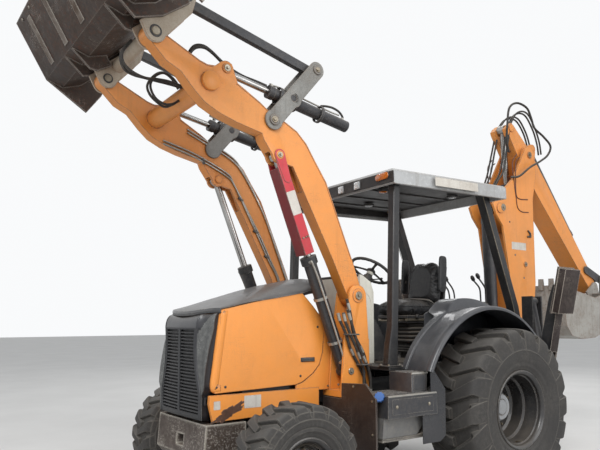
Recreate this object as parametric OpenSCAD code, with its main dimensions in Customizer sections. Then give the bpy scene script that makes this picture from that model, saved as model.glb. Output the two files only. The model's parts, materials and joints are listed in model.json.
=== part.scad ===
/* [Wheels] */
// Distance between the two axles
wheelbase = 2175; // [2000:5:2400]
// Outer diameter of a rear tyre at its lug tips
rear_tyre_d = 1380; // [1300:5:1450]
// Width of a rear tyre
rear_tyre_w = 540; // [440:5:560]
// Distance between the middles of the rear tyres
rear_track = 1780; // [1690:5:1800]
// Depth of a rear tyre's lugs
rear_lug_h = 40; // [30:1:45]
// Flange diameter of a rear rim
rear_rim_d = 667; // [620:1:700]
// Outer diameter of a front tyre at its lug tips
front_tyre_d = 900; // [860:5:940]
// Width of a front tyre
front_tyre_w = 350; // [300:5:370]
// Distance between the middles of the front tyres
front_track = 1753; // [1740:1:1800]
// Depth of a front tyre's lugs
front_lug_h = 28; // [20:1:32]
// Flange diameter of a front rim
front_rim_d = 470; // [440:1:500]
// Distance between the two kingpins
kingpin_track = 1320; // [1290:5:1340]

/* [Chassis] */
// Height of the underside of the main rails
rail_z = 800; // [795:5:810]
// Depth of a main rail
rail_h = 160; // [140:5:180]
// Distance between the outer faces of the main rails
rail_span = 680; // [660:5:700]
// Thickness of a main rail
rail_t = 50; // [30:5:60]
// Height of the platform floor's upper face
floor_z = 1080; // [1060:5:1100]
// Thickness of the platform floor
floor_t = 30; // [15:5:40]

/* [Hood] */
// Width over the hood's side panels
hood_w = 810; // [760:5:818]
// Distance from the front axle to the front of the grille
front_overhang = 457; // [430:1:480]
// Height of the hood's top at its middle, rear end
hood_z = 1816; // [1790:1:1850]

/* [Loader] */
// Distance between the middles of the two loader arms
arm_span = 982; // [975:1:990]
// Width of one loader arm
arm_w = 110; // [100:1:116]
// Radius of the cross tube between the arms
cross_tube_r = 78; // [60:1:90]
// Outer radius of a lift cylinder's barrel
lift_barrel_r = 52; // [46:1:58]
// Radius of a lift cylinder's rod
lift_rod_r = 30; // [24:1:34]
// Outer radius of a tilt cylinder's barrel
tilt_barrel_r = 47; // [42:1:52]
// Radius of a tilt cylinder's rod
tilt_rod_r = 25; // [20:1:30]
// Thickness of a bell-crank plate
crank_t = 15; // [10:1:15]

/* [Bucket] */
// Width of the loader bucket
bucket_w = 2360; // [2200:10:2420]
// Depth of the bucket's floor from its heel to its edge
bucket_floor = 512; // [460:1:560]
// Thickness of the bucket's plates
bucket_t = 20; // [14:1:26]

/* [Canopy] */
// Width of the canopy roof
roof_w = 1600; // [1500:10:1700]
// Height of the roof's top
roof_z = 2725; // [2680:5:2760]
// Depth of the roof's edge
roof_h = 125; // [90:5:140]
// Width of a canopy post
post_w = 70; // [60:5:100]

/* [Backhoe] */
// Width of the boom
boom_w = 340; // [320:5:350]
// Thickness of the boom's side plates
boom_t = 25; // [16:1:30]
// Width of the dipper
dipper_w = 230; // [200:5:240]
// Width of the dig bucket
dig_w = 610; // [460:10:640]
// Outer radius of the boom cylinder's barrel
boom_barrel_r = 68; // [58:1:76]
// Outer radius of the dipper cylinder's barrel
dipper_barrel_r = 60; // [50:1:66]
// Outer radius of the bucket cylinder's barrel
dig_barrel_r = 50; // [42:1:56]

/* [Stabilisers] */
// Length of a stabiliser leg from its pivot to its pad's middle
leg_l = 1036; // [980:2:1060]
// Length of a pad
pad_l = 450; // [400:5:480]
// Width of a pad
pad_w = 260; // [220:5:280]

/* [Fits] */
// Running clearance between a shaft and its bore
run_fit = 0.3; // [0.2:0.05:0.5]
// Clearance at the side of a moving plate
side_fit = 5; // [4:0.5:6]

/* [Hidden] */
$fn = 64;

// The drawing frame has its origin on the ground under the rear axle; the part's own origin is under the
// middle of its overall length, this far ahead of the rear axle.
mid_x = 205;

orange = "#f0912d";
black = "#1c1c1e";
dark_grey = "#3a3c3f";
mid_grey = "#6d6f70";
pale_grey = "#b9b9b3";
off_white = "#cfcbbb";
dirt = "#4b4239";
chrome = "#c8ccd0";
red = "#b3202c";
rubber = "#2b2b2b";

// Front of the grille, and the foremost edge of the hood's side panels
grille_x = wheelbase + front_overhang;
hood_front_x = grille_x - 132;

// Wheel places
rear_r = rear_tyre_d / 2;
front_r = front_tyre_d / 2;
rear_y = rear_track / 2;
front_y = front_track / 2;
king_y = kingpin_track / 2;

// Loader pins in the raised pose, as [x, z]
arm_pivot = [1350, 1650];
bucket_pin = [3100, 3385];
crank_pin = [2150, 2960];
crank_top = [1743, 3445];
trunnion = [1968, 3166];
tilt_rod_pin = [2548, 3267];
coupler_top = [2870, 3700];
lift_base = [1430, 1050];
lift_pin = [2090, 2702];
tube_at = [2682, 3141];
// Loader layers across the machine
arm_y = arm_span / 2;
arm_in = arm_y - arm_w / 2;
arm_out = arm_y + arm_w / 2;

// Bucket frame: heel at the origin, floor along x
heel = [3398, 3558];
bucket_tilt = 59.7;

// Backhoe pins in the folded pose, as [x, z]
swing_x = -1180;
boom_foot = [-1500, 1000];
boom_base = [-1130, 1350];
boom_ram_pin = [-1094, 2692];
dipper_pin = [-1680, 3385];
dipper_ram_base = [-1530, 2085];
dipper_ram_pin = [-1430, 3680];
dig_pin = [-3061, 1866];

function dist(a, b) = norm(b - a);
function heading(a, b) = atan2(b[1] - a[1], b[0] - a[0]);
function toward(a, b, l) = a + (b - a) * l / norm(b - a);
function turned(v, a) = [v[0] * cos(a) - v[1] * sin(a), v[0] * sin(a) + v[1] * cos(a)];

// Extrudes an outline drawn in x and z from y0 to y1
module slab(y0, y1) {
    translate([-mid_x, y1, 0]) rotate([90, 0, 0]) linear_extrude(height = y1 - y0) children();
}

// A round bar along Y
module shaft(at, r, y0, y1) {
    translate([at[0] - mid_x, y1, at[1]]) rotate([90, 0, 0]) cylinder(h = y1 - y0, r = r);
}

// A box given by its low and high corners in the drawing frame
module block(low, high) {
    translate([low[0] - mid_x, low[1], low[2]]) cube([high[0] - low[0], high[1] - low[1], high[2] - low[2]]);
}

// The same on both sides of the machine
module both_sides() {
    children();
    mirror([0, 1, 0]) children();
}

// A bar's outline between two points with round ends
module bar(a, b, r) {
    translate(a) circle(r);
    translate(b) circle(r);
    translate(a) rotate(heading(a, b)) translate([0, -r + 0.5]) square([dist(a, b), 2 * r - 1]);
}

// Draws its children, modelled along +X, from point a towards point b in the plane y
module along(a, b, y) {
    translate([a[0] - mid_x, y, a[1]]) rotate([0, -heading(a, b), 0]) children();
}

// Cylinder barrel along +X: eye at the origin, gland at length l, bored for its rod
module barrel(l, r, rod_r, eye_r, eye_w, pin_r) {
    difference() {
        union() {
            translate([eye_r * 0.6, 0, 0]) rotate([0, 90, 0]) cylinder(h = l - eye_r * 0.6, r = r);
            translate([l - 60, 0, 0]) rotate([0, 90, 0]) cylinder(h = 60, r = r + 6);
            translate([0, eye_w / 2, 0]) rotate([90, 0, 0]) cylinder(h = eye_w, r = eye_r);
        }
        translate([eye_r + 5, 0, 0]) rotate([0, 90, 0]) cylinder(h = l, r = rod_r + run_fit);
        translate([0, eye_w / 2 + 1, 0]) rotate([90, 0, 0]) cylinder(h = eye_w + 2, r = pin_r + run_fit);
    }
}

// Cylinder rod along -X from its eye at the origin
module rod(l, r, eye_r, eye_w, pin_r) {
    difference() {
        union() {
            translate([-l, 0, 0]) rotate([0, 90, 0]) cylinder(h = l - eye_r * 0.6, r = r);
            translate([0, eye_w / 2, 0]) rotate([90, 0, 0]) cylinder(h = eye_w, r = eye_r);
        }
        translate([0, eye_w / 2 + 1, 0]) rotate([90, 0, 0]) cylinder(h = eye_w + 2, r = pin_r + run_fit);
    }
}

// Wheels: a carcass around Y, and slanted lugs that reach the tyre's full radius
module tyre(r, w, rim_r, lug_h, lugs) {
    seat_r = rim_r - 28;
    base_r = r - lug_h;
    wall = base_r - seat_r;
    rotate([-90, 0, 0]) rotate_extrude($fn = 96) polygon([
        [seat_r, -w * 0.36],
        [seat_r + wall * 0.2, -w * 0.44],
        [seat_r + wall * 0.55, -w * 0.5],
        [base_r - wall * 0.12, -w * 0.47],
        [base_r, -w * 0.4],
        [base_r, w * 0.4],
        [base_r - wall * 0.12, w * 0.47],
        [seat_r + wall * 0.55, w * 0.5],
        [seat_r + wall * 0.2, w * 0.44],
        [seat_r, w * 0.36]]);
    intersection() {
        rotate([-90, 0, 0]) cylinder(h = w * 0.94, r = r, center = true, $fn = 96);
        for (i = [0 : lugs - 1]) for (s = [-1, 1])
            rotate([0, (i + s / 4) * 360 / lugs, 0]) translate([0, s * w * 0.22, base_r - 12])
                rotate([0, 0, s * lug_slant]) translate([-lug_t / 2, -w * 0.3, 0]) cube([lug_t, w * 0.6, lug_h + 30]);
    }
}
lug_t = 42;
lug_slant = 42;
rear_lugs = 18;
front_lugs = 19;

// Rim around Y with its disc at disc_y from the tyre's middle, outward is +Y
module rim(w, rim_r, disc_y, disc_t, hub_r, hub_out, bore_r) {
    seat_r = rim_r - 28 - run_fit;
    half = w * 0.36;
    rotate([-90, 0, 0]) rotate_extrude($fn = 96) polygon([
        [bore_r, disc_y],
        [seat_r - 25, disc_y],
        [seat_r - 25, -half],
        [seat_r, -half],
        [seat_r, half],
        [rim_r - 10, half + 12],
        [rim_r - 22, half + 22],
        [seat_r - 12, half],
        [seat_r - 25, half - 30],
        [seat_r - 25, disc_y + disc_t],
        [hub_r, disc_y + disc_t],
        [hub_r, disc_y + disc_t + hub_out],
        [bore_r, disc_y + disc_t + hub_out]]);
}

// Places a wheel's children with its outer side towards +Y or, mirrored, -Y
module wheel_at(x, y, z, side) {
    translate([x - mid_x, side * y, z]) mirror([0, side < 0 ? 1 : 0, 0]) children();
}

rear_hub_r = 130;
front_hub_r = 95;
front_disc_y = 10;
rear_disc_y = -60;
disc_t = 14;

module front_tyre(side) {
    color(rubber) wheel_at(wheelbase, front_y, front_r, side) 
        tyre(front_r, front_tyre_w, front_rim_d / 2, front_lug_h, front_lugs);
}
module rear_tyre(side) {
    color(rubber) wheel_at(0, rear_y, rear_r, side) 
        tyre(rear_r, rear_tyre_w, rear_rim_d / 2, rear_lug_h, rear_lugs);
}
module front_rim(side) {
    color(black) wheel_at(wheelbase, front_y, front_r, side)
        rim(front_tyre_w, front_rim_d / 2, front_disc_y, disc_t, front_hub_r, 45, 0);
}
module rear_rim(side) {
    color(black) wheel_at(0, rear_y, rear_r, side)
        rim(rear_tyre_w, rear_rim_d / 2, rear_disc_y, disc_t, rear_hub_r, 60, 0);
}

// Axle ends: the front hub flange meets the rim's disc
front_flange_y = front_y + front_disc_y - run_fit;
rear_flange_y = rear_y + rear_disc_y - run_fit;
yoke_gap = 100;
yoke_t = 22;

module knuckle(side) {
    color(black) mirror([0, side < 0 ? 1 : 0, 0]) {
        translate([wheelbase - mid_x, king_y, front_r - yoke_gap]) difference() {
            cylinder(h = 2 * yoke_gap, r = 58);
            translate([0, 0, -1]) cylinder(h = 2 * yoke_gap + 2, r = 22 + run_fit);
        }
        difference() {
            union() {
                shaft([wheelbase, front_r], 50, king_y + 45, front_flange_y - 20);
                shaft([wheelbase, front_r], front_hub_r, front_flange_y - 30, front_flange_y);
            }
            translate([wheelbase - mid_x, king_y, 0]) cylinder(h = 2 * front_r, r = 30);
        }
    }
}

module front_axle() color(black) {
    block([wheelbase - 90, -150, front_r - 105], [wheelbase + 90, 150, front_r + 95]);
    both_sides() shaft([wheelbase, front_r], 70, 140, king_y - 75);
    both_sides() block([wheelbase - 60, king_y - 110, front_r - yoke_gap - side_fit - yoke_t],
        [wheelbase + 60, king_y - 70, front_r + yoke_gap + side_fit + yoke_t]);
    both_sides() for (s = [-1, 1])
        translate([wheelbase - mid_x, king_y, front_r + s * (yoke_gap + side_fit + yoke_t / 2)]) {
            cylinder(h = yoke_t, r = 55, center = true);
            translate([-55, -80, -yoke_t / 2]) cube([110, 80, yoke_t]);
        }
    // The axle's pivot, and the kingpins
    translate([wheelbase - 122 - mid_x, 0, front_r + 60]) rotate([0, 90, 0]) cylinder(h = 236, r = 32);
    both_sides() translate([wheelbase - mid_x, king_y, front_r - yoke_gap - side_fit - yoke_t])
        cylinder(h = 2 * (yoke_gap + side_fit + yoke_t), r = 22);
}

module rear_axle() color(black) {
    both_sides() {
        shaft([0, rear_r], 92, 0, rear_flange_y - 30);
        shaft([0, rear_r], rear_hub_r + 20, rear_flange_y - 150, rear_flange_y);
        block([-110, rail_span / 2 - rail_t - 10, rear_r], [110, rail_span / 2 + 10, rail_z]);
    }
    translate([-mid_x, 0, rear_r]) rotate([0, 90, 0]) translate([0, 0, -150]) cylinder(h = 340, r = 185);
}

// Chassis
frame_front_x = wheelbase + 115;
frame_rear_x = -840;
module main_frame() color(black) {
    out = rail_span / 2;
    difference() {
        union() {
            both_sides() block([frame_rear_x, out - rail_t, rail_z], [frame_front_x, out, rail_z + rail_h]);
            // Cross members
            for (x = [[-830, -780], [330, 390], [1180, 1240], [2120, 2180]])
                block([x[0], -out + rail_t - 1, rail_z + 40], [x[1], out - rail_t + 1, rail_z + rail_h - 20]);
            // Front plate that carries the counterweight
            block([frame_front_x - 25, -out, 560], [frame_front_x, out, rail_z + rail_h]);
            // Lugs that carry the front axle's pivot
            for (x = [[wheelbase - 125, wheelbase - 95], [wheelbase + 90.5, frame_front_x]])
                block([x[0], -120, front_r - 10], [x[1], 120, rail_z + 40]);
            for (x = [wheelbase - 125, wheelbase + 95])
                block([x, -out, rail_z - 40], [x + 20, out, rail_z + 40]);
        }
        translate([wheelbase - 140 - mid_x, 0, front_r + 60]) rotate([0, 90, 0]) cylinder(h = 300, r = 32 + run_fit);
    }
    // Brackets that carry the side rails
    both_sides() for (x = [1660, wheelbase - 155])
        block([x, out, rail_z + 10], [x + 60, hood_w / 2 - 25, rail_z + 90]);
}

rail_low = 735;
rail_high = 922;
module side_rails() color(orange) both_sides() {
    slab(hood_w / 2 - 25, hood_w / 2) polygon([[1620, rail_high], [grille_x - 44, rail_high],
        [grille_x - 40, rail_high - 60], [grille_x - 72, rail_low], [1620, rail_low + 25]]);
    shaft(hood_hinge, 12, hood_w / 2 - 55, hood_w / 2 - 24);
    // Fixed cowl behind the hood's panel
    slab(hood_w / 2 - 20, hood_w / 2 - 5) polygon(concat([[1840, rail_high - 20], [1621, rail_high - 20],
        [1540, rail_high - 22], [1480, rail_high - 22], [1480, 1410]],
        [for (i = [0 : 5]) seam[i] - seam_gap * [1, 0.6]]));
}
// Seam between the hood's side panel and the fixed cowl, from its top to its front
seam = [[1563, 1404], [1583, 1201], [1616, 1102], [1680, 1036], [1780, 974], [1846, 955]];
seam_gap = 7;

hood_hinge = [grille_x - 62, 880];
cw_front = grille_x;
cw_top = 720;
cw_low = 400;
module counterweight() color(mid_grey) difference() {
    slab(-410, 410) polygon([[frame_front_x, cw_low + 60], [frame_front_x + 60, cw_low], [cw_front - 60, cw_low],
        [cw_front, cw_low + 70], [cw_front - 20, cw_top], [frame_front_x, cw_top]]);
    // Tow pin slot and bore
    block([cw_front - 130, -60, cw_low + 130], [cw_front + 10, 60, cw_low + 210]);
    translate([cw_front - 70 - mid_x, 0, cw_low - 1]) cylinder(h = cw_top - cw_low + 2, r = 20);
}

module powertrain() color(dark_grey) {
    in = rail_span / 2 - rail_t;
    block([1480, -270, 640], [wheelbase - 135, 270, 1330]);
    block([780, -200, 560], [1480, 200, 780]);
    block([1250, -200, 780], [1480, 200, 1020]);
    // Mounting feet between the rails
    both_sides() for (x = [1520, wheelbase - 255]) block([x, 269, rail_z + 40], [x + 80, in, rail_z + 100]);
    // Shafts to the two axles
    translate([190 - mid_x, 0, rear_r]) rotate([0, 90, 0]) cylinder(h = 590, r = 38);
    translate([1480 - mid_x, 0, 585]) rotate([0, 90, 0]) cylinder(h = wheelbase - 125 - 1480, r = 32);
}

tower_in = arm_in - 11 - 20;
tower_out = arm_out + 11 + 20;
module tower_outline() {
    translate(arm_pivot) circle(88);
    polygon([[arm_pivot[0] - 88, arm_pivot[1]], [arm_pivot[0] + 88, arm_pivot[1]], [1500, 1240], [1530, 850],
        [1235, 850], [1240, 1300]]);
}
module loader_towers() color(orange) both_sides() {
    for (y = [tower_in, tower_out - 20]) slab(y, y + 20) tower_outline();
    // Rear web, and the foot that meets the main rail
    block([1235, tower_in, 850], [1255, tower_out, 1300]);
    block([1235, rail_span / 2, 850], [1530, tower_out, 900]);
    shaft(arm_pivot, 35, tower_in - 12, tower_out + 12);
    shaft(lift_base, 30, tower_in, tower_out);
}

module platform() color(black) {
    floor_low = floor_z - floor_t;
    block([-825, -555, floor_low], [1190, 555, floor_z]);
    both_sides() block([740, 554, floor_low], [1190, 760, floor_z]);
    // Feet of the rear posts
    both_sides() block([-825, 554, floor_low], [-730, 650, floor_z]);
    // Supports down to the rails
    both_sides() for (x = [-760, 430, 1060])
        block([x, rail_span / 2 - rail_t, rail_z + rail_h], [x + 80, rail_span / 2, floor_low]);
}

step_out = 1050;
module side_boxes() color(dark_grey) both_sides() {
    // Tank against the rail, and the step box outside it
    block([960, rail_span / 2, 520], [1500, 720, 845]);
    block([967, 719, 735], [1484, step_out, 900]);
    slab(760, 1000) polygon([[1142, 590], [1500, 590], [1484, 736], [1010, 736]]);
    block([1025, 761, 899], [1190, 1000, floor_z - 30]);
    // Guard plate behind the front wheel
    block([1483, 360, 640], [1531, 719, 800]);
    translate([1530 - mid_x, 360, 420]) rotate([90, 0, 90]) linear_extrude(height = 15)
        polygon([[0, 0], [625, 0], [625, 456], [515, 560], [235, 545], [235, 425], [0, 425]]);
}

// Fender: an arch over the rear wheel and an inner wall
fender_at = [250, 700];
fender_r = 872;
fender_t = 14;
fender_in = 560;
fender_out = 1060;
module fender_sector(r, a0, a1) polygon(concat([[0, 0]], [for (i = [0:12]) (r + 40) * [cos(a0 + (a1 - a0) * i / 12),
    sin(a0 + (a1 - a0) * i / 12)]]));
module rear_fenders() color(black) both_sides() {
    // The outer part reaches lower, past the platform's side
    for (part = [[fender_in, 771, 27.5], [770, fender_out, 24.5]])
        slab(part[0], part[1]) translate(fender_at) intersection() {
            difference() {
                circle(fender_r, $fn = 128);
                circle(fender_r - fender_t, $fn = 128);
            }
            fender_sector(fender_r, part[2], 137);
        }
    slab(fender_in, fender_in + 12) difference() {
        translate(fender_at) intersection() {
            circle(fender_r - 5, $fn = 128);
            fender_sector(fender_r, 27.5, 137);
        }
        translate([-1200, 0]) square([2600, floor_z]);
    }
}

// Canopy
roof_front = 1160;
roof_rear = -335;
roof_edge = 18;
roof_sheet = 25;
// The roof leans forward by this many degrees
roof_tilt = 1.4;
roof_l = roof_front - roof_rear;
// Height of the sheet's underside at a place along the machine
function roof_under(x) = roof_z - roof_sheet / cos(roof_tilt) - (x - roof_rear) * tan(roof_tilt) - 0.2;
// Drawn from the roof's upper rear edge
module canopy_roof() color(pale_grey) translate([roof_rear - mid_x, 0, roof_z]) rotate([0, roof_tilt, 0]) {
    difference() {
        // Sheet with chamfered upper edges
        intersection() {
            rotate([90, 0, 0]) linear_extrude(height = roof_w, center = true) polygon([[0, -roof_h],
                [roof_l - 20, -roof_h], [roof_l, -roof_h + 30], [roof_l, -roof_edge], [roof_l - roof_edge, 0],
                [roof_edge, 0], [0, -roof_edge]]);
            translate([-1, 0, 0]) rotate([90, 0, 90]) linear_extrude(height = roof_l + 2) polygon([
                [-roof_w / 2, -roof_h - 1], [roof_w / 2, -roof_h - 1], [roof_w / 2, -roof_edge],
                [roof_w / 2 - roof_edge, 0], [-roof_w / 2 + roof_edge, 0], [-roof_w / 2, -roof_edge]]);
        }
        translate([40, -roof_w / 2 + 30, -roof_h - 1]) cube([roof_l - 80, roof_w - 60, roof_h + 1 - roof_sheet]);
    }
    // Front lamps on each side: an amber one, and two square work lamps
    both_sides() translate([roof_l - 1, 0, 0]) rotate([90, 0, 90]) linear_extrude(height = 9) {
        bar([635, -58], [735, -53], 28);
        for (y = [107, 326]) translate([y, -108]) square([88, 74]);
    }
}
front_post = [[1112, floor_z], [1050, roof_z - 60]];
rear_post = [[-777, floor_z], [-650, 1590], [-210, roof_z - 25]];
post_y = 710;
rear_post_y = 600;
rear_post_half = 45;
module canopy_posts() color(black) both_sides() {
    slab(post_y - post_w / 2, post_y + post_w / 2) {
        polygon([front_post[0] - [post_w / 2, 0], [front_post[1][0] - post_w / 2, roof_under(front_post[1][0] - post_w / 2)],
            [front_post[1][0] + post_w / 2, roof_under(front_post[1][0] + post_w / 2)], front_post[0] + [post_w / 2, 0]]);
        // Flare at the foot
        polygon([front_post[0] - [post_w / 2 - 1, 0], front_post[0] + [post_w / 2 + 38, 0],
            front_post[0] + [post_w / 2 + 20, 160], front_post[0] + [0, 420]]);
    }
    slab(rear_post_y - rear_post_half, rear_post_y + rear_post_half) polygon(concat(
        [for (i = [0, 1]) rear_post[i] - [rear_post_half, 0]],
        [for (s = [-1, 1]) [rear_post[2][0] + s * rear_post_half, roof_under(rear_post[2][0] + s * rear_post_half)]],
        [for (i = [1, 0]) rear_post[i] + [rear_post_half, 0]]));
}

// Operator's place
wheel_hub = [690, 1905];
wheel_lean = 33.5;
module front_console() color(off_white) {
    slab(-300, 300) polygon([[1085, floor_z], [930, floor_z], [925, 1700], [960, 1790], [1060, 1850], [1085, 1850]]);
    translate([wheel_hub[0] - mid_x, 0, wheel_hub[1]]) rotate([0, -wheel_lean, 0]) rotate([0, 180, 0])
        translate([0, 0, run_fit]) cylinder(h = 380, r = 32);
    block([830, -60, 1480], [930, 60, 1640]);
}
module steering_wheel() color(black)
    translate([wheel_hub[0] - mid_x, 0, wheel_hub[1]]) rotate([0, -wheel_lean, 0]) {
        rotate_extrude($fn = 72) translate([200, 20]) circle(15, $fn = 24);
        cylinder(h = 30, r = 34);
        for (a = [0, 120, 240]) rotate([0, 0, a + 60]) translate([25, -9, 8]) cube([170, 18, 14]);
    }
seat_x = 190;
// The seat turns about an axis under the rear of its cushion
seat_pivot_x = 100;
seat_z = 1500;
cushion_t = 125;
module seat_base() color(black) {
    translate([seat_pivot_x - mid_x, 0, floor_z + run_fit]) cylinder(h = 60, r = 150);
    block([seat_x - 170, -150, floor_z + 55], [seat_x + 170, 150, seat_z - 70]);
    block([seat_x - 210, -210, seat_z - 70], [seat_x + 230, 210, seat_z]);
}
module seat() color(black) {
    block([seat_x - 230, -230, seat_z], [seat_x + 270, 230, seat_z + cushion_t]);
    slab(-225, 225) translate([seat_x, seat_z + cushion_t]) polygon([[-228, -1], [-150, -1], [-222, 385],
        [-270, 415], [-325, 385], [-258, 30]]);
    // Armrests, folded up beside the back
    both_sides() {
        slab(235, 275) bar([seat_x - 205, seat_z + 340], [seat_x - 215, seat_z + 525], 58);
        shaft([seat_x - 210, seat_z + 345], 16, 224, 236);
    }
}
module control_stand() color(black) {
    block([-800, -300, floor_z], [-640, 300, 1420]);
    both_sides() block([-760, 160, 1419], [-660, 260, 1600]);
    both_sides() translate([-710 - mid_x, 210, 1599]) rotate([0, 8, 0]) cylinder(h = 260, r = 11);
}

// Hood, which tips forward about its lower front edge
hood_side_t = 15;
// Upper edge of a side panel, from its front to its rear
side_top = [[hood_front_x, 1530], [wheelbase - 45, 1609], [1785, 1675], [1672, 1566], [1572, 1454]];
module hood_sides() color(orange) both_sides() {
    slab(hood_w / 2 - hood_side_t, hood_w / 2) polygon(concat(side_top, seam,
        [[hood_front_x + 48, rail_high + 12]]));
    // Latch
    block([1665, hood_w / 2 - 1, 1128], [1797, hood_w / 2 + 8, 1160]);
}
// Sections of the hood's top along the machine: place, edge height, crown height
top_sections = [[1600, 1680, hood_z], [1785, 1690, hood_z - 46], [wheelbase - 45, 1626, 1674],
    [hood_front_x, 1543, 1562], [hood_front_x + 100, 1452, 1515]];
module top_solid(inset, rear, front, drop) for (i = [0 : len(top_sections) - 2]) hull() for (j = [i, i + 1]) {
    s = top_sections[j];
    half = (j == 4 ? 250 : hood_w / 2) - inset;
    x = s[0] + (j == 0 ? -rear : 0) + (j == 4 ? front : 0);
    translate([x - mid_x, 0, 0]) rotate([90, 0, 90]) linear_extrude(height = 1) polygon([
        [-half, s[1] - 60 - drop], [-half, s[1] - inset], [-half * 0.8, s[1] + (s[2] - s[1]) * 0.75 - inset],
        [-half * 0.45, s[2] - inset], [half * 0.45, s[2] - inset],
        [half * 0.8, s[1] + (s[2] - s[1]) * 0.75 - inset], [half, s[1] - inset], [half, s[1] - 60 - drop]]);
}
module hood_top() color(dark_grey) difference() {
    top_solid(0, 0, 0, 0);
    top_solid(hood_side_t, 5, -15, 10);
    both_sides() slab(hood_w / 2 - hood_side_t - run_fit, hood_w / 2 + 5) polygon(concat(
        [[1568, 1300], [hood_front_x + 7, 1300], [hood_front_x + 7, 1452]],
        [for (p = side_top) p + [0, run_fit]]));
    slab(-hood_w, hood_w) polygon([[hood_front_x - 1, 1300], [hood_front_x - 1, 1492], [grille_x + 18, 1478],
        [grille_x + 18, 1300]]);
}
grille_low = 745;
grille_top = 1450;
grille_deep = 8;
ribs = 15;
rib_step = 34;
module grille() color(black) {
    translate([grille_x - 30 - mid_x, 0, 0]) rotate([90, 0, 90]) linear_extrude(height = 30 - grille_deep)
        polygon([[-300, grille_low], [300, grille_low], [222, grille_top], [-222, grille_top]]);
    // Ribs in two columns
    both_sides() for (i = [0 : ribs - 1])
        block([grille_x - grille_deep - 1, 14, rail_high - 20 + i * rib_step],
            [grille_x, 205, rail_high - 4 + i * rib_step]);
    both_sides() hull() {
        block([grille_x - 32, 276, rail_high + 15], [grille_x - 2, 279, rail_high + 20]);
        block([grille_x - 32, 210, grille_top - 30], [grille_x - 2, 213, grille_top + 20]);
        block([hood_front_x + 48.3, hood_w / 2 - hood_side_t, rail_high + 15],
            [hood_front_x + 60, hood_w / 2 - 2, rail_high + 20]);
        block([hood_front_x + 7.8, hood_w / 2 - hood_side_t, 1440], [hood_front_x + 16, hood_w / 2 - 2, 1473]);
    }
    // Lower corners and hinge ears, inside the rails
    both_sides() block([grille_x - 28, 270, grille_low + 5], [grille_x - 2, 370, rail_high + 16]);
    both_sides() difference() {
        slab(352, 370) {
            translate(hood_hinge) circle(28);
            translate(hood_hinge - [0, 28]) square([40, 56]);
        }
        shaft(hood_hinge, 12 + run_fit, 350, 372);
    }
}

// Loader
module arm_outline() {
    polygon([[3135, 3447], [2759, 3277], [2700, 3262], [2640, 3268], [2590, 3312], [2505, 3312], [2455, 3180],
        [2264, 3078], [2193, 3031], [2047, 2974], [1926, 2914], [1835, 2830], [1742, 2692], [1643, 2552],
        [1380, 1941], [1272, 1665], [1425, 1625], [1578, 1929], [1965, 2630], [2030, 2640], [2140, 2680],
        [2228, 2800], [2245, 2844], [2459, 2887], [2598, 2927], [2717, 2982], [2802, 3057], [2902, 3163],
        [3012, 3213], [3120, 3318]]);
    translate(bucket_pin) circle(70);
    translate(arm_pivot) circle(78);
    translate(tilt_rod_pin) circle(58);
    translate(lift_pin) circle(62);
}
eye_w = 50;
module loader_arms() color(orange) {
    both_sides() difference() {
        slab(arm_in, arm_out) arm_outline();
        shaft(arm_pivot, 35 + run_fit, arm_in - 1, arm_out + 1);
        shaft(bucket_pin, 30 + run_fit, arm_in - 1, arm_out + 1);
        shaft(crank_pin, 30 + run_fit, arm_in - 1, arm_out + 1);
        // Slots for the eyes of the tilt rod and the lift rod, which drift a little from their pins
        slab(arm_y - eye_w / 2 - side_fit, arm_y + eye_w / 2 + side_fit) {
            translate(tilt_rod_pin) circle(81);
            polygon([[2400, 3182], [2548, 3184], [2560, 3400], [2400, 3400]]);
            translate(lift_pin) circle(66);
            translate(lift_pin + [40, -60]) circle(66);
            translate(lift_pin + [-66, 52]) circle(62);
            polygon([lift_pin + [-120, 40], [1850, 2450], [2420, 2450], lift_pin + [110, 0], lift_pin + [0, 60]]);
        }
    }
    // Pin heads
    both_sides() for (at = [lift_pin, tilt_rod_pin]) {
        shaft(at, 34, arm_in - 12, arm_in + 1);
        shaft(at, 34, arm_out - 1, arm_out + 12);
    }
    shaft(tube_at, cross_tube_r, -arm_in - 1, arm_in + 1);
    both_sides() shaft(tube_at, cross_tube_r - 8, arm_out - 1, arm_out + 14);
}

lift_l = 960;
module lift_barrels() color(dark_grey) both_sides()
    along(lift_base, lift_pin, arm_y) barrel(lift_l, lift_barrel_r, lift_rod_r, 50, 80, 30);
module lift_rods() color(chrome) both_sides()
    along(lift_pin, 2 * lift_pin - lift_base, arm_y) rod(995, lift_rod_r, 50, eye_w, 24);
// Bell-cranks: two plates that straddle the arm, with the tilt cylinder's trunnion between them
crank_gap = arm_w + 10;
module crank_outline() difference() {
    union() {
        bar(crank_pin, crank_top, 68);
        translate(crank_pin) circle(76);
        translate(trunnion) circle(74);
    }
    translate(trunnion) circle(26 + run_fit);
}
module bell_cranks() color(mid_grey) both_sides() {
    for (y = [arm_y - crank_gap / 2 - crank_t, arm_y + crank_gap / 2]) slab(y, y + crank_t) crank_outline();
    shaft(crank_pin, 30, arm_y - crank_gap / 2 - 1, arm_y + crank_gap / 2 + 1);
    for (s = [-1, 1]) shaft(crank_top, 28, arm_y + s * (crank_gap / 2 - 13) - 13, arm_y + s * (crank_gap / 2 - 13) + 13);
}
module tilt_links() color(mid_grey) both_sides() difference() {
    slab(arm_y - 25, arm_y + 25) {
        translate(crank_top) circle(52);
        translate(coupler_top) circle(55);
        bar(crank_top, coupler_top, 36);
    }
    shaft(coupler_top, 25 + run_fit, arm_y - 30, arm_y + 30);
}
barrel_ahead = 200;
barrel_behind = 590;
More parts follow.
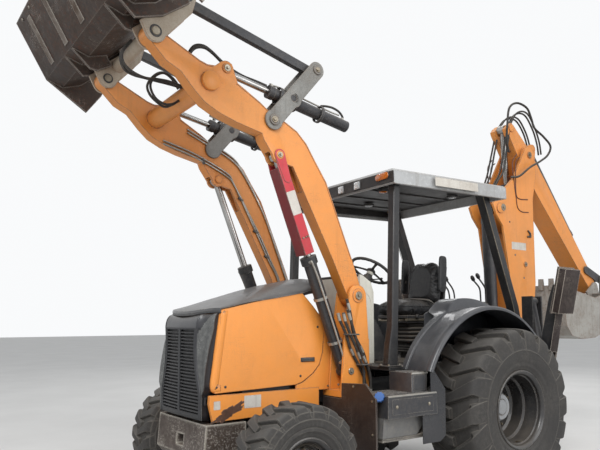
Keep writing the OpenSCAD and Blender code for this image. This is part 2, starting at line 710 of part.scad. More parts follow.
module tilt_barrels() color(dark_grey) both_sides() {
    along(trunnion, tilt_rod_pin, arm_y) difference() {
        union() {
            translate([-barrel_behind, 0, 0]) rotate([0, 90, 0]) cylinder(h = barrel_behind + barrel_ahead, r = tilt_barrel_r);
            translate([barrel_ahead - 50, 0, 0]) rotate([0, 90, 0]) cylinder(h = 50, r = tilt_barrel_r + 5);
            rotate([90, 0, 0]) cylinder(h = crank_gap + 2 * crank_t - 2, r = 26, center = true);
            rotate([90, 0, 0]) cylinder(h = crank_gap - 8, r = 44, center = true);
        }
        translate([-barrel_behind + 40, 0, 0]) rotate([0, 90, 0]) cylinder(h = 1000, r = tilt_rod_r + run_fit);
    }
}
module tilt_rods() color(chrome) both_sides()
    along(tilt_rod_pin, 2 * tilt_rod_pin - trunnion, arm_y) rod(760, tilt_rod_r, 42, eye_w - 2, 24);

// Coupler: two pairs of plates, joined across the machine
coupler_t = 22;
coupler_in = arm_in - side_fit - coupler_t;
coupler_out = arm_out + side_fit;
// Both are drawn in the bucket's frame: heel at the origin, floor along x
module in_bucket(y0, y1) slab(y0, y1) translate(heel) rotate(bucket_tilt) children();
module coupler_outline() {
    polygon([[-372, 150], [-300, 95], [-205, 100], [-178, 250], [-152, 400], [-100, 490], [-180, 580], [-260, 500],
        [-345, 250]]);
    translate([-300, 170]) circle(75);
    translate([-144, 527]) circle(58);
}
module coupler() color(pale_grey) {
    both_sides() for (y = [coupler_in, coupler_out]) in_bucket(y, y + coupler_t) coupler_outline();
    both_sides() shaft(bucket_pin, 30, coupler_in + 1, coupler_out + 1);
    both_sides() shaft(coupler_top, 25, coupler_in + 1, coupler_out + 1);
    in_bucket(-coupler_in - 1, coupler_in + 1) translate([-235, 300]) circle(50);
}

wall = [[0, 0], [-105, 95], [-135, 250], [-78, 540], [60, 800]];
module bucket_shell() {
    polygon(concat([[bucket_floor, 0]], wall, [[110, 850], [150, 835], [82, 790], [-56, 535], [-113, 250],
        [-88, 105], [8, bucket_t], [bucket_floor, bucket_t]]));
}
module loader_bucket() color(dirt) {
    half = bucket_w / 2;
    in_bucket(-half + bucket_t, half - bucket_t) bucket_shell();
    both_sides() in_bucket(half - bucket_t - 1, half) polygon([[bucket_floor, 0], [0, 0], [-372, 185], [-283, 388],
        [-140, 560], [60, 830], [130, 850], [420, 300], [bucket_floor, 60]]);
    // Ribs that the coupler's plates meet
    both_sides() in_bucket(coupler_out + coupler_t, coupler_out + coupler_t + 22)
        polygon([[0, 0], [-105, 95], [-135, 250], [-78, 540], [-200, 500], [-230, 260], [-190, 60]]);
    both_sides() in_bucket(coupler_in - 22, coupler_in) {
        polygon([[0, 0], [-105, 95], [-133, 240], [-225, 240], [-225, 110], [-190, 60]]);
        polygon([[-124, 360], [-78, 540], [-170, 500], [-200, 360]]);
    }
}

// Backhoe frame, swing tower and boom
box_rear = -1010;
leg_plates = [[-988, -970], [-880, -862]];
leg_clevis = [[-1010, -993], [-857, -840]];
leg_pivot = [710, 740];
leg_rest = 77.2;
leg_ram_at = 200;
mast_pin = [640, 1640];
leg_mid_x = -925;
// Extrudes an outline drawn in y and z from x0 to x1
module across(x0, x1) {
    translate([x0 - mid_x, 0, 0]) rotate([90, 0, 90]) linear_extrude(height = x1 - x0) children();
}
// A round bar along X
module pin_x(at, r, x0, x1) {
    translate([x0 - mid_x, at[0], at[1]]) rotate([0, 90, 0]) cylinder(h = x1 - x0, r = r);
}
module backhoe_frame() color(black) {
    block([box_rear, -560, 560], [frame_rear_x, 560, 1040]);
    block([box_rear, -500, 1039], [frame_rear_x, 500, 1240]);
    both_sides() for (x = leg_clevis) across(x[0], x[1])
        polygon([[559, 600], [700, 650], [760, 680], [770, 740], [740, 800], [700, 860], [700, 1690], [580, 1690],
            [575, 1050], [500, 1039]]);
    both_sides() block([leg_clevis[0][0], 559, 980], [leg_clevis[1][1], 590, 1240]);
    both_sides() pin_x(leg_pivot, 25, leg_clevis[0][0] - 8, leg_clevis[1][1]);
    both_sides() pin_x(mast_pin, 22, leg_clevis[0][0] - 8, leg_clevis[1][1]);
    // Lugs of the swing pin
    for (z = [600, 1120]) difference() {
        union() {
            block([swing_x, -90, z], [box_rear + 1, 90, z + 80]);
            translate([swing_x - mid_x, 0, z]) cylinder(h = 80, r = 90);
        }
        translate([swing_x - mid_x, 0, z - 1]) cylinder(h = 82, r = 45 + run_fit);
    }
}

tower_y = boom_w / 2 + side_fit;
tower_t = 22;
ram_ear_y = 80;
module swing_tower() color(mid_grey) {
    translate([swing_x - mid_x, 0, 600]) cylinder(h = 600, r = 45);
    translate([swing_x - mid_x, 0, 685]) cylinder(h = 430, r = 85);
    // Tapers towards the swing pin, clear of the frame at the ends of the swing
    translate([-mid_x, 0, 700]) linear_extrude(height = 415) polygon([[-1365, -tower_y - tower_t],
        [-1352, -tower_y - tower_t], [-1285, -110], [-1285, 110], [-1352, tower_y + tower_t],
        [-1365, tower_y + tower_t]]);
    block([-1290, -80, 690], [swing_x, 80, 1110]);
    both_sides() slab(tower_y, tower_y + tower_t) {
        polygon([[-1365, 700], [-1352, 700], [-1352, 1115], [-1480, 1110], [-1590, 1040], [-1590, 930]]);
        translate(boom_foot) circle(100);
    }
    shaft(boom_foot, 40, -tower_y - 1, tower_y + 1);
    // Ears for the boom cylinder, over the upper lug
    both_sides() slab(ram_ear_y, ram_ear_y + 25) {
        polygon([[-1365, 1114], [-1290, 1114], [-1290, 1212], [-1080, 1212], [-1070, 1350], [-1130, 1410],
            [-1290, 1400], [-1365, 1300]]);
        translate(boom_base) circle(60);
    }
    shaft(boom_base, 32, -ram_ear_y - 1, ram_ear_y + 1);
}

module boom_outline() {
    polygon([[-979, 2730], [-1172, 2910], [-1370, 3074], [-1600, 3440], [-1765, 3410], [-1804, 3193], [-1722, 2848],
        [-1718, 1876], [-1588, 1010], [-1420, 1050], [-1300, 1529], [-1230, 2000], [-1140, 2500], [-1030, 2620]]);
    translate(dipper_pin) circle(100);
    translate(boom_foot) circle(90);
    translate(boom_ram_pin) circle(85);
}
module boom() color(orange) {
    half = boom_w / 2;
    both_sides() difference() {
        slab(half - boom_t, half) boom_outline();
        shaft(boom_foot, 40 + run_fit, half - boom_t - 1, half + 1);
    }
    // Webs between the side plates
    slab(-half + 1, half - 1) {
        polygon([[-1718, 1876], [-1722, 2848], [-1694, 2848], [-1690, 1880], [-1600, 1260], [-1622, 1235]]);
        polygon([[-1444, 1500], [-1414, 1500], [-1334, 2450], [-1364, 2450]]);
    }
    difference() {
        shaft(boom_foot, 88, -half, half);
        shaft(boom_foot, 40 + run_fit, -half - 1, half + 1);
    }
    shaft(dipper_pin, 38, -half - 12, half + 12);
    shaft(dipper_ram_base, 30, -half - 10, half + 10);
    both_sides() shaft(boom_ram_pin, 55, half - 1, half + 12);
}

// Rams of the backhoe: base, rod pin, barrel length, rod length
boom_ram_l = 1250;
boom_rod_l = 1230;
module boom_barrel() color(dark_grey)
    along(boom_base, boom_ram_pin, 0) barrel(boom_ram_l, boom_barrel_r, 38, 62, 2 * (ram_ear_y - side_fit), 32);
module boom_rod() color(chrome)
    along(boom_ram_pin, 2 * boom_ram_pin - boom_base, 0) rod(boom_rod_l, 38, 62, 110, 34);
module dipper_barrel() color(dark_grey)
    along(dipper_ram_base, dipper_ram_pin, 0) barrel(950, dipper_barrel_r, 34, 58, 100, 30);
module dipper_rod() color(chrome)
    along(dipper_ram_pin, 2 * dipper_ram_pin - dipper_ram_base, 0) rod(940, 34, 55, 90, 28);

// Dipper, drawn along its own axis: x from the dipper's pin to the bucket's pin, y towards the bucket cylinder
dipper_l = dist(dipper_pin, dig_pin);
dipper_turn = heading(dipper_pin, dig_pin);
module on_dipper(y0, y1) slab(y0, y1) translate(dipper_pin) rotate(dipper_turn) mirror([0, 1]) children();
lever_at = [1773, 20];
dig_ram_base = [50, 250];
module dipper() color(orange) {
    half = dipper_w / 2;
    difference() {
        union() {
            on_dipper(-half, half) {
                polygon([[-430, -60], [-386, -75], [0, -130], [500, -135], [1900, -85], [2053, -70], [2053, 70],
                    [1773, 95], [500, 130], [0, 130], [-386, 75], [-430, 60]]);
                translate([dipper_l, 0]) circle(72);
            }
            on_dipper(-boom_w / 2 + boom_t + side_fit, boom_w / 2 - boom_t - side_fit) circle(90);
            // Ears of the bucket cylinder
            for (s = [-1, 1]) on_dipper(min(s * 56, s * 80), max(s * 56, s * 80)) {
                polygon([[-60, 120], [220, 120], [110, 260], [40, 300], [-10, 260]]);
                translate(dig_ram_base) circle(52);
            }
        }
        // Fork for the dipper cylinder's eye
        on_dipper(-52, 52) polygon([[-460, -150], [-460, 150], [-140, 150], [-140, -150]]);
        on_dipper(-200, 200) circle(38 + run_fit);
        on_dipper(-200, 200) translate(lever_at) circle(25 + run_fit);
        on_dipper(-200, 200) translate([dipper_l, 0]) circle(32 + run_fit);
    }
    both_sides() on_dipper(half - 1, half + 12) translate([-386, 13]) circle(45);
    on_dipper(-81, 81) translate(dig_ram_base) circle(26);
}
// Lever and link of the dig bucket
on_axis = [cos(dipper_turn), sin(dipper_turn)];
off_axis = [sin(dipper_turn), -cos(dipper_turn)];
lever_pin = dipper_pin + lever_at[0] * on_axis + lever_at[1] * off_axis;
lever_l = 330;
lever_end = lever_pin + lever_l * [cos(200), sin(200)];
dig_base = dipper_pin + dig_ram_base[0] * on_axis + dig_ram_base[1] * off_axis;
ear_pin = dig_pin + [-103, -282];
module bucket_lever() color(mid_grey) {
    both_sides() slab(120, 138) bar(lever_pin, lever_end, 48);
    shaft(lever_pin, 25, -121, 121);
    both_sides() shaft(lever_end, 28, 46, 121);
}
module bucket_link() color(mid_grey) both_sides() {
    difference() {
        slab(143, 158) bar(lever_end, ear_pin, 42);
        shaft(ear_pin, 25 + run_fit, 142, 159);
    }
    shaft(lever_end, 30, 157, 168);
}
module dig_barrel() color(dark_grey) along(dig_base, lever_end, 0) barrel(1300, dig_barrel_r, 28, 48, 100, 26);
module dig_rod() color(chrome) along(lever_end, 2 * lever_end - dig_base, 0) rod(1200, 28, 48, 80, 25);

// Dig bucket, drawn from its pin on the dipper
module in_dig(y0, y1) slab(y0, y1) translate(dig_pin) children();
dig_back = [[60, -80], [-20, -290], [-60, -430], [100, -550], [350, -630], [620, -643], [850, -600], [960, -480],
    [985, -300], [975, 0]];
dig_inner = [[80, 200], [80, -84], [-1, -290], [-38, -420], [106, -531], [352, -612], [620, -625], [841, -583],
    [943, -472], [967, -298], [957, 0], [957, 200]];
dig_t = 18;
module dig_bucket() color(pale_grey) {
    half = dig_w / 2;
    in_dig(-half, half) difference() {
        polygon(dig_back);
        polygon(dig_inner);
    }
    both_sides() in_dig(half - dig_t, half) polygon(concat(dig_back, [[760, -60], [300, -140]]));
    both_sides() difference() {
        in_dig(120, 138) {
            polygon([[-70, 10], [60, 40], [200, -60], [120, -160], [60, -80], [-20, -290], [-60, -430], [-150, -310]]);
            circle(70);
            translate([-103, -282]) circle(50);
        }
    }
    in_dig(-139, 139) circle(32);
    in_dig(-139, 139) translate([-103, -282]) circle(25);
    both_sides() in_dig(137, 160) translate([-103, -282]) circle(25);
    // Teeth
    for (i = [-2 : 2]) in_dig(i * (half - 35) / 2 - 30, i * (half - 35) / 2 + 30)
        polygon([[950, -60], [992, -60], [985, 80], [965, 80]]);
}

// Stabilisers, drawn in y and z from the leg's pivot with the leg along y
module on_leg(x0, x1) across(x0, x1) translate(leg_pivot) rotate(leg_rest) children();
module leg(side) color(black) mirror([0, side < 0 ? 1 : 0, 0]) {
    difference() {
        for (x = leg_plates) on_leg(x[0], x[1]) polygon([[-50, -40], [0, -55], [300, -60], [leg_l - 40, -45],
            [leg_l + 40, -30], [leg_l + 40, 30], [leg_l - 100, 50], [300, 60], [leg_ram_at, 55], [0, 50], [-50, 35]]);
        pin_x(leg_pivot, 25 + run_fit, -1100, -800);
    }
    // Outer web
    on_leg(leg_plates[0][0] + 1, leg_plates[1][1] - 1) polygon([[420, -60], [940, -47], [940, -27], [420, -40]]);
    for (x = [leg_plates[0][0] - 6, leg_plates[1][1] - 1])
        on_leg(x, x + 7) translate([leg_ram_at, 0]) circle(34);
    // Pad with its rubber face
    on_leg(-1000, -740) polygon([[leg_l - pad_l / 2, -82], [leg_l + pad_l / 2, -82], [leg_l + pad_l / 2, -62],
        [leg_l - pad_l / 2, -62]]);
    on_leg(-995, -745) polygon([[leg_l - pad_l / 2 + 10, -150], [leg_l + pad_l / 2 - 10, -150],
        [leg_l + pad_l / 2 - 10, -81], [leg_l - pad_l / 2 + 10, -81]]);
    on_leg(leg_plates[0][0], leg_plates[1][1]) polygon([[leg_l - 60, -63], [leg_l + 60, -63], [leg_l + 39, -30],
        [leg_l - 39, -30]]);
}
// Draws its children, modelled along +X, from a towards b in the plane x
module along_yz(a, b, x) translate([x - mid_x, a[0], a[1]]) rotate([heading(a, b), 0, 0]) rotate([0, 0, 90]) children();
leg_ram_pin = leg_pivot + leg_ram_at * [cos(leg_rest), sin(leg_rest)];
module leg_barrel(side) color(dark_grey) mirror([0, side < 0 ? 1 : 0, 0])
    along_yz(mast_pin, leg_ram_pin, leg_mid_x) barrel(600, 38, 22, 40, 90, 22);
module leg_rod(side) color(chrome) mirror([0, side < 0 ? 1 : 0, 0])
    along_yz(leg_ram_pin, 2 * leg_ram_pin - mast_pin, leg_mid_x) rod(580, 22, 38, 60, 22);

main_frame();
side_rails();
counterweight();
powertrain();
front_axle();
rear_axle();
loader_towers();
platform();
side_boxes();
rear_fenders();
canopy_roof();
canopy_posts();
front_console();
control_stand();
backhoe_frame();
hood_sides();
hood_top();
grille();
knuckle(1);  // front_left_knuckle
knuckle(-1);  // front_right_knuckle
front_tyre(1);  // front_left_tyre
front_rim(1);  // front_left_rim
front_tyre(-1);  // front_right_tyre
front_rim(-1);  // front_right_rim
rear_tyre(1);  // rear_left_tyre
rear_rim(1);  // rear_left_rim
rear_tyre(-1);  // rear_right_tyre
rear_rim(-1);  // rear_right_rim
steering_wheel();
seat_base();
seat();
loader_arms();
lift_barrels();
lift_rods();
bell_cranks();
tilt_links();
tilt_barrels();
tilt_rods();
coupler();
loader_bucket();
swing_tower();
boom();
dipper();
dig_bucket();
bucket_lever();
bucket_link();
boom_barrel();
boom_rod();
dipper_barrel();
dipper_rod();
dig_barrel();
dig_rod();
leg(1);  // left_leg
leg(-1);  // right_leg
leg_barrel(1);  // left_leg_barrel
leg_barrel(-1);  // right_leg_barrel
leg_rod(1);  // left_leg_rod
leg_rod(-1);  // right_leg_rod
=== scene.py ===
"""Looks of a backhoe loader with raised loader arms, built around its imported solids."""

import json
import logging
import math
from collections.abc import Callable
from dataclasses import dataclass, field
from enum import Enum

import bmesh
import bpy
import numpy as np
from mathutils import Matrix, Vector

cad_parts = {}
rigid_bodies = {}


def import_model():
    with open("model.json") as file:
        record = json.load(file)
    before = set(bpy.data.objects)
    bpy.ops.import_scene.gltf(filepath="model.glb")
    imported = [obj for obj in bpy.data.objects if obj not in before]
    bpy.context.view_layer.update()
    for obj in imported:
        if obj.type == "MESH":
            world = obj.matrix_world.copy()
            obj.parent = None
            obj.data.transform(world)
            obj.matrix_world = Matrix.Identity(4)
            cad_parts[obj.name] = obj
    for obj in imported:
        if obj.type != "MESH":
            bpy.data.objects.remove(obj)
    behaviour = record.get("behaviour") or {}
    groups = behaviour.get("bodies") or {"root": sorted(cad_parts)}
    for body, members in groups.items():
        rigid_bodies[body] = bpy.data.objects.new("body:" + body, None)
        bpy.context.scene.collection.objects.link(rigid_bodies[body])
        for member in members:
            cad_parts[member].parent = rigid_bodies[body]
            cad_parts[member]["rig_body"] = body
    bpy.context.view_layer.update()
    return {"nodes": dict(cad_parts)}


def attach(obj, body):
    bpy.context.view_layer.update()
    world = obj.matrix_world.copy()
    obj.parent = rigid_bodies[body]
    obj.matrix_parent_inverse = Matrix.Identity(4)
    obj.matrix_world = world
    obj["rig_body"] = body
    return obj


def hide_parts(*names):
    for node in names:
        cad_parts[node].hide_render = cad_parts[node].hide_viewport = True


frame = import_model()

LOG = logging.getLogger("backhoe_loader")
AHEAD = 0.205  # the row origin lies this far ahead of the rear axle, in metres


def row(points: object) -> np.ndarray:
    """Moves points from the rear-axle frame to the row frame.

    Args:
        points: one point or an array of points (x, y, z) in metres, x counted from the rear axle.

    Returns:
        The points as a float array in the row frame.
    """
    return np.asarray(points, float) - np.array([AHEAD, 0.0, 0.0])


# Shapes


@dataclass
class Patch:
    """A mesh under construction: arrays of points and lists of faces, gathered patch by patch."""

    points: list[np.ndarray] = field(default_factory=list)
    faces: list[tuple[int, ...]] = field(default_factory=list)
    tags: list[int] = field(default_factory=list)
    count: int = 0

    def add(self, points: np.ndarray, faces: list, tag: int = 0) -> "Patch":
        """Appends a patch.

        Args:
            points: (n, 3) array.
            faces: index tuples into that array.
            tag: material slot of the patch.

        Returns:
            The patch itself.
        """
        points = np.asarray(points, float).reshape(-1, 3)
        self.points.append(points)
        self.faces.extend(tuple(int(i) + self.count for i in f) for f in faces)
        self.tags.extend([tag] * len(faces))
        self.count += len(points)
        return self

    def join(self, other: "Patch", tag: int | None = None) -> "Patch":
        """Appends another shell, with its tags kept or replaced by tag.

        Args:
            other: the shell to append.
            tag: material slot for all of it, or None to keep its own.

        Returns:
            The patch itself.
        """
        for p in other.points:
            self.points.append(p)
        self.faces.extend(tuple(i + self.count for i in f) for f in other.faces)
        self.tags.extend(other.tags if tag is None else [tag] * len(other.tags))
        self.count += other.count
        return self

    def moved(self, matrix: Matrix) -> "Patch":
        """A copy carried through a 4 by 4 matrix; a mirroring matrix also turns the faces over.

        Args:
            matrix: the 4 by 4 matrix.

        Returns:
            The copy.
        """
        m = np.array(matrix)
        flip = np.linalg.det(m[:3, :3]) < 0
        out = Patch()
        out.points = [p @ m[:3, :3].T + m[:3, 3] for p in self.points]
        out.faces = [f[::-1] for f in self.faces] if flip else list(self.faces)
        out.tags = list(self.tags)
        out.count = self.count
        return out

    def in_row(self) -> "Patch":
        """The shell moved from the rear-axle frame to the row frame."""
        return self.moved(Matrix.Translation((-AHEAD, 0, 0)))

    def mirrored(self) -> "Patch":
        """The shell's twin on the machine's other side."""
        return self.moved(Matrix.Diagonal((1.0, -1.0, 1.0, 1.0)))

    def both(self) -> "Patch":
        """The shell and its twin together.

        Returns:
            One shell that holds the two.
        """
        out = Patch()
        out.join(self)
        out.join(self.mirrored())
        return out


def grid_faces(rows: int, cols: int, loop_rows: bool = False, loop_cols: bool = False) -> list:
    """Quads over a rows by cols grid of points; a looped direction also joins its last line to its first.

    Args:
        rows: rows of points.
        cols: points in a row.
        loop_rows: whether the last row meets the first.
        loop_cols: whether the last column meets the first.

    Returns:
        The faces, as lists of four point numbers.
    """
    i = np.arange(rows if loop_rows else rows - 1)[:, None]
    j = np.arange(cols if loop_cols else cols - 1)[None, :]
    a = i * cols + j
    b = i * cols + (j + 1) % cols
    c = ((i + 1) % rows) * cols + (j + 1) % cols
    d = ((i + 1) % rows) * cols + j
    return np.stack([a, b, c, d], -1).reshape(-1, 4).tolist()


def closed_faces(rows: int, cols: int) -> list:
    """Quads round a closed section of cols points carried through rows places, and both ends."""
    ends = [list(range(cols))[::-1], list(range((rows - 1) * cols, rows * cols))]
    return grid_faces(rows, cols, loop_cols=True) + ends


def smooth_path(points: object, count: int) -> np.ndarray:
    """A uniform Catmull-Rom curve through the points, sampled at even parameter steps.

    Each span is the cubic 0.5 * (2 p1 + (p2 - p0) t + (2 p0 - 5 p1 + 4 p2 - p3) t^2 + (3 p1 - p0 - 3 p2 +
    p3) t^3).

    Args:
        points: (n, 3) or (n, 2) control points.
        count: samples along the curve.

    Returns:
        The samples, from the first control point to the last.
    """
    p = np.asarray(points, float)
    ext = np.vstack([2 * p[0] - p[1], p, 2 * p[-1] - p[-2]])
    s = np.linspace(0, len(p) - 1 - 1e-9, count)
    k = s.astype(int)
    t = (s - k)[:, None]
    p0, p1, p2, p3 = ext[k], ext[k + 1], ext[k + 2], ext[k + 3]
    return 0.5 * (
        2 * p1 + (p2 - p0) * t + (2 * p0 - 5 * p1 + 4 * p2 - p3) * t**2 + (3 * p1 - p0 - 3 * p2 + p3) * t**3
    )


def path_frames(path: np.ndarray) -> tuple[np.ndarray, np.ndarray]:
    """Two unit normals at each point of a path, square to its tangent and to each other.

    Args:
        path: (n, 3) points.

    Returns:
        Both normals, each an (n, 3) array.
    """
    tangent = np.gradient(path, axis=0)
    tangent /= np.linalg.norm(tangent, axis=1, keepdims=True) + 1e-12
    spread = np.abs(tangent).mean(0)
    ref = np.zeros(3)
    ref[int(np.argmin(spread))] = 1.0
    u = np.cross(tangent, ref)
    u /= np.linalg.norm(u, axis=1, keepdims=True) + 1e-12
    return u, np.cross(tangent, u)


def tube(path: np.ndarray, radius: object, sides: int = 12, tag: int = 0, closed: bool = True) -> Patch:
    """A round tube: circle radius * (cos a, sin a) in the plane square to the path at each point.

    Args:
        path: (n, 3) centre line.
        radius: one radius, or one for each point.
        sides: points round the circle.
        tag: material slot.
        closed: whether both ends get a flat face.

    Returns:
        The tube.
    """
    u, v = path_frames(path)
    a = np.linspace(0, 2 * np.pi, sides, endpoint=False)
    r = np.broadcast_to(np.asarray(radius, float), (len(path),))[:, None, None]
    ring = np.cos(a)[None, :, None] * u[:, None] + np.sin(a)[None, :, None] * v[:, None]
    pts = (path[:, None] + r * ring).reshape(-1, 3)
    faces = [f[::-1] for f in closed_faces(len(path), sides)]
    return Patch().add(pts, faces if closed else faces[:-2], tag)


def hose(points: object, radius: float, count: int = 40, sides: int = 10, tag: int = 0) -> Patch:
    """A hose or pipe: a tube along the smooth curve through the points given."""
    return tube(smooth_path(points, count), radius, sides, tag)


def revolve(
    profile: object, centre: object, axis: object, sides: int = 64, tag: int = 0, arc: float = 2 * np.pi
) -> Patch:
    """Turns a profile (s, r) about an axis: centre + s * axis + r * (cos a u + sin a v).

    Args:
        profile: (n, 2) pairs of distance along the axis and radius.
        centre: point on the axis where the distance is 0.
        axis: direction of the axis.
        sides: steps round.
        tag: material slot.
        arc: angle turned through.

    Returns:
        The turned surface.
    """
    prof = np.asarray(profile, float)
    d = np.asarray(axis, float)
    d = d / np.linalg.norm(d)
    ref = np.eye(3)[int(np.argmin(np.abs(d)))]
    u = np.cross(d, ref)
    u /= np.linalg.norm(u)
    v = np.cross(d, u)
    full = abs(arc - 2 * np.pi) < 1e-9
    a = np.linspace(0, arc, sides, endpoint=not full)
    ring = np.cos(a)[:, None] * u + np.sin(a)[:, None] * v
    pts = np.asarray(centre, float) + prof[None, :, 0:1] * d + prof[None, :, 1:2] * ring[:, None]
    return Patch().add(pts.reshape(-1, 3), grid_faces(len(a), len(prof), loop_rows=full), tag)


def inset_outline(outline: np.ndarray, by: float) -> np.ndarray:
    """Moves each corner of a closed outline inwards by a distance, along the mitre of its two edges.

    Args:
        outline: (n, 2) corners.
        by: the distance; a negative one moves the corners outwards.

    Returns:
        The moved corners.
    """
    prev = outline - np.roll(outline, 1, 0)
    nxt = np.roll(outline, -1, 0) - outline
    prev /= np.linalg.norm(prev, axis=1, keepdims=True) + 1e-12
    nxt /= np.linalg.norm(nxt, axis=1, keepdims=True) + 1e-12
    area = np.sum(outline[:, 0] * np.roll(outline[:, 1], -1) - np.roll(outline[:, 0], -1) * outline[:, 1])
    sign = 1.0 if area > 0 else -1.0
    n1 = np.column_stack([-prev[:, 1], prev[:, 0]]) * sign
    n2 = np.column_stack([-nxt[:, 1], nxt[:, 0]]) * sign
    m = n1 + n2
    m /= np.maximum(np.sum(m * n1, axis=1, keepdims=True), 0.35)
    return outline + m * by


def plate(
    outline: object, low: float, high: float, bevel: float = 0.003, tag: int = 0, axis: str = "y"
) -> Patch:
    """A flat plate: an outline carried from low to high along an axis, its two rims bevelled.

    Args:
        outline: (n, 2) closed outline. Its pairs are (x, z) for axis y, (y, z) for axis x and (x, y) for
            axis z.
        low: lowest place along the axis.
        high: highest place along the axis.
        bevel: width of the bevel.
        tag: material slot.
        axis: the direction of the plate's thickness.

    Returns:
        The plate.
    """
    o = np.asarray(outline, float)
    bevel = min(bevel, (high - low) * 0.45)
    small = inset_outline(o, bevel)
    layers = [(small, low), (o, low + bevel), (o, high - bevel), (small, high)]
    order = {"y": (0, 2, 1), "x": (1, 2, 0), "z": (0, 1, 2)}[axis]
    pts = np.zeros((4, len(o), 3))
    for k, (ring, at) in enumerate(layers):
        pts[k, :, order[0]] = ring[:, 0]
        pts[k, :, order[1]] = ring[:, 1]
        pts[k, :, order[2]] = at
    faces = closed_faces(4, len(o))
    area = np.sum(o[:, 0] * np.roll(o[:, 1], -1) - np.roll(o[:, 0], -1) * o[:, 1])
    turned = (area < 0) != (axis == "y")
    if turned:
        faces = [f[::-1] for f in faces]
    return Patch().add(pts.reshape(-1, 3), faces, tag)


def rounded(outline: object, radius: float, steps: int = 5) -> np.ndarray:
    """Rounds every corner of a closed outline with a quadratic arc.

    Args:
        outline: (n, 2) corners.
        radius: distance from a corner at which its arc starts.
        steps: points of each arc.

    Returns:
        The outline with its arcs.
    """
    o = np.asarray(outline, float)
    back = np.roll(o, 1, 0) - o
    ahead = np.roll(o, -1, 0) - o
    lb = np.linalg.norm(back, axis=1, keepdims=True)
    la = np.linalg.norm(ahead, axis=1, keepdims=True)
    a = o + back / lb * np.minimum(radius, lb * 0.48)
    c = o + ahead / la * np.minimum(radius, la * 0.48)
    t = np.linspace(0, 1, steps)[None, :, None]
    arc = (1 - t) ** 2 * a[:, None] + 2 * t * (1 - t) * o[:, None] + t**2 * c[:, None]
    return arc.reshape(-1, 2)


def oblong(low: tuple, high: tuple, radius: float, steps: int = 5) -> np.ndarray:
    """Rectangle between two corners of a plane, with rounded corners.

    Args:
        low: one corner.
        high: the opposite corner.
        radius: radius of the corners.
        steps: points of each corner's arc.

    Returns:
        The outline.
    """
    (u0, v0), (u1, v1) = low, high
    return rounded([(u0, v0), (u1, v0), (u1, v1), (u0, v1)], radius, steps)


def disc_outline(centre: object, radius: float, steps: int = 40) -> np.ndarray:
    """A circle's outline in two coordinates."""
    a = np.linspace(0, 2 * np.pi, steps, endpoint=False)
    return np.asarray(centre, float) + radius * np.column_stack([np.cos(a), np.sin(a)])


def brick(low: object, high: object, bevel: float = 0.004, tag: int = 0) -> Patch:
    """A box with bevelled edges between two corners in the rear-axle frame.

    Args:
        low: lowest corner (x, y, z).
        high: highest corner (x, y, z).
        bevel: width of the bevel.
        tag: material slot.

    Returns:
        The box in the row frame.
    """
    low, high = row(low), row(high)
    r = [(low[0], low[1]), (high[0], low[1]), (high[0], high[1]), (low[0], high[1])]
    return plate(rounded(r, bevel * 1.5, 3), low[2], high[2], bevel, tag, "z")


def shaft(
    at: object, radius: float, y0: float, y1: float, tag: int = 0, bevel: float = 0.003, sides: int = 32
) -> Patch:
    """A round bar or pin head along Y at (x, z) of the rear-axle frame.

    Args:
        at: (x, z) of the axis.
        radius: radius of the bar.
        y0: lower end along Y.
        y1: upper end along Y.
        tag: material slot.
        bevel: chamfer at both ends.
        sides: steps round.

    Returns:
        The bar in the row frame.
    """
    x, z = at
    prof = [
        (y0, 0.0), (y0, radius - bevel), (y0 + bevel, radius), (y1 - bevel, radius), (y1, radius - bevel),
        (y1, 0.0)
    ]
    return revolve(prof, row((x, 0.0, z)), (0, 1, 0), sides, tag)


def pin_face(at: tuple, radius: float, y: float, height: float, bolt: float, bolt_height: float) -> Patch:
    """A bright pin end along Y at (x, z) of the rear-axle frame, with a bolt head on it.

    Args:
        at: (x, z) of the pin.
        radius: radius of the pin.
        y: where the pin end starts.
        height: how far it stands out.
        bolt: width of the bolt's head.
        bolt_height: height of the bolt's head.

    Returns:
        The pin end in the row frame.
    """
    out = shaft(at, radius, y, y + height, 0, 0.002)
    return out.join(hex_head(row((at[0], y + height - 0.001, at[1])), (0, 1, 0), bolt, bolt_height, 0))


def hex_head(centre: object, axis: object, size: float, height: float, tag: int = 0) -> Patch:
    """A hexagon bolt head with its chamfered top, standing on a face.

    Args:
        centre: middle of its foot.
        axis: direction in which it stands.
        size: width of the hexagon over two corners.
        height: its height.
        tag: material slot.

    Returns:
        The head.
    """
    prof = [
        (0.0, size * 0.62), (height * 0.12, size * 0.62), (height * 0.12, size * 0.5),
        (height * 0.85, size * 0.5), (height, size * 0.42), (height, 0.0)
    ]
    return revolve(prof, centre, axis, 6, tag)


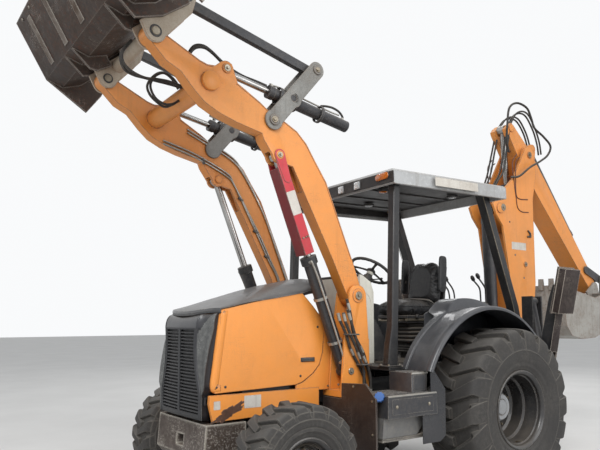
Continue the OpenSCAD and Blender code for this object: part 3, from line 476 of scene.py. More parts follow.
def make_object(
    name: str, shell: Patch, materials: list, body: str, smooth_angle: float = 35.0
) -> bpy.types.Object:
    """Puts a shell into a mesh object that rides on a body.

    Args:
        name: the piece's name.
        shell: points and faces.
        materials: Blender materials, one for each tag.
        body: CAD body that it moves with.
        smooth_angle: faces that meet at less than this angle, in degrees, are shaded as one.

    Returns:
        The new object.
    """
    mesh = bpy.data.meshes.new(name)
    pts = np.vstack(shell.points)
    mesh.from_pydata(pts.tolist(), [], shell.faces)
    for m in materials:
        mesh.materials.append(m)
    mesh.polygons.foreach_set("material_index", np.array(shell.tags, np.int32))
    bm = bmesh.new()
    bm.from_mesh(mesh)
    bmesh.ops.remove_doubles(bm, verts=bm.verts, dist=1e-5)
    bmesh.ops.dissolve_degenerate(bm, edges=bm.edges, dist=1e-6)
    bm.to_mesh(mesh)
    bm.free()
    mesh.polygons.foreach_set("use_smooth", np.ones(len(mesh.polygons), bool))
    mesh.update()
    mesh.set_sharp_from_angle(angle=math.radians(smooth_angle))
    obj = bpy.data.objects.new(name, mesh)
    bpy.context.scene.collection.objects.link(obj)
    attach(obj, body)
    LOG.info("piece %s on %s: %d faces", name, body, len(mesh.polygons))
    return obj


def skin(
    node: str, materials: list, bevel: float = 0.004, tagger: Callable | None = None, angle: float = 30.0
) -> bpy.types.Object:
    """Dresses a CAD node in a copy of its own shape with merged faces and rounded edges.

    Args:
        node: name of the CAD node.
        materials: finishes of the copy.
        bevel: radius of the rounded edges, in metres.
        tagger: gives each face's material from the face centres and normals, each an (n, 3) array in the
            rear-axle frame; without it all faces get the first one.
        angle: edges sharper than this are rounded, in degrees.

    Returns:
        The new object.
    """
    source = frame["nodes"][node]
    mesh = source.data.copy()
    mesh.name = node + "_skin"
    mesh.materials.clear()
    for m in materials:
        mesh.materials.append(m)
    bm = bmesh.new()
    bm.from_mesh(mesh)
    bmesh.ops.remove_doubles(bm, verts=bm.verts, dist=2e-5)
    bmesh.ops.dissolve_degenerate(bm, edges=bm.edges, dist=1e-5)
    bmesh.ops.dissolve_limit(bm, angle_limit=math.radians(0.6), verts=bm.verts, edges=bm.edges)
    for f in bm.faces:
        f.smooth = True
        f.material_index = 0
    bm.to_mesh(mesh)
    bm.free()
    if tagger is not None:
        centres, normals = np.zeros(len(mesh.polygons) * 3), np.zeros(len(mesh.polygons) * 3)
        mesh.polygons.foreach_get("center", centres)
        mesh.polygons.foreach_get("normal", normals)
        tags = tagger(centres.reshape(-1, 3) + np.array([AHEAD, 0.0, 0.0]), normals.reshape(-1, 3))
        mesh.polygons.foreach_set("material_index", np.asarray(tags, np.int32))
        mesh.update()
    obj = bpy.data.objects.new(node + "_skin", mesh)
    bpy.context.scene.collection.objects.link(obj)
    if bevel > 0:
        mod = obj.modifiers.new("edges", "BEVEL")
        mod.width = bevel
        mod.segments = 2
        mod.limit_method = "ANGLE"
        mod.angle_limit = math.radians(angle)
        mod.use_clamp_overlap = True
        mod.harden_normals = False
    mesh.set_sharp_from_angle(angle=math.radians(50))
    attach(obj, source["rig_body"])
    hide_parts(node)
    LOG.info("skin of %s", node)
    return obj


def thicken(obj: bpy.types.Object, thickness: float) -> None:
    """Gives an open surface the thickness of a sheet.

    Args:
        obj: the piece.
        thickness: thickness of the sheet, inwards from the surface.
    """
    wall = obj.modifiers.new("sheet", "SOLIDIFY")
    wall.thickness = thickness
    wall.offset = -1.0


def subdivide(obj: bpy.types.Object, levels: int) -> None:
    """Smooths a piece by splitting its faces.

    Args:
        obj: the piece.
        levels: times that each face is split.
    """
    smooth = obj.modifiers.new("smooth", "SUBSURF")
    smooth.levels = levels
    smooth.render_levels = levels


# Finishes


class Grain(Enum):
    """What the surface of a finish is like close up."""

    PAINT = "sprayed paint with a slight orange peel"
    CAST = "rough sand casting"
    RUBBER = "moulded rubber"
    VINYL = "grained upholstery vinyl"
    PLASTIC = "fine moulded texture"
    STEEL = "rolled or scraped steel"


def linear(red: int, green: int, blue: int) -> tuple[float, float, float]:
    """Screen values from 0 to 255 as linear light, each ((v + 0.055) / 1.055) to the power 2.4 above 0.04.

    Args:
        red: red value.
        green: green value.
        blue: blue value.

    Returns:
        The colour in linear light.
    """
    v = np.array([red, green, blue]) / 255.0
    v = np.where(v <= 0.04045, v / 12.92, ((v + 0.055) / 1.055) ** 2.4)
    return float(v[0]), float(v[1]), float(v[2])


class Nodes:
    """Short hand for building one node tree."""

    def __init__(self, tree: bpy.types.NodeTree) -> None:
        """Takes the tree that the nodes go into."""
        self.tree = tree
        self.links = tree.links

    def new(self, kind: str, **values: object) -> bpy.types.Node:
        """Adds a node.

        Args:
            kind: node type's identifier without the leading ShaderNode.
            values: settings of the node by attribute name.

        Returns:
            The node.
        """
        node = self.tree.nodes.new("ShaderNode" + kind)
        for key, value in values.items():
            setattr(node, key, value)
        return node

    def feed(self, socket: bpy.types.NodeSocket, value: object) -> None:
        """Links an output to a socket, or sets the socket to a plain value.

        Args:
            socket: the input.
            value: an output socket, a number, a vector or a colour.
        """
        if isinstance(value, bpy.types.NodeSocket):
            self.links.new(value, socket)
        elif isinstance(value, tuple) and socket.type == "RGBA" and len(value) == 3:
            socket.default_value = (*value, 1.0)
        else:
            socket.default_value = value

    def math(self, op: str, a: object, b: object = 0.0, clamp: bool = False) -> bpy.types.NodeSocket:
        """One arithmetic step on two numbers.

        Args:
            op: the operation.
            a: first number or socket.
            b: second number or socket.
            clamp: whether the result is kept from 0 to 1.

        Returns:
            The result.
        """
        node = self.new("Math", operation=op, use_clamp=clamp)
        self.feed(node.inputs[0], a)
        self.feed(node.inputs[1], b)
        return node.outputs[0]

    def mix(self, factor: object, a: object, b: object, blend: str = "MIX") -> bpy.types.NodeSocket:
        """Blends two colours.

        Args:
            factor: share of the second colour.
            a: first colour.
            b: second colour.
            blend: how the second is laid over the first.

        Returns:
            The blended colour.
        """
        node = self.new("Mix", data_type="RGBA", blend_type=blend, clamp_factor=True)
        self.feed(node.inputs[0], factor)
        self.feed(node.inputs[6], a)
        self.feed(node.inputs[7], b)
        return node.outputs[2]

    def ramp(
        self, value: object, low: float, high: float, to_low: float = 0.0, to_high: float = 1.0
    ) -> bpy.types.NodeSocket:
        """Carries a number from one range to another with soft ends.

        Args:
            value: the number.
            low: start of the first range.
            high: end of the first range.
            to_low: start of the second range.
            to_high: end of the second range.

        Returns:
            The carried number.
        """
        node = self.new("MapRange", interpolation_type="SMOOTHSTEP", clamp=True)
        self.feed(node.inputs[0], value)
        for index, number in ((1, low), (2, high), (3, to_low), (4, to_high)):
            self.feed(node.inputs[index], number)
        return node.outputs[0]

    def noise(
        self, vector: object, scale: object, detail: float = 4.0, rough: float = 0.55, warp: float = 0.0
    ) -> bpy.types.NodeSocket:
        """Fractal noise from 0 to 1.

        Args:
            vector: where the noise is read.
            scale: its fineness.
            detail: octaves.
            rough: strength of the fine octaves.
            warp: how far it is distorted.

        Returns:
            The noise value.
        """
        node = self.new("TexNoise", noise_dimensions="3D")
        self.feed(node.inputs["Vector"], vector)
        self.feed(node.inputs["Scale"], scale)
        node.inputs["Detail"].default_value = detail
        node.inputs["Roughness"].default_value = rough
        node.inputs["Distortion"].default_value = warp
        return node.outputs["Fac"]

    def stretch(
        self, vector: object, scale: tuple[float, float, float],
        turn: tuple[float, float, float] = (0.0, 0.0, 0.0)
    ) -> bpy.types.NodeSocket:
        """Scales and turns a vector.

        Args:
            vector: the vector.
            scale: factors along X, Y and Z.
            turn: turns about X, Y and Z in radians.

        Returns:
            The mapped vector.
        """
        node = self.new("Mapping")
        self.feed(node.inputs["Vector"], vector)
        node.inputs["Scale"].default_value = scale
        node.inputs["Rotation"].default_value = turn
        return node.outputs[0]


def new_group(
    name: str, inputs: dict[str, object], outputs: dict[str, str]
) -> tuple[bpy.types.NodeTree, Nodes, dict, dict]:
    """Starts a shader node group.

    Args:
        name: the group's name.
        inputs: socket names with their default values, where None is a vector.
        outputs: socket names with their socket types.

    Returns:
        The group, its builder, its input sockets by name and its output sockets by name.
    """
    tree = bpy.data.node_groups.new(name, "ShaderNodeTree")
    for key, value in inputs.items():
        kind = "NodeSocketVector" if value is None else "NodeSocketFloat"
        socket = tree.interface.new_socket(name=key, in_out="INPUT", socket_type=kind)
        if value is not None:
            socket.default_value = value
    for key, kind in outputs.items():
        tree.interface.new_socket(name=key, in_out="OUTPUT", socket_type=kind)
    build = Nodes(tree)
    enter = tree.nodes.new("NodeGroupInput")
    leave = tree.nodes.new("NodeGroupOutput")
    ins = {key: enter.outputs[key] for key in inputs}
    outs = {key: leave.inputs[key] for key in outputs}
    return tree, build, ins, outs


class Effects:
    """The shader groups that all finishes share: worn edges, grime, dust, mottling, scratches and runs."""

    def __init__(self) -> None:
        """Builds each group once."""
        self.edges = self._edges()
        self.grime = self._grime()
        self.dust = self._dust()
        self.mottle = self._mottle()
        self.scratch = self._scratch()
        self.runs = self._runs()

    def _edges(self) -> bpy.types.NodeTree:
        """Mask of worn edges: how far a normal rounded over Radius leans from the true one, times noise.

        Returns:
            The group.
        """
        tree, n, ins, outs = new_group(
            "worn_edges", {"Vector": None, "Radius": 0.012, "Amount": 0.5}, {"Mask": "NodeSocketFloat"}
        )
        bevel = n.new("Bevel", samples=4)
        n.feed(bevel.inputs["Radius"], ins["Radius"])
        true = n.new("NewGeometry")
        dot = n.new("VectorMath", operation="DOT_PRODUCT")
        n.feed(dot.inputs[0], bevel.outputs[0])
        n.feed(dot.inputs[1], true.outputs["Normal"])
        lean = n.math("SUBTRACT", 1.0, dot.outputs["Value"])
        broad = n.noise(ins["Vector"], 9.0, 5.0, 0.65)
        fine = n.noise(ins["Vector"], 70.0, 3.0, 0.6)
        rag = n.math("ADD", n.math("MULTIPLY", broad, 0.65), n.math("MULTIPLY", fine, 0.35))
        limit = n.math("SUBTRACT", 1.02, n.math("MULTIPLY", ins["Amount"], 0.62))
        strength = n.math(
            "MULTIPLY", n.ramp(lean, 0.01, 0.12),
            n.ramp(rag, n.math("SUBTRACT", limit, 0.42), n.math("SUBTRACT", limit, 0.3))
        )
        n.feed(outs["Mask"], strength)
        return tree

    def _grime(self) -> bpy.types.NodeTree:
        """Mask of dirt gathered in corners: closeness of other surfaces times blotchy noise.

        Returns:
            The group.
        """
        tree, n, ins, outs = new_group(
            "corner_grime", {"Vector": None, "Reach": 0.08, "Amount": 0.5}, {"Mask": "NodeSocketFloat"}
        )
        near = n.new("AmbientOcclusion", samples=4, only_local=False)
        n.feed(near.inputs["Distance"], ins["Reach"])
        shut = n.ramp(near.outputs["AO"], 0.35, 0.95, 1.0, 0.0)
        blotch = n.ramp(n.noise(ins["Vector"], 5.0, 6.0, 0.62, 0.4), 0.32, 0.68)
        flat = n.math("MULTIPLY", n.ramp(n.noise(ins["Vector"], 2.1, 6.0, 0.7, 0.3), 0.52, 0.74), 0.5)
        total = n.math(
            "ADD", n.math("MULTIPLY", shut, n.math("ADD", n.math("MULTIPLY", blotch, 0.7), 0.3)), flat
        )
        n.feed(outs["Mask"], n.math("MULTIPLY", total, ins["Amount"], True))
        return tree

    def _dust(self) -> bpy.types.NodeTree:
        """Mask of dust: faces that look upwards, and a thin film elsewhere, both cloudy.

        Returns:
            The group.
        """
        tree, n, ins, outs = new_group(
            "settled_dust", {"Vector": None, "Amount": 0.5}, {"Mask": "NodeSocketFloat"}
        )
        geometry = n.new("NewGeometry")
        parts = n.new("SeparateXYZ")
        n.feed(parts.inputs[0], geometry.outputs["Normal"])
        up = n.ramp(parts.outputs["Z"], 0.1, 0.9)
        cloud = n.ramp(n.noise(ins["Vector"], 3.4, 7.0, 0.66, 0.2), 0.3, 0.72)
        speck = n.ramp(n.noise(ins["Vector"], 38.0, 4.0, 0.7), 0.35, 0.75)
        film = n.math("MULTIPLY", n.math("MULTIPLY", cloud, speck), 0.42)
        top = n.math("MULTIPLY", up, n.math("ADD", n.math("MULTIPLY", cloud, 0.55), 0.35))
        n.feed(outs["Mask"], n.math("MULTIPLY", n.math("MAXIMUM", film, top), ins["Amount"], True))
        return tree

    def _mottle(self) -> bpy.types.NodeTree:
        """Cloudy variation of tone: two octaves of noise laid over each other.

        Returns:
            The group.
        """
        tree, n, ins, outs = new_group(
            "mottled_tone", {"Vector": None, "Scale": 2.0}, {"Value": "NodeSocketFloat"}
        )
        big = n.noise(ins["Vector"], ins["Scale"], 5.0, 0.6, 0.5)
        small = n.noise(ins["Vector"], n.math("MULTIPLY", ins["Scale"], 7.0), 4.0, 0.6)
        n.feed(
            outs["Value"],
            n.ramp(n.math("ADD", n.math("MULTIPLY", big, 0.7), n.math("MULTIPLY", small, 0.3)), 0.3, 0.7)
        )
        return tree

    def _scratch(self) -> bpy.types.NodeTree:
        """Thin scratches: where two strongly stretched noises cross a narrow band of values.

        Returns:
            The group.
        """
        tree, n, ins, outs = new_group(
            "thin_scratches", {"Vector": None, "Amount": 0.5}, {"Mask": "NodeSocketFloat"}
        )
        masks = []
        for turn, scale in (
            ((0.3, 0.5, 0.2), (3.0, 60.0, 60.0)), ((0.1, -0.7, 0.4), (60.0, 70.0, 2.5)),
            ((0.9, 0.2, -0.3), (45.0, 3.0, 55.0))
        ):
            line = n.noise(n.stretch(ins["Vector"], scale, turn), 1.0, 2.0, 0.5, 0.3)
            masks.append(n.ramp(n.math("ABSOLUTE", n.math("SUBTRACT", line, 0.5)), 0.0, 0.012, 1.0, 0.0))
        both = n.math("MAXIMUM", n.math("MAXIMUM", masks[0], masks[1]), masks[2])
        place = n.ramp(n.noise(ins["Vector"], 4.0, 4.0, 0.6), 0.5, 0.66)
        n.feed(outs["Mask"], n.math("MULTIPLY", n.math("MULTIPLY", both, place), ins["Amount"], True))
        return tree

    def _runs(self) -> bpy.types.NodeTree:
        """Streaks that run down: noise drawn out along Z.

        Returns:
            The group.
        """
        tree, n, ins, outs = new_group(
            "streaks_down", {"Vector": None, "Amount": 0.5}, {"Mask": "NodeSocketFloat"}
        )
        streak = n.noise(n.stretch(ins["Vector"], (26.0, 26.0, 1.6)), 1.0, 5.0, 0.6, 0.1)
        place = n.noise(ins["Vector"], 1.7, 4.0, 0.6)
        mask = n.math("MULTIPLY", n.ramp(streak, 0.5, 0.72), n.ramp(place, 0.4, 0.62))
        n.feed(outs["Mask"], n.math("MULTIPLY", mask, ins["Amount"], True))
        return tree


@dataclass(frozen=True)
class Finish:
    """A weathered finish: its colours, and how much each kind of wear shows."""

    name: str
    colour: tuple[float, float, float]
    faded: tuple[float, float, float]
    under: tuple[float, float, float] = linear(92, 84, 76)
    grime_colour: tuple[float, float, float] = linear(58, 50, 42)
    dust_colour: tuple[float, float, float] = linear(168, 156, 140)
    tone_scale: float = 2.0
    rough: tuple[float, float] = (0.35, 0.6)
    metallic: float = 0.0
    wear: float = 0.4
    wear_radius: float = 0.01
    grime: float = 0.5
    reach: float = 0.08
    dust: float = 0.35
    scratch: float = 0.3
    runs: float = 0.2
    bump: float = 0.15
    grain: Grain = Grain.PAINT
    coat: float = 0.0
    speck: float = 0.16
    flake: float = 0.0
    flake_colour: tuple[float, float, float] = linear(170, 166, 158)
    flake_scale: float = 34.0

    def material(self, effects: Effects) -> bpy.types.Material:
        """Builds the finish as a procedural material.

        Args:
            effects: the shared shader groups.

        Returns:
            The material.
        """
        mat = bpy.data.materials.new(self.name)
        mat.use_nodes = True
        mat.node_tree.nodes.clear()
        n = Nodes(mat.node_tree)
        out = n.new("OutputMaterial")
        shader = n.new("BsdfPrincipled")
        n.links.new(shader.outputs[0], out.inputs[0])
        where = n.new("TexCoord").outputs["Object"]

        def effect(tree: bpy.types.NodeTree, **values: object) -> bpy.types.NodeSocket:
            """Places one of the shared groups and gives its first output.

            Args:
                tree: the group.
                values: values of its inputs by name.

            Returns:
                The group's first output.
            """
            node = n.new("Group")
            node.node_tree = tree
            n.feed(node.inputs["Vector"], where)
            for key, value in values.items():
                node.inputs[key].default_value = value
            return node.outputs[0]

        tone = effect(effects.mottle, Scale=self.tone_scale)
        colour = n.mix(tone, self.colour, self.faded)
        fine = n.noise(where, 140.0, 3.0, 0.6)
        colour = n.mix(n.ramp(fine, 0.35, 0.75, 0.0, self.speck), colour, self.grime_colour)
        if self.flake > 0:
            chips = n.noise(where, self.flake_scale, 6.0, 0.7, 0.3)
            place = n.ramp(n.noise(where, 4.5, 4.0, 0.6), 0.35, 0.6)
            colour = n.mix(
                n.math(
                    "MULTIPLY", n.math("MULTIPLY", n.ramp(chips, 0.52, 0.6), place), self.flake * 1.6, True
                ),
                colour, self.flake_colour
            )
        bare = None
        if self.runs > 0:
            colour = n.mix(effect(effects.runs, Amount=self.runs), colour, self.grime_colour)
        if self.grime > 0:
            colour = n.mix(
                effect(effects.grime, Reach=self.reach, Amount=self.grime), colour, self.grime_colour
            )
        if self.scratch > 0:
            colour = n.mix(effect(effects.scratch, Amount=self.scratch), colour, self.under)
        if self.wear > 0:
            bare = effect(effects.edges, Radius=self.wear_radius, Amount=self.wear)
            colour = n.mix(bare, colour, self.under)
        rough = n.ramp(tone, 0.0, 1.0, self.rough[0], self.rough[1])
        if self.dust > 0:
            dust = effect(effects.dust, Amount=self.dust)
            colour = n.mix(dust, colour, self.dust_colour)
            node = n.new("Mix", data_type="FLOAT")
            n.feed(node.inputs[0], dust)
            n.feed(node.inputs[2], rough)
            node.inputs[3].default_value = 0.92
            rough = node.outputs[0]
        n.feed(shader.inputs["Base Color"], colour)
        n.feed(shader.inputs["Roughness"], rough)
        shader.inputs["Metallic"].default_value = self.metallic
        shader.inputs["Coat Weight"].default_value = self.coat
        if self.grain is Grain.RUBBER:
            shader.inputs["Specular IOR Level"].default_value = 0.35
        bump = n.new("Bump")
        bump.inputs["Strength"].default_value = self.bump
        bump.inputs["Distance"].default_value = 0.002
        n.feed(bump.inputs["Height"], self._height(n, where, bare))
        n.feed(shader.inputs["Normal"], bump.outputs[0])
        return mat

    def _height(
        self, n: Nodes, where: bpy.types.NodeSocket, bare: bpy.types.NodeSocket | None
    ) -> bpy.types.NodeSocket:
        """Height pattern of the grain, lowered where the finish is chipped away.

        Args:
            n: builder of the material's tree.
            where: object coordinates.
            bare: mask of the worn edges, if the finish has them.

        Returns:
            The height.
        """
        if self.grain is Grain.VINYL:
            cells = n.new("TexVoronoi", feature="DISTANCE_TO_EDGE")
            n.feed(cells.inputs["Vector"], where)
            cells.inputs["Scale"].default_value = 320.0
            height = n.ramp(cells.outputs["Distance"], 0.0, 0.25)
        elif self.grain is Grain.CAST:
            height = n.math(
                "ADD", n.noise(where, 60.0, 6.0, 0.7), n.math("MULTIPLY", n.noise(where, 9.0, 4.0, 0.6), 2.0)
            )
        elif self.grain is Grain.PLASTIC:
            height = n.noise(where, 420.0, 2.0, 0.5)
        elif self.grain is Grain.STEEL:
            height = n.noise(n.stretch(where, (12.0, 90.0, 90.0)), 1.0, 4.0, 0.6)
        elif self.grain is Grain.RUBBER:
            height = n.math("ADD", n.noise(where, 90.0, 4.0, 0.6), n.noise(where, 14.0, 4.0, 0.6))
        else:
            height = n.math(
                "ADD", n.noise(where, 3.0, 3.0, 0.5),
                n.math("MULTIPLY", n.noise(where, 55.0, 3.0, 0.5), 0.25)
            )
        if bare is not None:
            height = n.math("SUBTRACT", height, n.math("MULTIPLY", bare, 0.6))
        return height


ORANGE = linear(236, 148, 60)
ORANGE_FADED = linear(228, 146, 66)

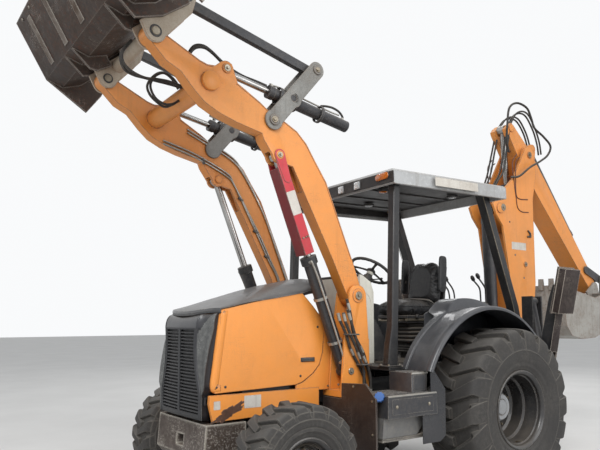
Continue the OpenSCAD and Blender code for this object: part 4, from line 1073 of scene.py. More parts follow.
FINISHES = (
    Finish(
        "orange_paint", ORANGE, ORANGE_FADED, under=linear(112, 92, 80), grime_colour=linear(120, 78, 44),
        dust_colour=linear(214, 172, 120), wear=0.3, grime=0.22, dust=0.16, scratch=0.22, runs=0.05,
        rough=(0.3, 0.45), bump=0.06, coat=0.15, speck=0.05
    ),
    Finish(
        "orange_arm_paint", linear(228, 142, 58), linear(216, 142, 74), under=linear(98, 82, 74),
        grime_colour=linear(104, 66, 40), dust_colour=linear(206, 168, 124), wear=0.42, grime=0.34,
        dust=0.24, scratch=0.45, runs=0.12, rough=(0.34, 0.52), tone_scale=3.0, bump=0.08, speck=0.06
    ),
    Finish(
        "black_paint", linear(22, 23, 26), linear(33, 34, 37), under=linear(98, 94, 90),
        grime_colour=linear(48, 46, 45), wear=0.28, grime=0.18, dust=0.2, scratch=0.35, rough=(0.32, 0.55)
    ),
    Finish(
        "dark_grey_paint", linear(38, 40, 45), linear(52, 53, 57), under=linear(112, 108, 102), wear=0.32,
        grime=0.4, dust=0.32, scratch=0.4, rough=(0.34, 0.56)
    ),
    Finish(
        "grey_paint", linear(142, 142, 138), linear(120, 119, 115), under=linear(96, 74, 56), wear=0.45,
        grime=0.6, dust=0.45, scratch=0.6, runs=0.3, rough=(0.42, 0.66), speck=0.3
    ),
    Finish(
        "pale_grey_paint", linear(190, 180, 164), linear(170, 156, 138), under=linear(132, 88, 56),
        grime_colour=linear(104, 78, 56), wear=0.5, grime=0.5, dust=0.35, scratch=0.5, runs=0.3,
        rough=(0.5, 0.72), speck=0.25
    ),
    Finish(
        "cast_iron_paint", linear(74, 62, 54), linear(52, 42, 37), under=linear(176, 170, 158),
        grime_colour=linear(40, 32, 27), tone_scale=4.0, wear=0.75, wear_radius=0.03, grime=0.5, dust=0.25,
        scratch=0.6, bump=0.5, grain=Grain.CAST, rough=(0.5, 0.8), flake=0.5,
        flake_colour=linear(160, 154, 145), flake_scale=75.0
    ),
    Finish(
        "roof_grey_paint", linear(176, 178, 179), linear(156, 157, 157), under=linear(120, 112, 102),
        grime_colour=linear(104, 96, 86), wear=0.35, grime=0.4, dust=0.3, scratch=0.7, runs=0.25,
        rough=(0.42, 0.62), flake=0.2, flake_colour=linear(206, 208, 208)
    ),
    Finish(
        "console_plastic", linear(222, 220, 208), linear(206, 203, 190), under=linear(120, 116, 108),
        wear=0.12, grime=0.3, dust=0.2, scratch=0.2, bump=0.06, grain=Grain.PLASTIC, rough=(0.38, 0.52),
        speck=0.06
    ),
    Finish(
        "scraped_steel", linear(126, 116, 106), linear(84, 66, 54), under=linear(168, 162, 154),
        grime_colour=linear(52, 38, 30), tone_scale=3.4, metallic=0.55, wear=0.6, wear_radius=0.014,
        grime=0.75, dust=0.45, scratch=0.8, bump=0.35, grain=Grain.STEEL, rough=(0.42, 0.78)
    ),
    Finish(
        "bucket_steel", linear(46, 36, 32), linear(84, 70, 62), under=linear(158, 150, 142),
        grime_colour=linear(26, 19, 17), tone_scale=2.6, metallic=0.3, wear=0.6, wear_radius=0.018,
        grime=0.6, dust=0.3, scratch=0.9, runs=0.3, bump=0.35, grain=Grain.STEEL, rough=(0.45, 0.78),
        flake=0.3, flake_colour=linear(104, 58, 36)
    ),
    Finish(
        "rusty_steel", linear(96, 62, 44), linear(70, 50, 40), under=linear(130, 112, 100),
        grime_colour=linear(44, 32, 26), tone_scale=6.0, metallic=0.2, wear=0.4, grime=0.6, dust=0.45,
        bump=0.5, grain=Grain.CAST, rough=(0.6, 0.85)
    ),
    Finish(
        "chromed_rod", linear(188, 188, 188), linear(160, 158, 154), under=linear(120, 112, 104),
        grime_colour=linear(80, 66, 54), metallic=1.0, wear=0.0, grime=0.3, dust=0.25, scratch=0.2, runs=0.0,
        bump=0.03, rough=(0.12, 0.3)
    ),
    Finish(
        "tyre_rubber", linear(44, 43, 43), linear(62, 60, 58), under=linear(92, 88, 82),
        grime_colour=linear(92, 88, 82), dust_colour=linear(132, 128, 122), tone_scale=3.0, wear=0.4,
        wear_radius=0.012, grime=0.6, reach=0.05, dust=0.42, scratch=0.25, runs=0.0, bump=0.3,
        grain=Grain.RUBBER, rough=(0.68, 0.9)
    ),
    Finish(
        "hose_rubber", linear(30, 30, 31), linear(44, 43, 43), under=linear(70, 66, 62),
        grime_colour=linear(92, 82, 70), wear=0.0, grime=0.4, reach=0.03, dust=0.4, scratch=0.0, runs=0.0,
        bump=0.12, grain=Grain.RUBBER, rough=(0.5, 0.72)
    ),
    Finish(
        "seat_vinyl", linear(24, 25, 28), linear(34, 35, 38), under=linear(84, 80, 76),
        grime_colour=linear(66, 62, 58), wear=0.0, grime=0.15, reach=0.03, dust=0.16, scratch=0.1, runs=0.0,
        bump=0.25, grain=Grain.VINYL, rough=(0.34, 0.5), speck=0.06
    ),
    Finish(
        "black_plastic", linear(32, 32, 34), linear(42, 42, 44), under=linear(80, 78, 76), wear=0.12,
        grime=0.25, dust=0.35, scratch=0.2, runs=0.0, bump=0.1, grain=Grain.PLASTIC, rough=(0.4, 0.58)
    ),
    Finish(
        "white_plate", linear(214, 210, 202), linear(192, 186, 176), under=linear(130, 116, 100),
        grime_colour=linear(110, 92, 74), wear=0.2, grime=0.5, dust=0.35, scratch=0.5, rough=(0.45, 0.6)
    ),
    Finish(
        "red_paint", linear(200, 36, 50), linear(184, 44, 56), under=linear(120, 100, 92), wear=0.35,
        grime=0.25, dust=0.16, scratch=0.3, rough=(0.36, 0.5), bump=0.06, speck=0.08
    ),
    Finish(
        "rim_paint", linear(26, 27, 30), linear(38, 38, 40), under=linear(120, 112, 104),
        grime_colour=linear(78, 70, 60), wear=0.3, wear_radius=0.006, grime=0.3, dust=0.2, scratch=0.3,
        rough=(0.22, 0.42), coat=0.3
    ),
    Finish(
        "hub_paint", linear(176, 180, 184), linear(158, 160, 162), under=linear(96, 84, 72),
        grime_colour=linear(88, 78, 68), wear=0.35, wear_radius=0.006, grime=0.5, reach=0.04, dust=0.35,
        scratch=0.3, rough=(0.4, 0.6)
    ),
    Finish(
        "hood_top_paint", linear(50, 51, 54), linear(66, 67, 69), under=linear(140, 136, 130),
        grime_colour=linear(64, 60, 56), dust_colour=linear(150, 146, 140), wear=0.2, grime=0.25, dust=0.34,
        scratch=0.5, rough=(0.26, 0.44), runs=0.0, bump=0.06, coat=0.2
    ),
    Finish(
        "speckled_plastic", linear(96, 97, 96), linear(74, 75, 75), under=linear(60, 58, 56),
        grime_colour=linear(52, 50, 48), dust_colour=linear(150, 148, 142), tone_scale=30.0, wear=0.2,
        grime=0.5, dust=0.3, scratch=0.2, runs=0.0, bump=0.3, grain=Grain.CAST, rough=(0.5, 0.7), flake=0.42,
        flake_colour=linear(150, 152, 150), flake_scale=130.0
    ),
    Finish(
        "brow_paint", linear(24, 26, 32), linear(36, 38, 44), under=linear(90, 88, 86),
        grime_colour=linear(60, 56, 52), wear=0.12, grime=0.15, dust=0.16, scratch=0.3, runs=0.0, bump=0.05,
        rough=(0.24, 0.38), coat=0.3
    ),
    Finish(
        "worn_grey_paint", linear(166, 164, 158), linear(138, 133, 126), under=linear(104, 72, 52),
        grime_colour=linear(84, 72, 62), wear=0.5, grime=0.5, dust=0.35, scratch=0.7, runs=0.4,
        rough=(0.45, 0.68), flake=0.3, flake_colour=linear(108, 84, 66)
    ),
    Finish(
        "pad_brown_steel", linear(46, 33, 30), linear(36, 28, 26), under=linear(178, 168, 156),
        grime_colour=linear(34, 24, 20), tone_scale=5.0, metallic=0.2, wear=0.8, wear_radius=0.012,
        grime=0.4, dust=0.3, scratch=0.7, bump=0.4, grain=Grain.CAST, rough=(0.55, 0.8)
    ),
    Finish(
        "dusty_grey_paint", linear(92, 93, 94), linear(116, 115, 112), under=linear(52, 50, 48),
        grime_colour=linear(56, 52, 48), tone_scale=6.0, wear=0.4, grime=0.45, dust=0.5, scratch=0.9,
        runs=0.5, rough=(0.42, 0.66)
    ),
    Finish(
        "guard_brown_paint", linear(40, 31, 29), linear(52, 42, 38), under=linear(120, 112, 104),
        grime_colour=linear(66, 54, 46), wear=0.5, wear_radius=0.006, grime=0.35, dust=0.2, scratch=0.5,
        rough=(0.4, 0.6), speck=0.2
    ),
    Finish(
        "blue_cap", linear(44, 92, 160), linear(60, 104, 164), wear=0.1, grime=0.3, dust=0.3, bump=0.08,
        grain=Grain.PLASTIC, rough=(0.4, 0.55)
    ),
    Finish(
        "zinc_fitting", linear(170, 164, 150), linear(132, 122, 106), under=linear(110, 84, 60),
        grime_colour=linear(70, 58, 46), metallic=0.85, wear=0.2, grime=0.5, reach=0.03, dust=0.35,
        scratch=0.1, runs=0.0, bump=0.1, grain=Grain.STEEL, rough=(0.3, 0.5)
    ),
    Finish(
        "grille_plastic", linear(17, 19, 25), linear(26, 28, 33), under=linear(70, 66, 62),
        grime_colour=linear(50, 46, 42), wear=0.0, grime=0.15, dust=0.04, scratch=0.1, runs=0.0, bump=0.06,
        grain=Grain.PLASTIC, rough=(0.36, 0.5)
    ),
    Finish(
        "fender_plastic", linear(30, 32, 38), linear(44, 46, 52), under=linear(96, 94, 92),
        grime_colour=linear(72, 68, 62), dust_colour=linear(136, 136, 136), wear=0.15, grime=0.22, dust=0.34,
        scratch=0.3, runs=0.0, bump=0.06, grain=Grain.PLASTIC, rough=(0.26, 0.42), coat=0.15
    ),
    Finish(
        "line_steel", linear(186, 184, 178), linear(150, 146, 138), under=linear(104, 84, 64),
        grime_colour=linear(66, 54, 44), metallic=0.8, wear=0.0, grime=0.5, reach=0.03, dust=0.3,
        scratch=0.2, runs=0.0, bump=0.05, grain=Grain.STEEL, rough=(0.28, 0.5)
    ),
    # dark red: the seat belt's button, and a darker copy of the strut's red that paints the shade on its web
    Finish(
        "dark_red_paint", linear(104, 14, 22), linear(122, 24, 30), under=linear(120, 100, 92), wear=0.3,
        grime=0.4, dust=0.2, scratch=0.3, rough=(0.4, 0.6)
    ),
    Finish(
        "brown_line", linear(96, 44, 26), linear(70, 36, 26), wear=0.0, grime=0.3, dust=0.2, scratch=0.0,
        runs=0.0, rough=(0.5, 0.7)
    ),
    Finish(
        "webbing", linear(58, 58, 60), linear(74, 73, 72), wear=0.0, grime=0.3, dust=0.3, scratch=0.0,
        runs=0.0, bump=0.2, grain=Grain.VINYL, rough=(0.6, 0.8)
    ),
    Finish(
        "worn_step_steel", linear(92, 88, 82), linear(60, 58, 56), under=linear(150, 146, 138),
        grime_colour=linear(66, 54, 44), wear=0.6, wear_radius=0.02, grime=0.6, dust=0.6, scratch=0.6,
        bump=0.25, grain=Grain.STEEL, rough=(0.5, 0.8), tone_scale=5.0
    )
)


def lens_material(name: str, colour: tuple[float, float, float], rough: float) -> bpy.types.Material:
    """A moulded lens: coloured, glossy and partly see-through, with a prism pattern in its bump.

    Args:
        name: name of the material.
        colour: colour of the lens.
        rough: its roughness.

    Returns:
        The material.
    """
    mat = bpy.data.materials.new(name)
    mat.use_nodes = True
    n = Nodes(mat.node_tree)
    shader = mat.node_tree.nodes["Principled BSDF"]
    where = n.new("TexCoord").outputs["Object"]
    tone = n.noise(where, 30.0, 3.0, 0.5)
    n.feed(
        shader.inputs["Base Color"],
        n.mix(n.ramp(tone, 0.3, 0.7, 0.0, 0.35), colour, tuple(c * 0.6 for c in colour))
    )
    shader.inputs["Roughness"].default_value = rough
    shader.inputs["Transmission Weight"].default_value = 0.35
    shader.inputs["Coat Weight"].default_value = 0.5
    wave = n.new("TexWave", wave_type="BANDS", bands_direction="Z")
    n.feed(wave.inputs["Vector"], where)
    wave.inputs["Scale"].default_value = 60.0
    bump = n.new("Bump")
    bump.inputs["Strength"].default_value = 0.3
    bump.inputs["Distance"].default_value = 0.002
    n.feed(bump.inputs["Height"], wave.outputs["Fac"])
    n.feed(shader.inputs["Normal"], bump.outputs[0])
    return mat


class Paintbox:
    """All finishes of the machine, by name."""

    def __init__(self) -> None:
        """Builds every material once."""
        effects = Effects()
        self.by_name = {finish.name: finish.material(effects) for finish in FINISHES}
        self.by_name["amber_lens"] = lens_material("amber_lens", linear(226, 120, 20), 0.12)
        self.by_name["clear_lens"] = lens_material("clear_lens", linear(196, 200, 202), 0.08)

    def __getitem__(self, name: str) -> bpy.types.Material:
        """The material of that name."""
        return self.by_name[name]


# The machine's own pieces


def make_all(paints: Paintbox, rows: tuple) -> None:
    """Makes a piece from each row.

    Args:
        paints: the finishes.
        rows: name, shell, finish names, body, smoothing angle and material slot of each piece.
    """
    for name, shell, finishes, body, angle, slot in rows:
        make_object(name, shell, [paints[finish] for finish in finishes.split()], body, angle)


@dataclass
class Skins:
    """Rounded, weathered copies of the solids that already have the right shape: finish, bevel, nodes."""

    paints: Paintbox
    table: tuple = (
        ("black_paint", 0.006,
         "main_frame backhoe_frame front_left_knuckle front_right_knuckle left_leg right_leg"),
        ("orange_paint", 0.006, "side_rails"),
        ("cast_iron_paint", 0.016, "counterweight"),
        ("dark_grey_paint", 0.01, "powertrain hood_top"),
        ("black_paint", 0.012, "front_axle"),
        ("black_paint", 0.01, "rear_axle"),
        ("orange_paint", 0.005, "loader_towers"),
        ("black_paint", 0.005, "platform"),
        ("dark_grey_paint", 0.006, "side_boxes"),
        ("black_plastic", 0.008, "rear_fenders"),
        ("roof_grey_paint", 0.012, "canopy_roof"),
        ("black_paint", 0.008, "canopy_posts"),
        ("console_plastic", 0.014, "front_console"),
        ("black_plastic", 0.01, "control_stand"),
        ("orange_paint", 0.004, "hood_sides"),
        ("black_paint", 0.003, "grille front_left_rim front_right_rim rear_left_rim rear_right_rim"),
        ("tyre_rubber", 0.01, "front_left_tyre front_right_tyre rear_left_tyre rear_right_tyre"),
        ("black_plastic", 0.0, "steering_wheel"),
        ("black_plastic", 0.004, "seat_base"),
        ("seat_vinyl", 0.03, "seat"),
        ("orange_arm_paint", 0.006, "loader_arms boom dipper"),
        ("dark_grey_paint", 0.003,
         "lift_barrels tilt_barrels boom_barrel dipper_barrel dig_barrel left_leg_barrel "
         "right_leg_barrel"),
        ("chromed_rod", 0.002,
         "lift_rods tilt_rods boom_rod dipper_rod dig_rod left_leg_rod right_leg_rod"),
        ("grey_paint", 0.006, "bell_cranks"),
        ("dark_grey_paint", 0.005, "tilt_links bucket_lever bucket_link"),
        ("pale_grey_paint", 0.005, "coupler"),
        ("bucket_steel", 0.006, "loader_bucket"),
        ("grey_paint", 0.008, "swing_tower"),
        ("worn_grey_paint", 0.006, "dig_bucket"),
    )

    def dress(self, own: set[str]) -> None:
        """Makes the skins.

        Args:
            own: nodes that get a piece of their own elsewhere and need no skin.
        """
        for finish, bevel, nodes in self.table:
            for node in nodes.split():
                for slot in frame["nodes"][node].material_slots:
                    slot.material = self.paints[finish]
                if node not in own:
                    skin(node, [self.paints[finish]], bevel)


@dataclass
class Studio:
    """Camera, floor and lights."""

    eye: tuple[float, float, float] = (4.385, 4.316, 1.4435)
    yaw: float = 234.51
    pitch: float = 5.14
    roll: float = -0.18
    focal_px: float = 608.5
    photo_px: float = 600.0
    sensor: float = 36.0
    shift_y: float = 0.0695

    def camera(self) -> None:
        """Places the camera: its view direction is turned by yaw from +X and lifted by pitch."""
        data = bpy.data.cameras.new("camera")
        data.sensor_width = self.sensor
        data.lens = self.focal_px / self.photo_px * self.sensor
        data.shift_y = self.shift_y
        data.clip_end = 200.0
        cam = bpy.data.objects.new("camera", data)
        bpy.context.scene.collection.objects.link(cam)
        yaw, pitch = math.radians(self.yaw), math.radians(self.pitch)
        ahead = Vector((math.cos(pitch) * math.cos(yaw), math.cos(pitch) * math.sin(yaw), math.sin(pitch)))
        turn = ahead.to_track_quat("-Z", "Y").to_matrix().to_4x4() @ Matrix.Rotation(
            math.radians(self.roll), 4, "Z"
        )
        cam.matrix_world = Matrix.Translation(self.eye) @ turn
        bpy.context.scene.camera = cam

    def floor(self) -> None:
        """A pale plain floor that keeps the shadow."""
        mesh = bpy.data.meshes.new("floor")
        s = 60.0
        mesh.from_pydata([(-s, -s, 0), (s, -s, 0), (s, s, 0), (-s, s, 0)], [], [(0, 1, 2, 3)])
        obj = bpy.data.objects.new("floor", mesh)
        bpy.context.scene.collection.objects.link(obj)
        mat = bpy.data.materials.new("pale_floor")
        mat.use_nodes = True
        n = Nodes(mat.node_tree)
        shader = mat.node_tree.nodes["Principled BSDF"]
        where = n.new("TexCoord").outputs["Object"]
        n.feed(
            shader.inputs["Base Color"],
            n.mix(n.ramp(n.noise(where, 0.8, 4.0, 0.6), 0.3, 0.7), (0.62, 0.61, 0.59), (0.66, 0.65, 0.63))
        )
        shader.inputs["Roughness"].default_value = 0.9
        mesh.materials.append(mat)

    def lights(self) -> None:
        """Soft key, fill and rim panels and an even sky that the camera sees as near white."""
        world = bpy.data.worlds.new("sky")
        bpy.context.scene.world = world
        world.use_nodes = True
        world.node_tree.nodes.clear()
        n = Nodes(world.node_tree)
        out = n.new("OutputWorld")
        path = n.new("LightPath")
        seen = n.math(
            "MAXIMUM", n.math("MAXIMUM", path.outputs["Is Camera Ray"], path.outputs["Is Glossy Ray"]),
            path.outputs["Is Transmission Ray"]
        )
        soft = n.new("Background")
        soft.inputs[0].default_value = (0.93, 0.96, 1.0, 1.0)
        soft.inputs[1].default_value = 0.62
        white = n.new("Background")
        white.inputs[0].default_value = (0.95, 0.96, 0.97, 1.0)
        white.inputs[1].default_value = 1.0
        mix = n.new("MixShader")
        n.feed(mix.inputs[0], seen)
        n.links.new(soft.outputs[0], mix.inputs[1])
        n.links.new(white.outputs[0], mix.inputs[2])
        n.links.new(mix.outputs[0], out.inputs[0])
        for name, place, aim, size, power in (
            ("key", (7.0, 6.5, 9.0), (0.0, 0.0, 1.5), 6.0, 900.0),
            ("fill", (-2.0, 10.0, 5.0), (0.0, 0.0, 1.5), 7.0, 320.0),
            ("rim", (-7.0, -7.0, 8.0), (0.0, 0.0, 1.5), 5.0, 380.0),
        ):
            data = bpy.data.lights.new(name, "AREA")
            data.shape = "DISK"
            data.size = size
            data.energy = power
            lamp = bpy.data.objects.new(name, data)
            bpy.context.scene.collection.objects.link(lamp)
            lamp.location = place
            lamp.rotation_mode = "QUATERNION"
            lamp.rotation_quaternion = (Vector(aim) - Vector(place)).to_track_quat("-Z", "Y")

    def build(self) -> None:
        """Sets up everything round the machine."""
        self.camera()
        self.floor()
        self.lights()
        scene = bpy.context.scene
        scene.view_settings.view_transform = "Standard"


@dataclass
class Tyre:
    """A lugged tyre: a turned carcass with two rows of bars that overlap at the middle."""

    body: str
    node: str
    x: float
    y: float
    outer_r: float
    width: float
    rim_r: float
    bars: int
    tip_r: float
    lead: float
    side: int = 1
    depth: float = 0.038

    def carcass_profile(self) -> np.ndarray:
        """Half section from the middle of the tread to the bead, smoothed.

        Returns:
            Points (out, radius) from the tread's middle to the bead.
        """
        w, r, b = self.width / 2, self.outer_r, self.rim_r
        d = self.depth
        wall = r - b
        pts = [
            (0.0, r - d), (w * 0.4, r - d * 1.02), (w * 0.72, r - d * 1.25), (w * 0.88, r - d * 2.0),
            (w * 0.955, (r + self.tip_r) / 2 - d * 0.25), (w * 0.985, self.tip_r + wall * 0.02),
            (w * 0.995, self.tip_r - wall * 0.06), (w * 0.985, b + wall * 0.36), (w * 0.95, b + wall * 0.22),
            (w * 0.90, b + wall * 0.1), (w * 0.865, b + wall * 0.02), (w * 0.82, b - 0.004)
        ]
        return smooth_path(pts, 44)

    def carcass(self) -> Patch:
        """The half section and its mirror image turned about the axle, with raised rings on the walls.

        Returns:
            The carcass.
        """
        half = self.carcass_profile()
        rings = np.zeros(len(half))
        for ring_r, height, spread in (
            (self.tip_r - 0.012, 0.0045, 0.006), (self.rim_r + 0.040, 0.005, 0.010),
            (self.rim_r + 0.064, -0.005, 0.006)
        ):
            rings += height * np.exp(
                -(((half[:, 1] - ring_r) / spread) ** 2)
            ) * (half[:, 0] > self.width * 0.38)
        half = np.column_stack([half[:, 0] + rings, half[:, 1]])
        full = np.vstack([half[::-1] * [1, 1], half[1:] * [-1, 1]])
        inner = np.array([(-self.width * 0.36, self.rim_r - 0.028), (self.width * 0.36, self.rim_r - 0.028)])
        closed = np.vstack([full, inner, full[:1]])
        return revolve(closed, (self.x - AHEAD, self.y, self.outer_r), (0, 1, 0), 108)

    def envelope(self, count: int) -> tuple[np.ndarray, np.ndarray, np.ndarray]:
        """Outer line of the bars over the shoulder, with its outward normal and its length so far.

        Args:
            count: points along the line.

        Returns:
            Points (out, radius), unit normals, and lengths measured from the middle of the tread.
        """
        w, r = self.width / 2, self.outer_r
        knee = [
            (-0.028, r - 0.001), (w * 0.3, r - 0.0005), (w * 0.62, r - 0.003), (w * 0.80, r - 0.008),
            (w * 0.885, r - 0.022), (w * 0.935, r - 0.05), (w * 0.972, r - (r - self.tip_r) * 0.55),
            (w * 0.993, self.tip_r + 0.008), (w * 0.990, self.tip_r - 0.012)
        ]
        line = smooth_path(knee, count)
        step = np.gradient(line, axis=0)
        step /= np.linalg.norm(step, axis=1, keepdims=True)
        normal = np.column_stack([-step[:, 1], step[:, 0]])
        length = np.concatenate([[0.0], np.cumsum(np.linalg.norm(np.diff(line, axis=0), axis=1))])
        return line, normal, length

    def bars_row(self, side: int, shift: float) -> Patch:
        """One row of bars: a flat-topped profile carried out along the envelope.

        The bar's middle line lags behind its inner end by lead * (t / 0.62)^1.25, held past t = 0.62, and
        its half width grows from narrow at the inner end to half the pitch at the tip, so that the gap
        closes in a V.

        Args:
            side: which half of the tread.
            shift: turn of the row, in pitches.

        Returns:
            The bars.
        """
        line, normal, length = self.envelope(18)
        t = length / length[-1]
        pitch = 2 * np.pi / self.bars
        lag = self.lead * np.clip(t / 0.62, 0, 1) ** 1.25
        rim = np.clip((t - 0.55) / 0.45, 0, 1)
        half = self.outer_r * pitch * (
            0.155 + 0.105 * np.clip(t / 0.5, 0, 1) ** 1.5
        ) * (1 - rim) + rim * line[:, 1] * pitch * 0.47
        deep = self.depth * (
            1.25 + 0.5 * np.sin(np.pi * np.clip((t - 0.35) / 0.5, 0, 1))
        ) * (1 - rim**3) + 0.012 * rim**3
        bevel = 0.0055
        across = np.stack(
            [
                -(half + 0.007), -half, -(half - bevel), -half * 0.35, half * 0.35, half - bevel, half,
                half + 0.007
            ],
            1
        )
        level = np.stack(
            [
                -deep, np.full_like(t, -bevel), np.zeros_like(t), np.zeros_like(t), np.zeros_like(t),
                np.zeros_like(t), np.full_like(t, -bevel), -deep
            ],
            1
        )
        ends = np.ones_like(t)
        ends[0] = 0.0
        level = level - (1 - ends)[:, None] * bevel * (level > -bevel * 0.5)
        y = line[:, None, 0] + normal[:, None, 0] * level
        r = line[:, None, 1] + normal[:, None, 1] * level
        out = Patch()
        for k in range(self.bars):
            angle = (k + shift) * pitch - (lag[:, None] + across) / np.maximum(r, 0.2)
            pts = np.stack([r * np.sin(angle), side * y, r * np.cos(angle)], -1).reshape(-1, 3)
            faces = grid_faces(len(t), 8, loop_cols=True)
            faces.append([0, 1, 2, 3, 4, 5, 6, 7])
            faces.append([len(pts) - 1 - i for i in range(8)])
            if side > 0:
                faces = [f[::-1] for f in faces]
            out.add(pts + np.array([self.x - AHEAD, self.y, self.outer_r]), faces)
        return out

    def build(self, paints: Paintbox) -> bpy.types.Object:
        """Joins carcass and bars, and lets them stand for the plain solid.

        Args:
            paints: the finishes.

        Returns:
            The tyre.
        """
        shell = self.carcass()
        shell.join(self.bars_row(1, 0.0 if self.side > 0 else 0.5))
        shell.join(self.bars_row(-1, 0.5 if self.side > 0 else 0.0))
        obj = make_object(self.node + "_lugged", shell, [paints["tyre_rubber"]], self.body, 28.0)
        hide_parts(self.node)
        return obj


@dataclass
class Rim:
    """A deep wheel rim: a stepped barrel, a set-back disc, a hub cover and a ring of nuts."""

    body: str
    node: str
    x: float
    y: float
    z: float
    flange_r: float
    flange_y: float
    back_y: float
    disc_y: float
    hub_r: float
    hub_out: float
    nuts: int
    nut_circle: float
    side: int = 1

    def barrel(self) -> Patch:
        """Turned section: flange lip, bead seat, steps of the well, and the disc that dishes in to the hub.

        Returns:
            The barrel about the origin.
        """
        f, y1, y0, d = self.flange_r, self.flange_y, self.back_y, self.disc_y
        s = f - 0.028
        prof = [
            (d + 0.004, 0.0), (d + 0.004, self.hub_r + 0.02), (d + 0.012, self.nut_circle + 0.03),
            (d + 0.004, s - 0.075), (d + 0.018, s - 0.052), (d + 0.05, s - 0.046),
            ((d + y1) / 2 - 0.03, s - 0.046), ((d + y1) / 2 - 0.015, s - 0.030),
            ((d + y1) / 2 + 0.03, s - 0.029), (y1 - 0.052, s - 0.020), (y1 - 0.045, s - 0.012),
            (y1 - 0.024, s - 0.011), (y1 - 0.012, s - 0.004), (y1 - 0.004, f - 0.020), (y1, f - 0.010),
            (y1 - 0.004, f - 0.001), (y1 - 0.012, f), (y1 - 0.020, f - 0.006), (y1 - 0.022, s + 0.001),
            (y1 - 0.07, s), (y0 + 0.05, s), (y0 + 0.012, s), (y0, f - 0.002), (y0 - 0.008, f - 0.008),
            (y0 - 0.002, s - 0.01), (y0 + 0.03, s - 0.03), (d - 0.03, s - 0.05), (d - 0.012, s - 0.08),
            (d - 0.012, 0.0)
        ]
        return revolve(prof, (0, 0, 0), (0, 1, 0), 96)

    def hub(self) -> Patch:
        """The hub's cover: a chamfered drum with a raised round cap and a small plug.

        Returns:
            The cover about the origin.
        """
        d, r, o = self.disc_y, self.hub_r, self.hub_out
        prof = [
            (d, 0.0), (d, r + 0.012), (d + 0.012, r + 0.012), (d + 0.016, r), (d + o * 0.7, r * 0.97),
            (d + o - 0.004, r * 0.86), (d + o, r * 0.83), (d + o, r * 0.58), (d + o - 0.005, r * 0.56),
            (d + o - 0.005, r * 0.53), (d + o + 0.006, r * 0.5), (d + o + 0.009, r * 0.46),
            (d + o + 0.009, 0.0)
        ]
        return revolve(prof, (0, 0, 0), (0, 1, 0), 48, 1)

    def nut_ring(self) -> Patch:
        """Studs with nuts and washers, evenly set round the hub.

        Returns:
            All studs, nuts and washers.
        """
        out = Patch()
        for k in range(self.nuts):
            a = 2 * np.pi * (k + 0.5) / self.nuts
            c = np.array([self.nut_circle * np.sin(a), self.disc_y + 0.008, self.nut_circle * np.cos(a)])
            out.join(revolve([(0, 0.0), (0, 0.021), (0.005, 0.021), (0.006, 0.0)], c, (0, 1, 0), 16), 2)
            out.join(hex_head(c + [0, 0.004, 0], (0, 1, 0), 0.030, 0.022), 2)
            out.join(revolve([(0.0, 0.0), (0.0, 0.009), (0.036, 0.009), (0.038, 0.0)], c, (0, 1, 0), 10), 2)
        return out

    def valve(self) -> Patch:
        """The valve stem in the barrel's wall.

        Returns:
            The stem.
        """
        r = self.flange_r - 0.055
        path = np.array(
            [
                (0.0, self.flange_y - 0.08, -r), (0.0, self.flange_y - 0.05, -r + 0.012),
                (0.0, self.flange_y - 0.015, -r + 0.014)
            ]
        )
        return tube(path, [0.006, 0.005, 0.004], 8, 2)

    def build(self, paints: Paintbox) -> bpy.types.Object:
        """Joins the parts, puts them in place and lets them stand for the plain rim.

        Args:
            paints: the finishes.

        Returns:
            The rim.
        """
        shell = Patch().join(self.barrel(), 0).join(self.hub()).join(self.nut_ring()).join(self.valve())
        if self.side < 0:
            shell = shell.mirrored()
        shell = shell.moved(Matrix.Translation((self.x - AHEAD, self.y * self.side, self.z)))
        obj = make_object(
            self.node + "_dressed", shell,
            [paints["rim_paint"], paints["hub_paint"], paints["zinc_fitting"]], self.body, 32.0,
        )
        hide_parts(self.node)
        return obj


@dataclass
class Wheels:
    """All four wheels."""

    paints: Paintbox
    wheelbase: float = 2.175
    rear_y: float = 0.890
    front_y: float = 0.8765

    def build(self) -> set[str]:
        """Makes tyres and rims on both sides and names the nodes they stand for.

        Returns:
            Names of the nodes that the wheels stand for.
        """
        made = set()
        for side, word in ((1, "left"), (-1, "right")):
            Tyre(
                body=f"rear_{word}_wheel", node=f"rear_{word}_tyre", x=0.0, y=side * self.rear_y,
                outer_r=0.690, width=0.540, rim_r=0.3335, bars=18, tip_r=0.515, lead=0.125, side=side,
                depth=0.042
            ).build(self.paints)
            Tyre(
                body=f"front_{word}_wheel", node=f"front_{word}_tyre", x=self.wheelbase,
                y=side * self.front_y, outer_r=0.450, width=0.350, rim_r=0.235, bars=19, tip_r=0.362,
                lead=0.075, side=side, depth=0.030
            ).build(self.paints)
            Rim(
                body=f"rear_{word}_wheel", node=f"rear_{word}_rim", x=0.0, y=self.rear_y, z=0.690,
                flange_r=0.3335, flange_y=0.240, back_y=-0.215, disc_y=-0.060, hub_r=0.128, hub_out=0.092,
                nuts=8, nut_circle=0.172, side=side
            ).build(self.paints)
            Rim(
                body=f"front_{word}_wheel", node=f"front_{word}_rim", x=self.wheelbase, y=self.front_y,
                z=0.450, flange_r=0.235, flange_y=0.150, back_y=-0.140, disc_y=0.010, hub_r=0.088,
                hub_out=0.048, nuts=8, nut_circle=0.125, side=side
            ).build(self.paints)
            made |= {f"{end}_{word}_{kind}" for end in ("front", "rear") for kind in ("tyre", "rim")}
        return made


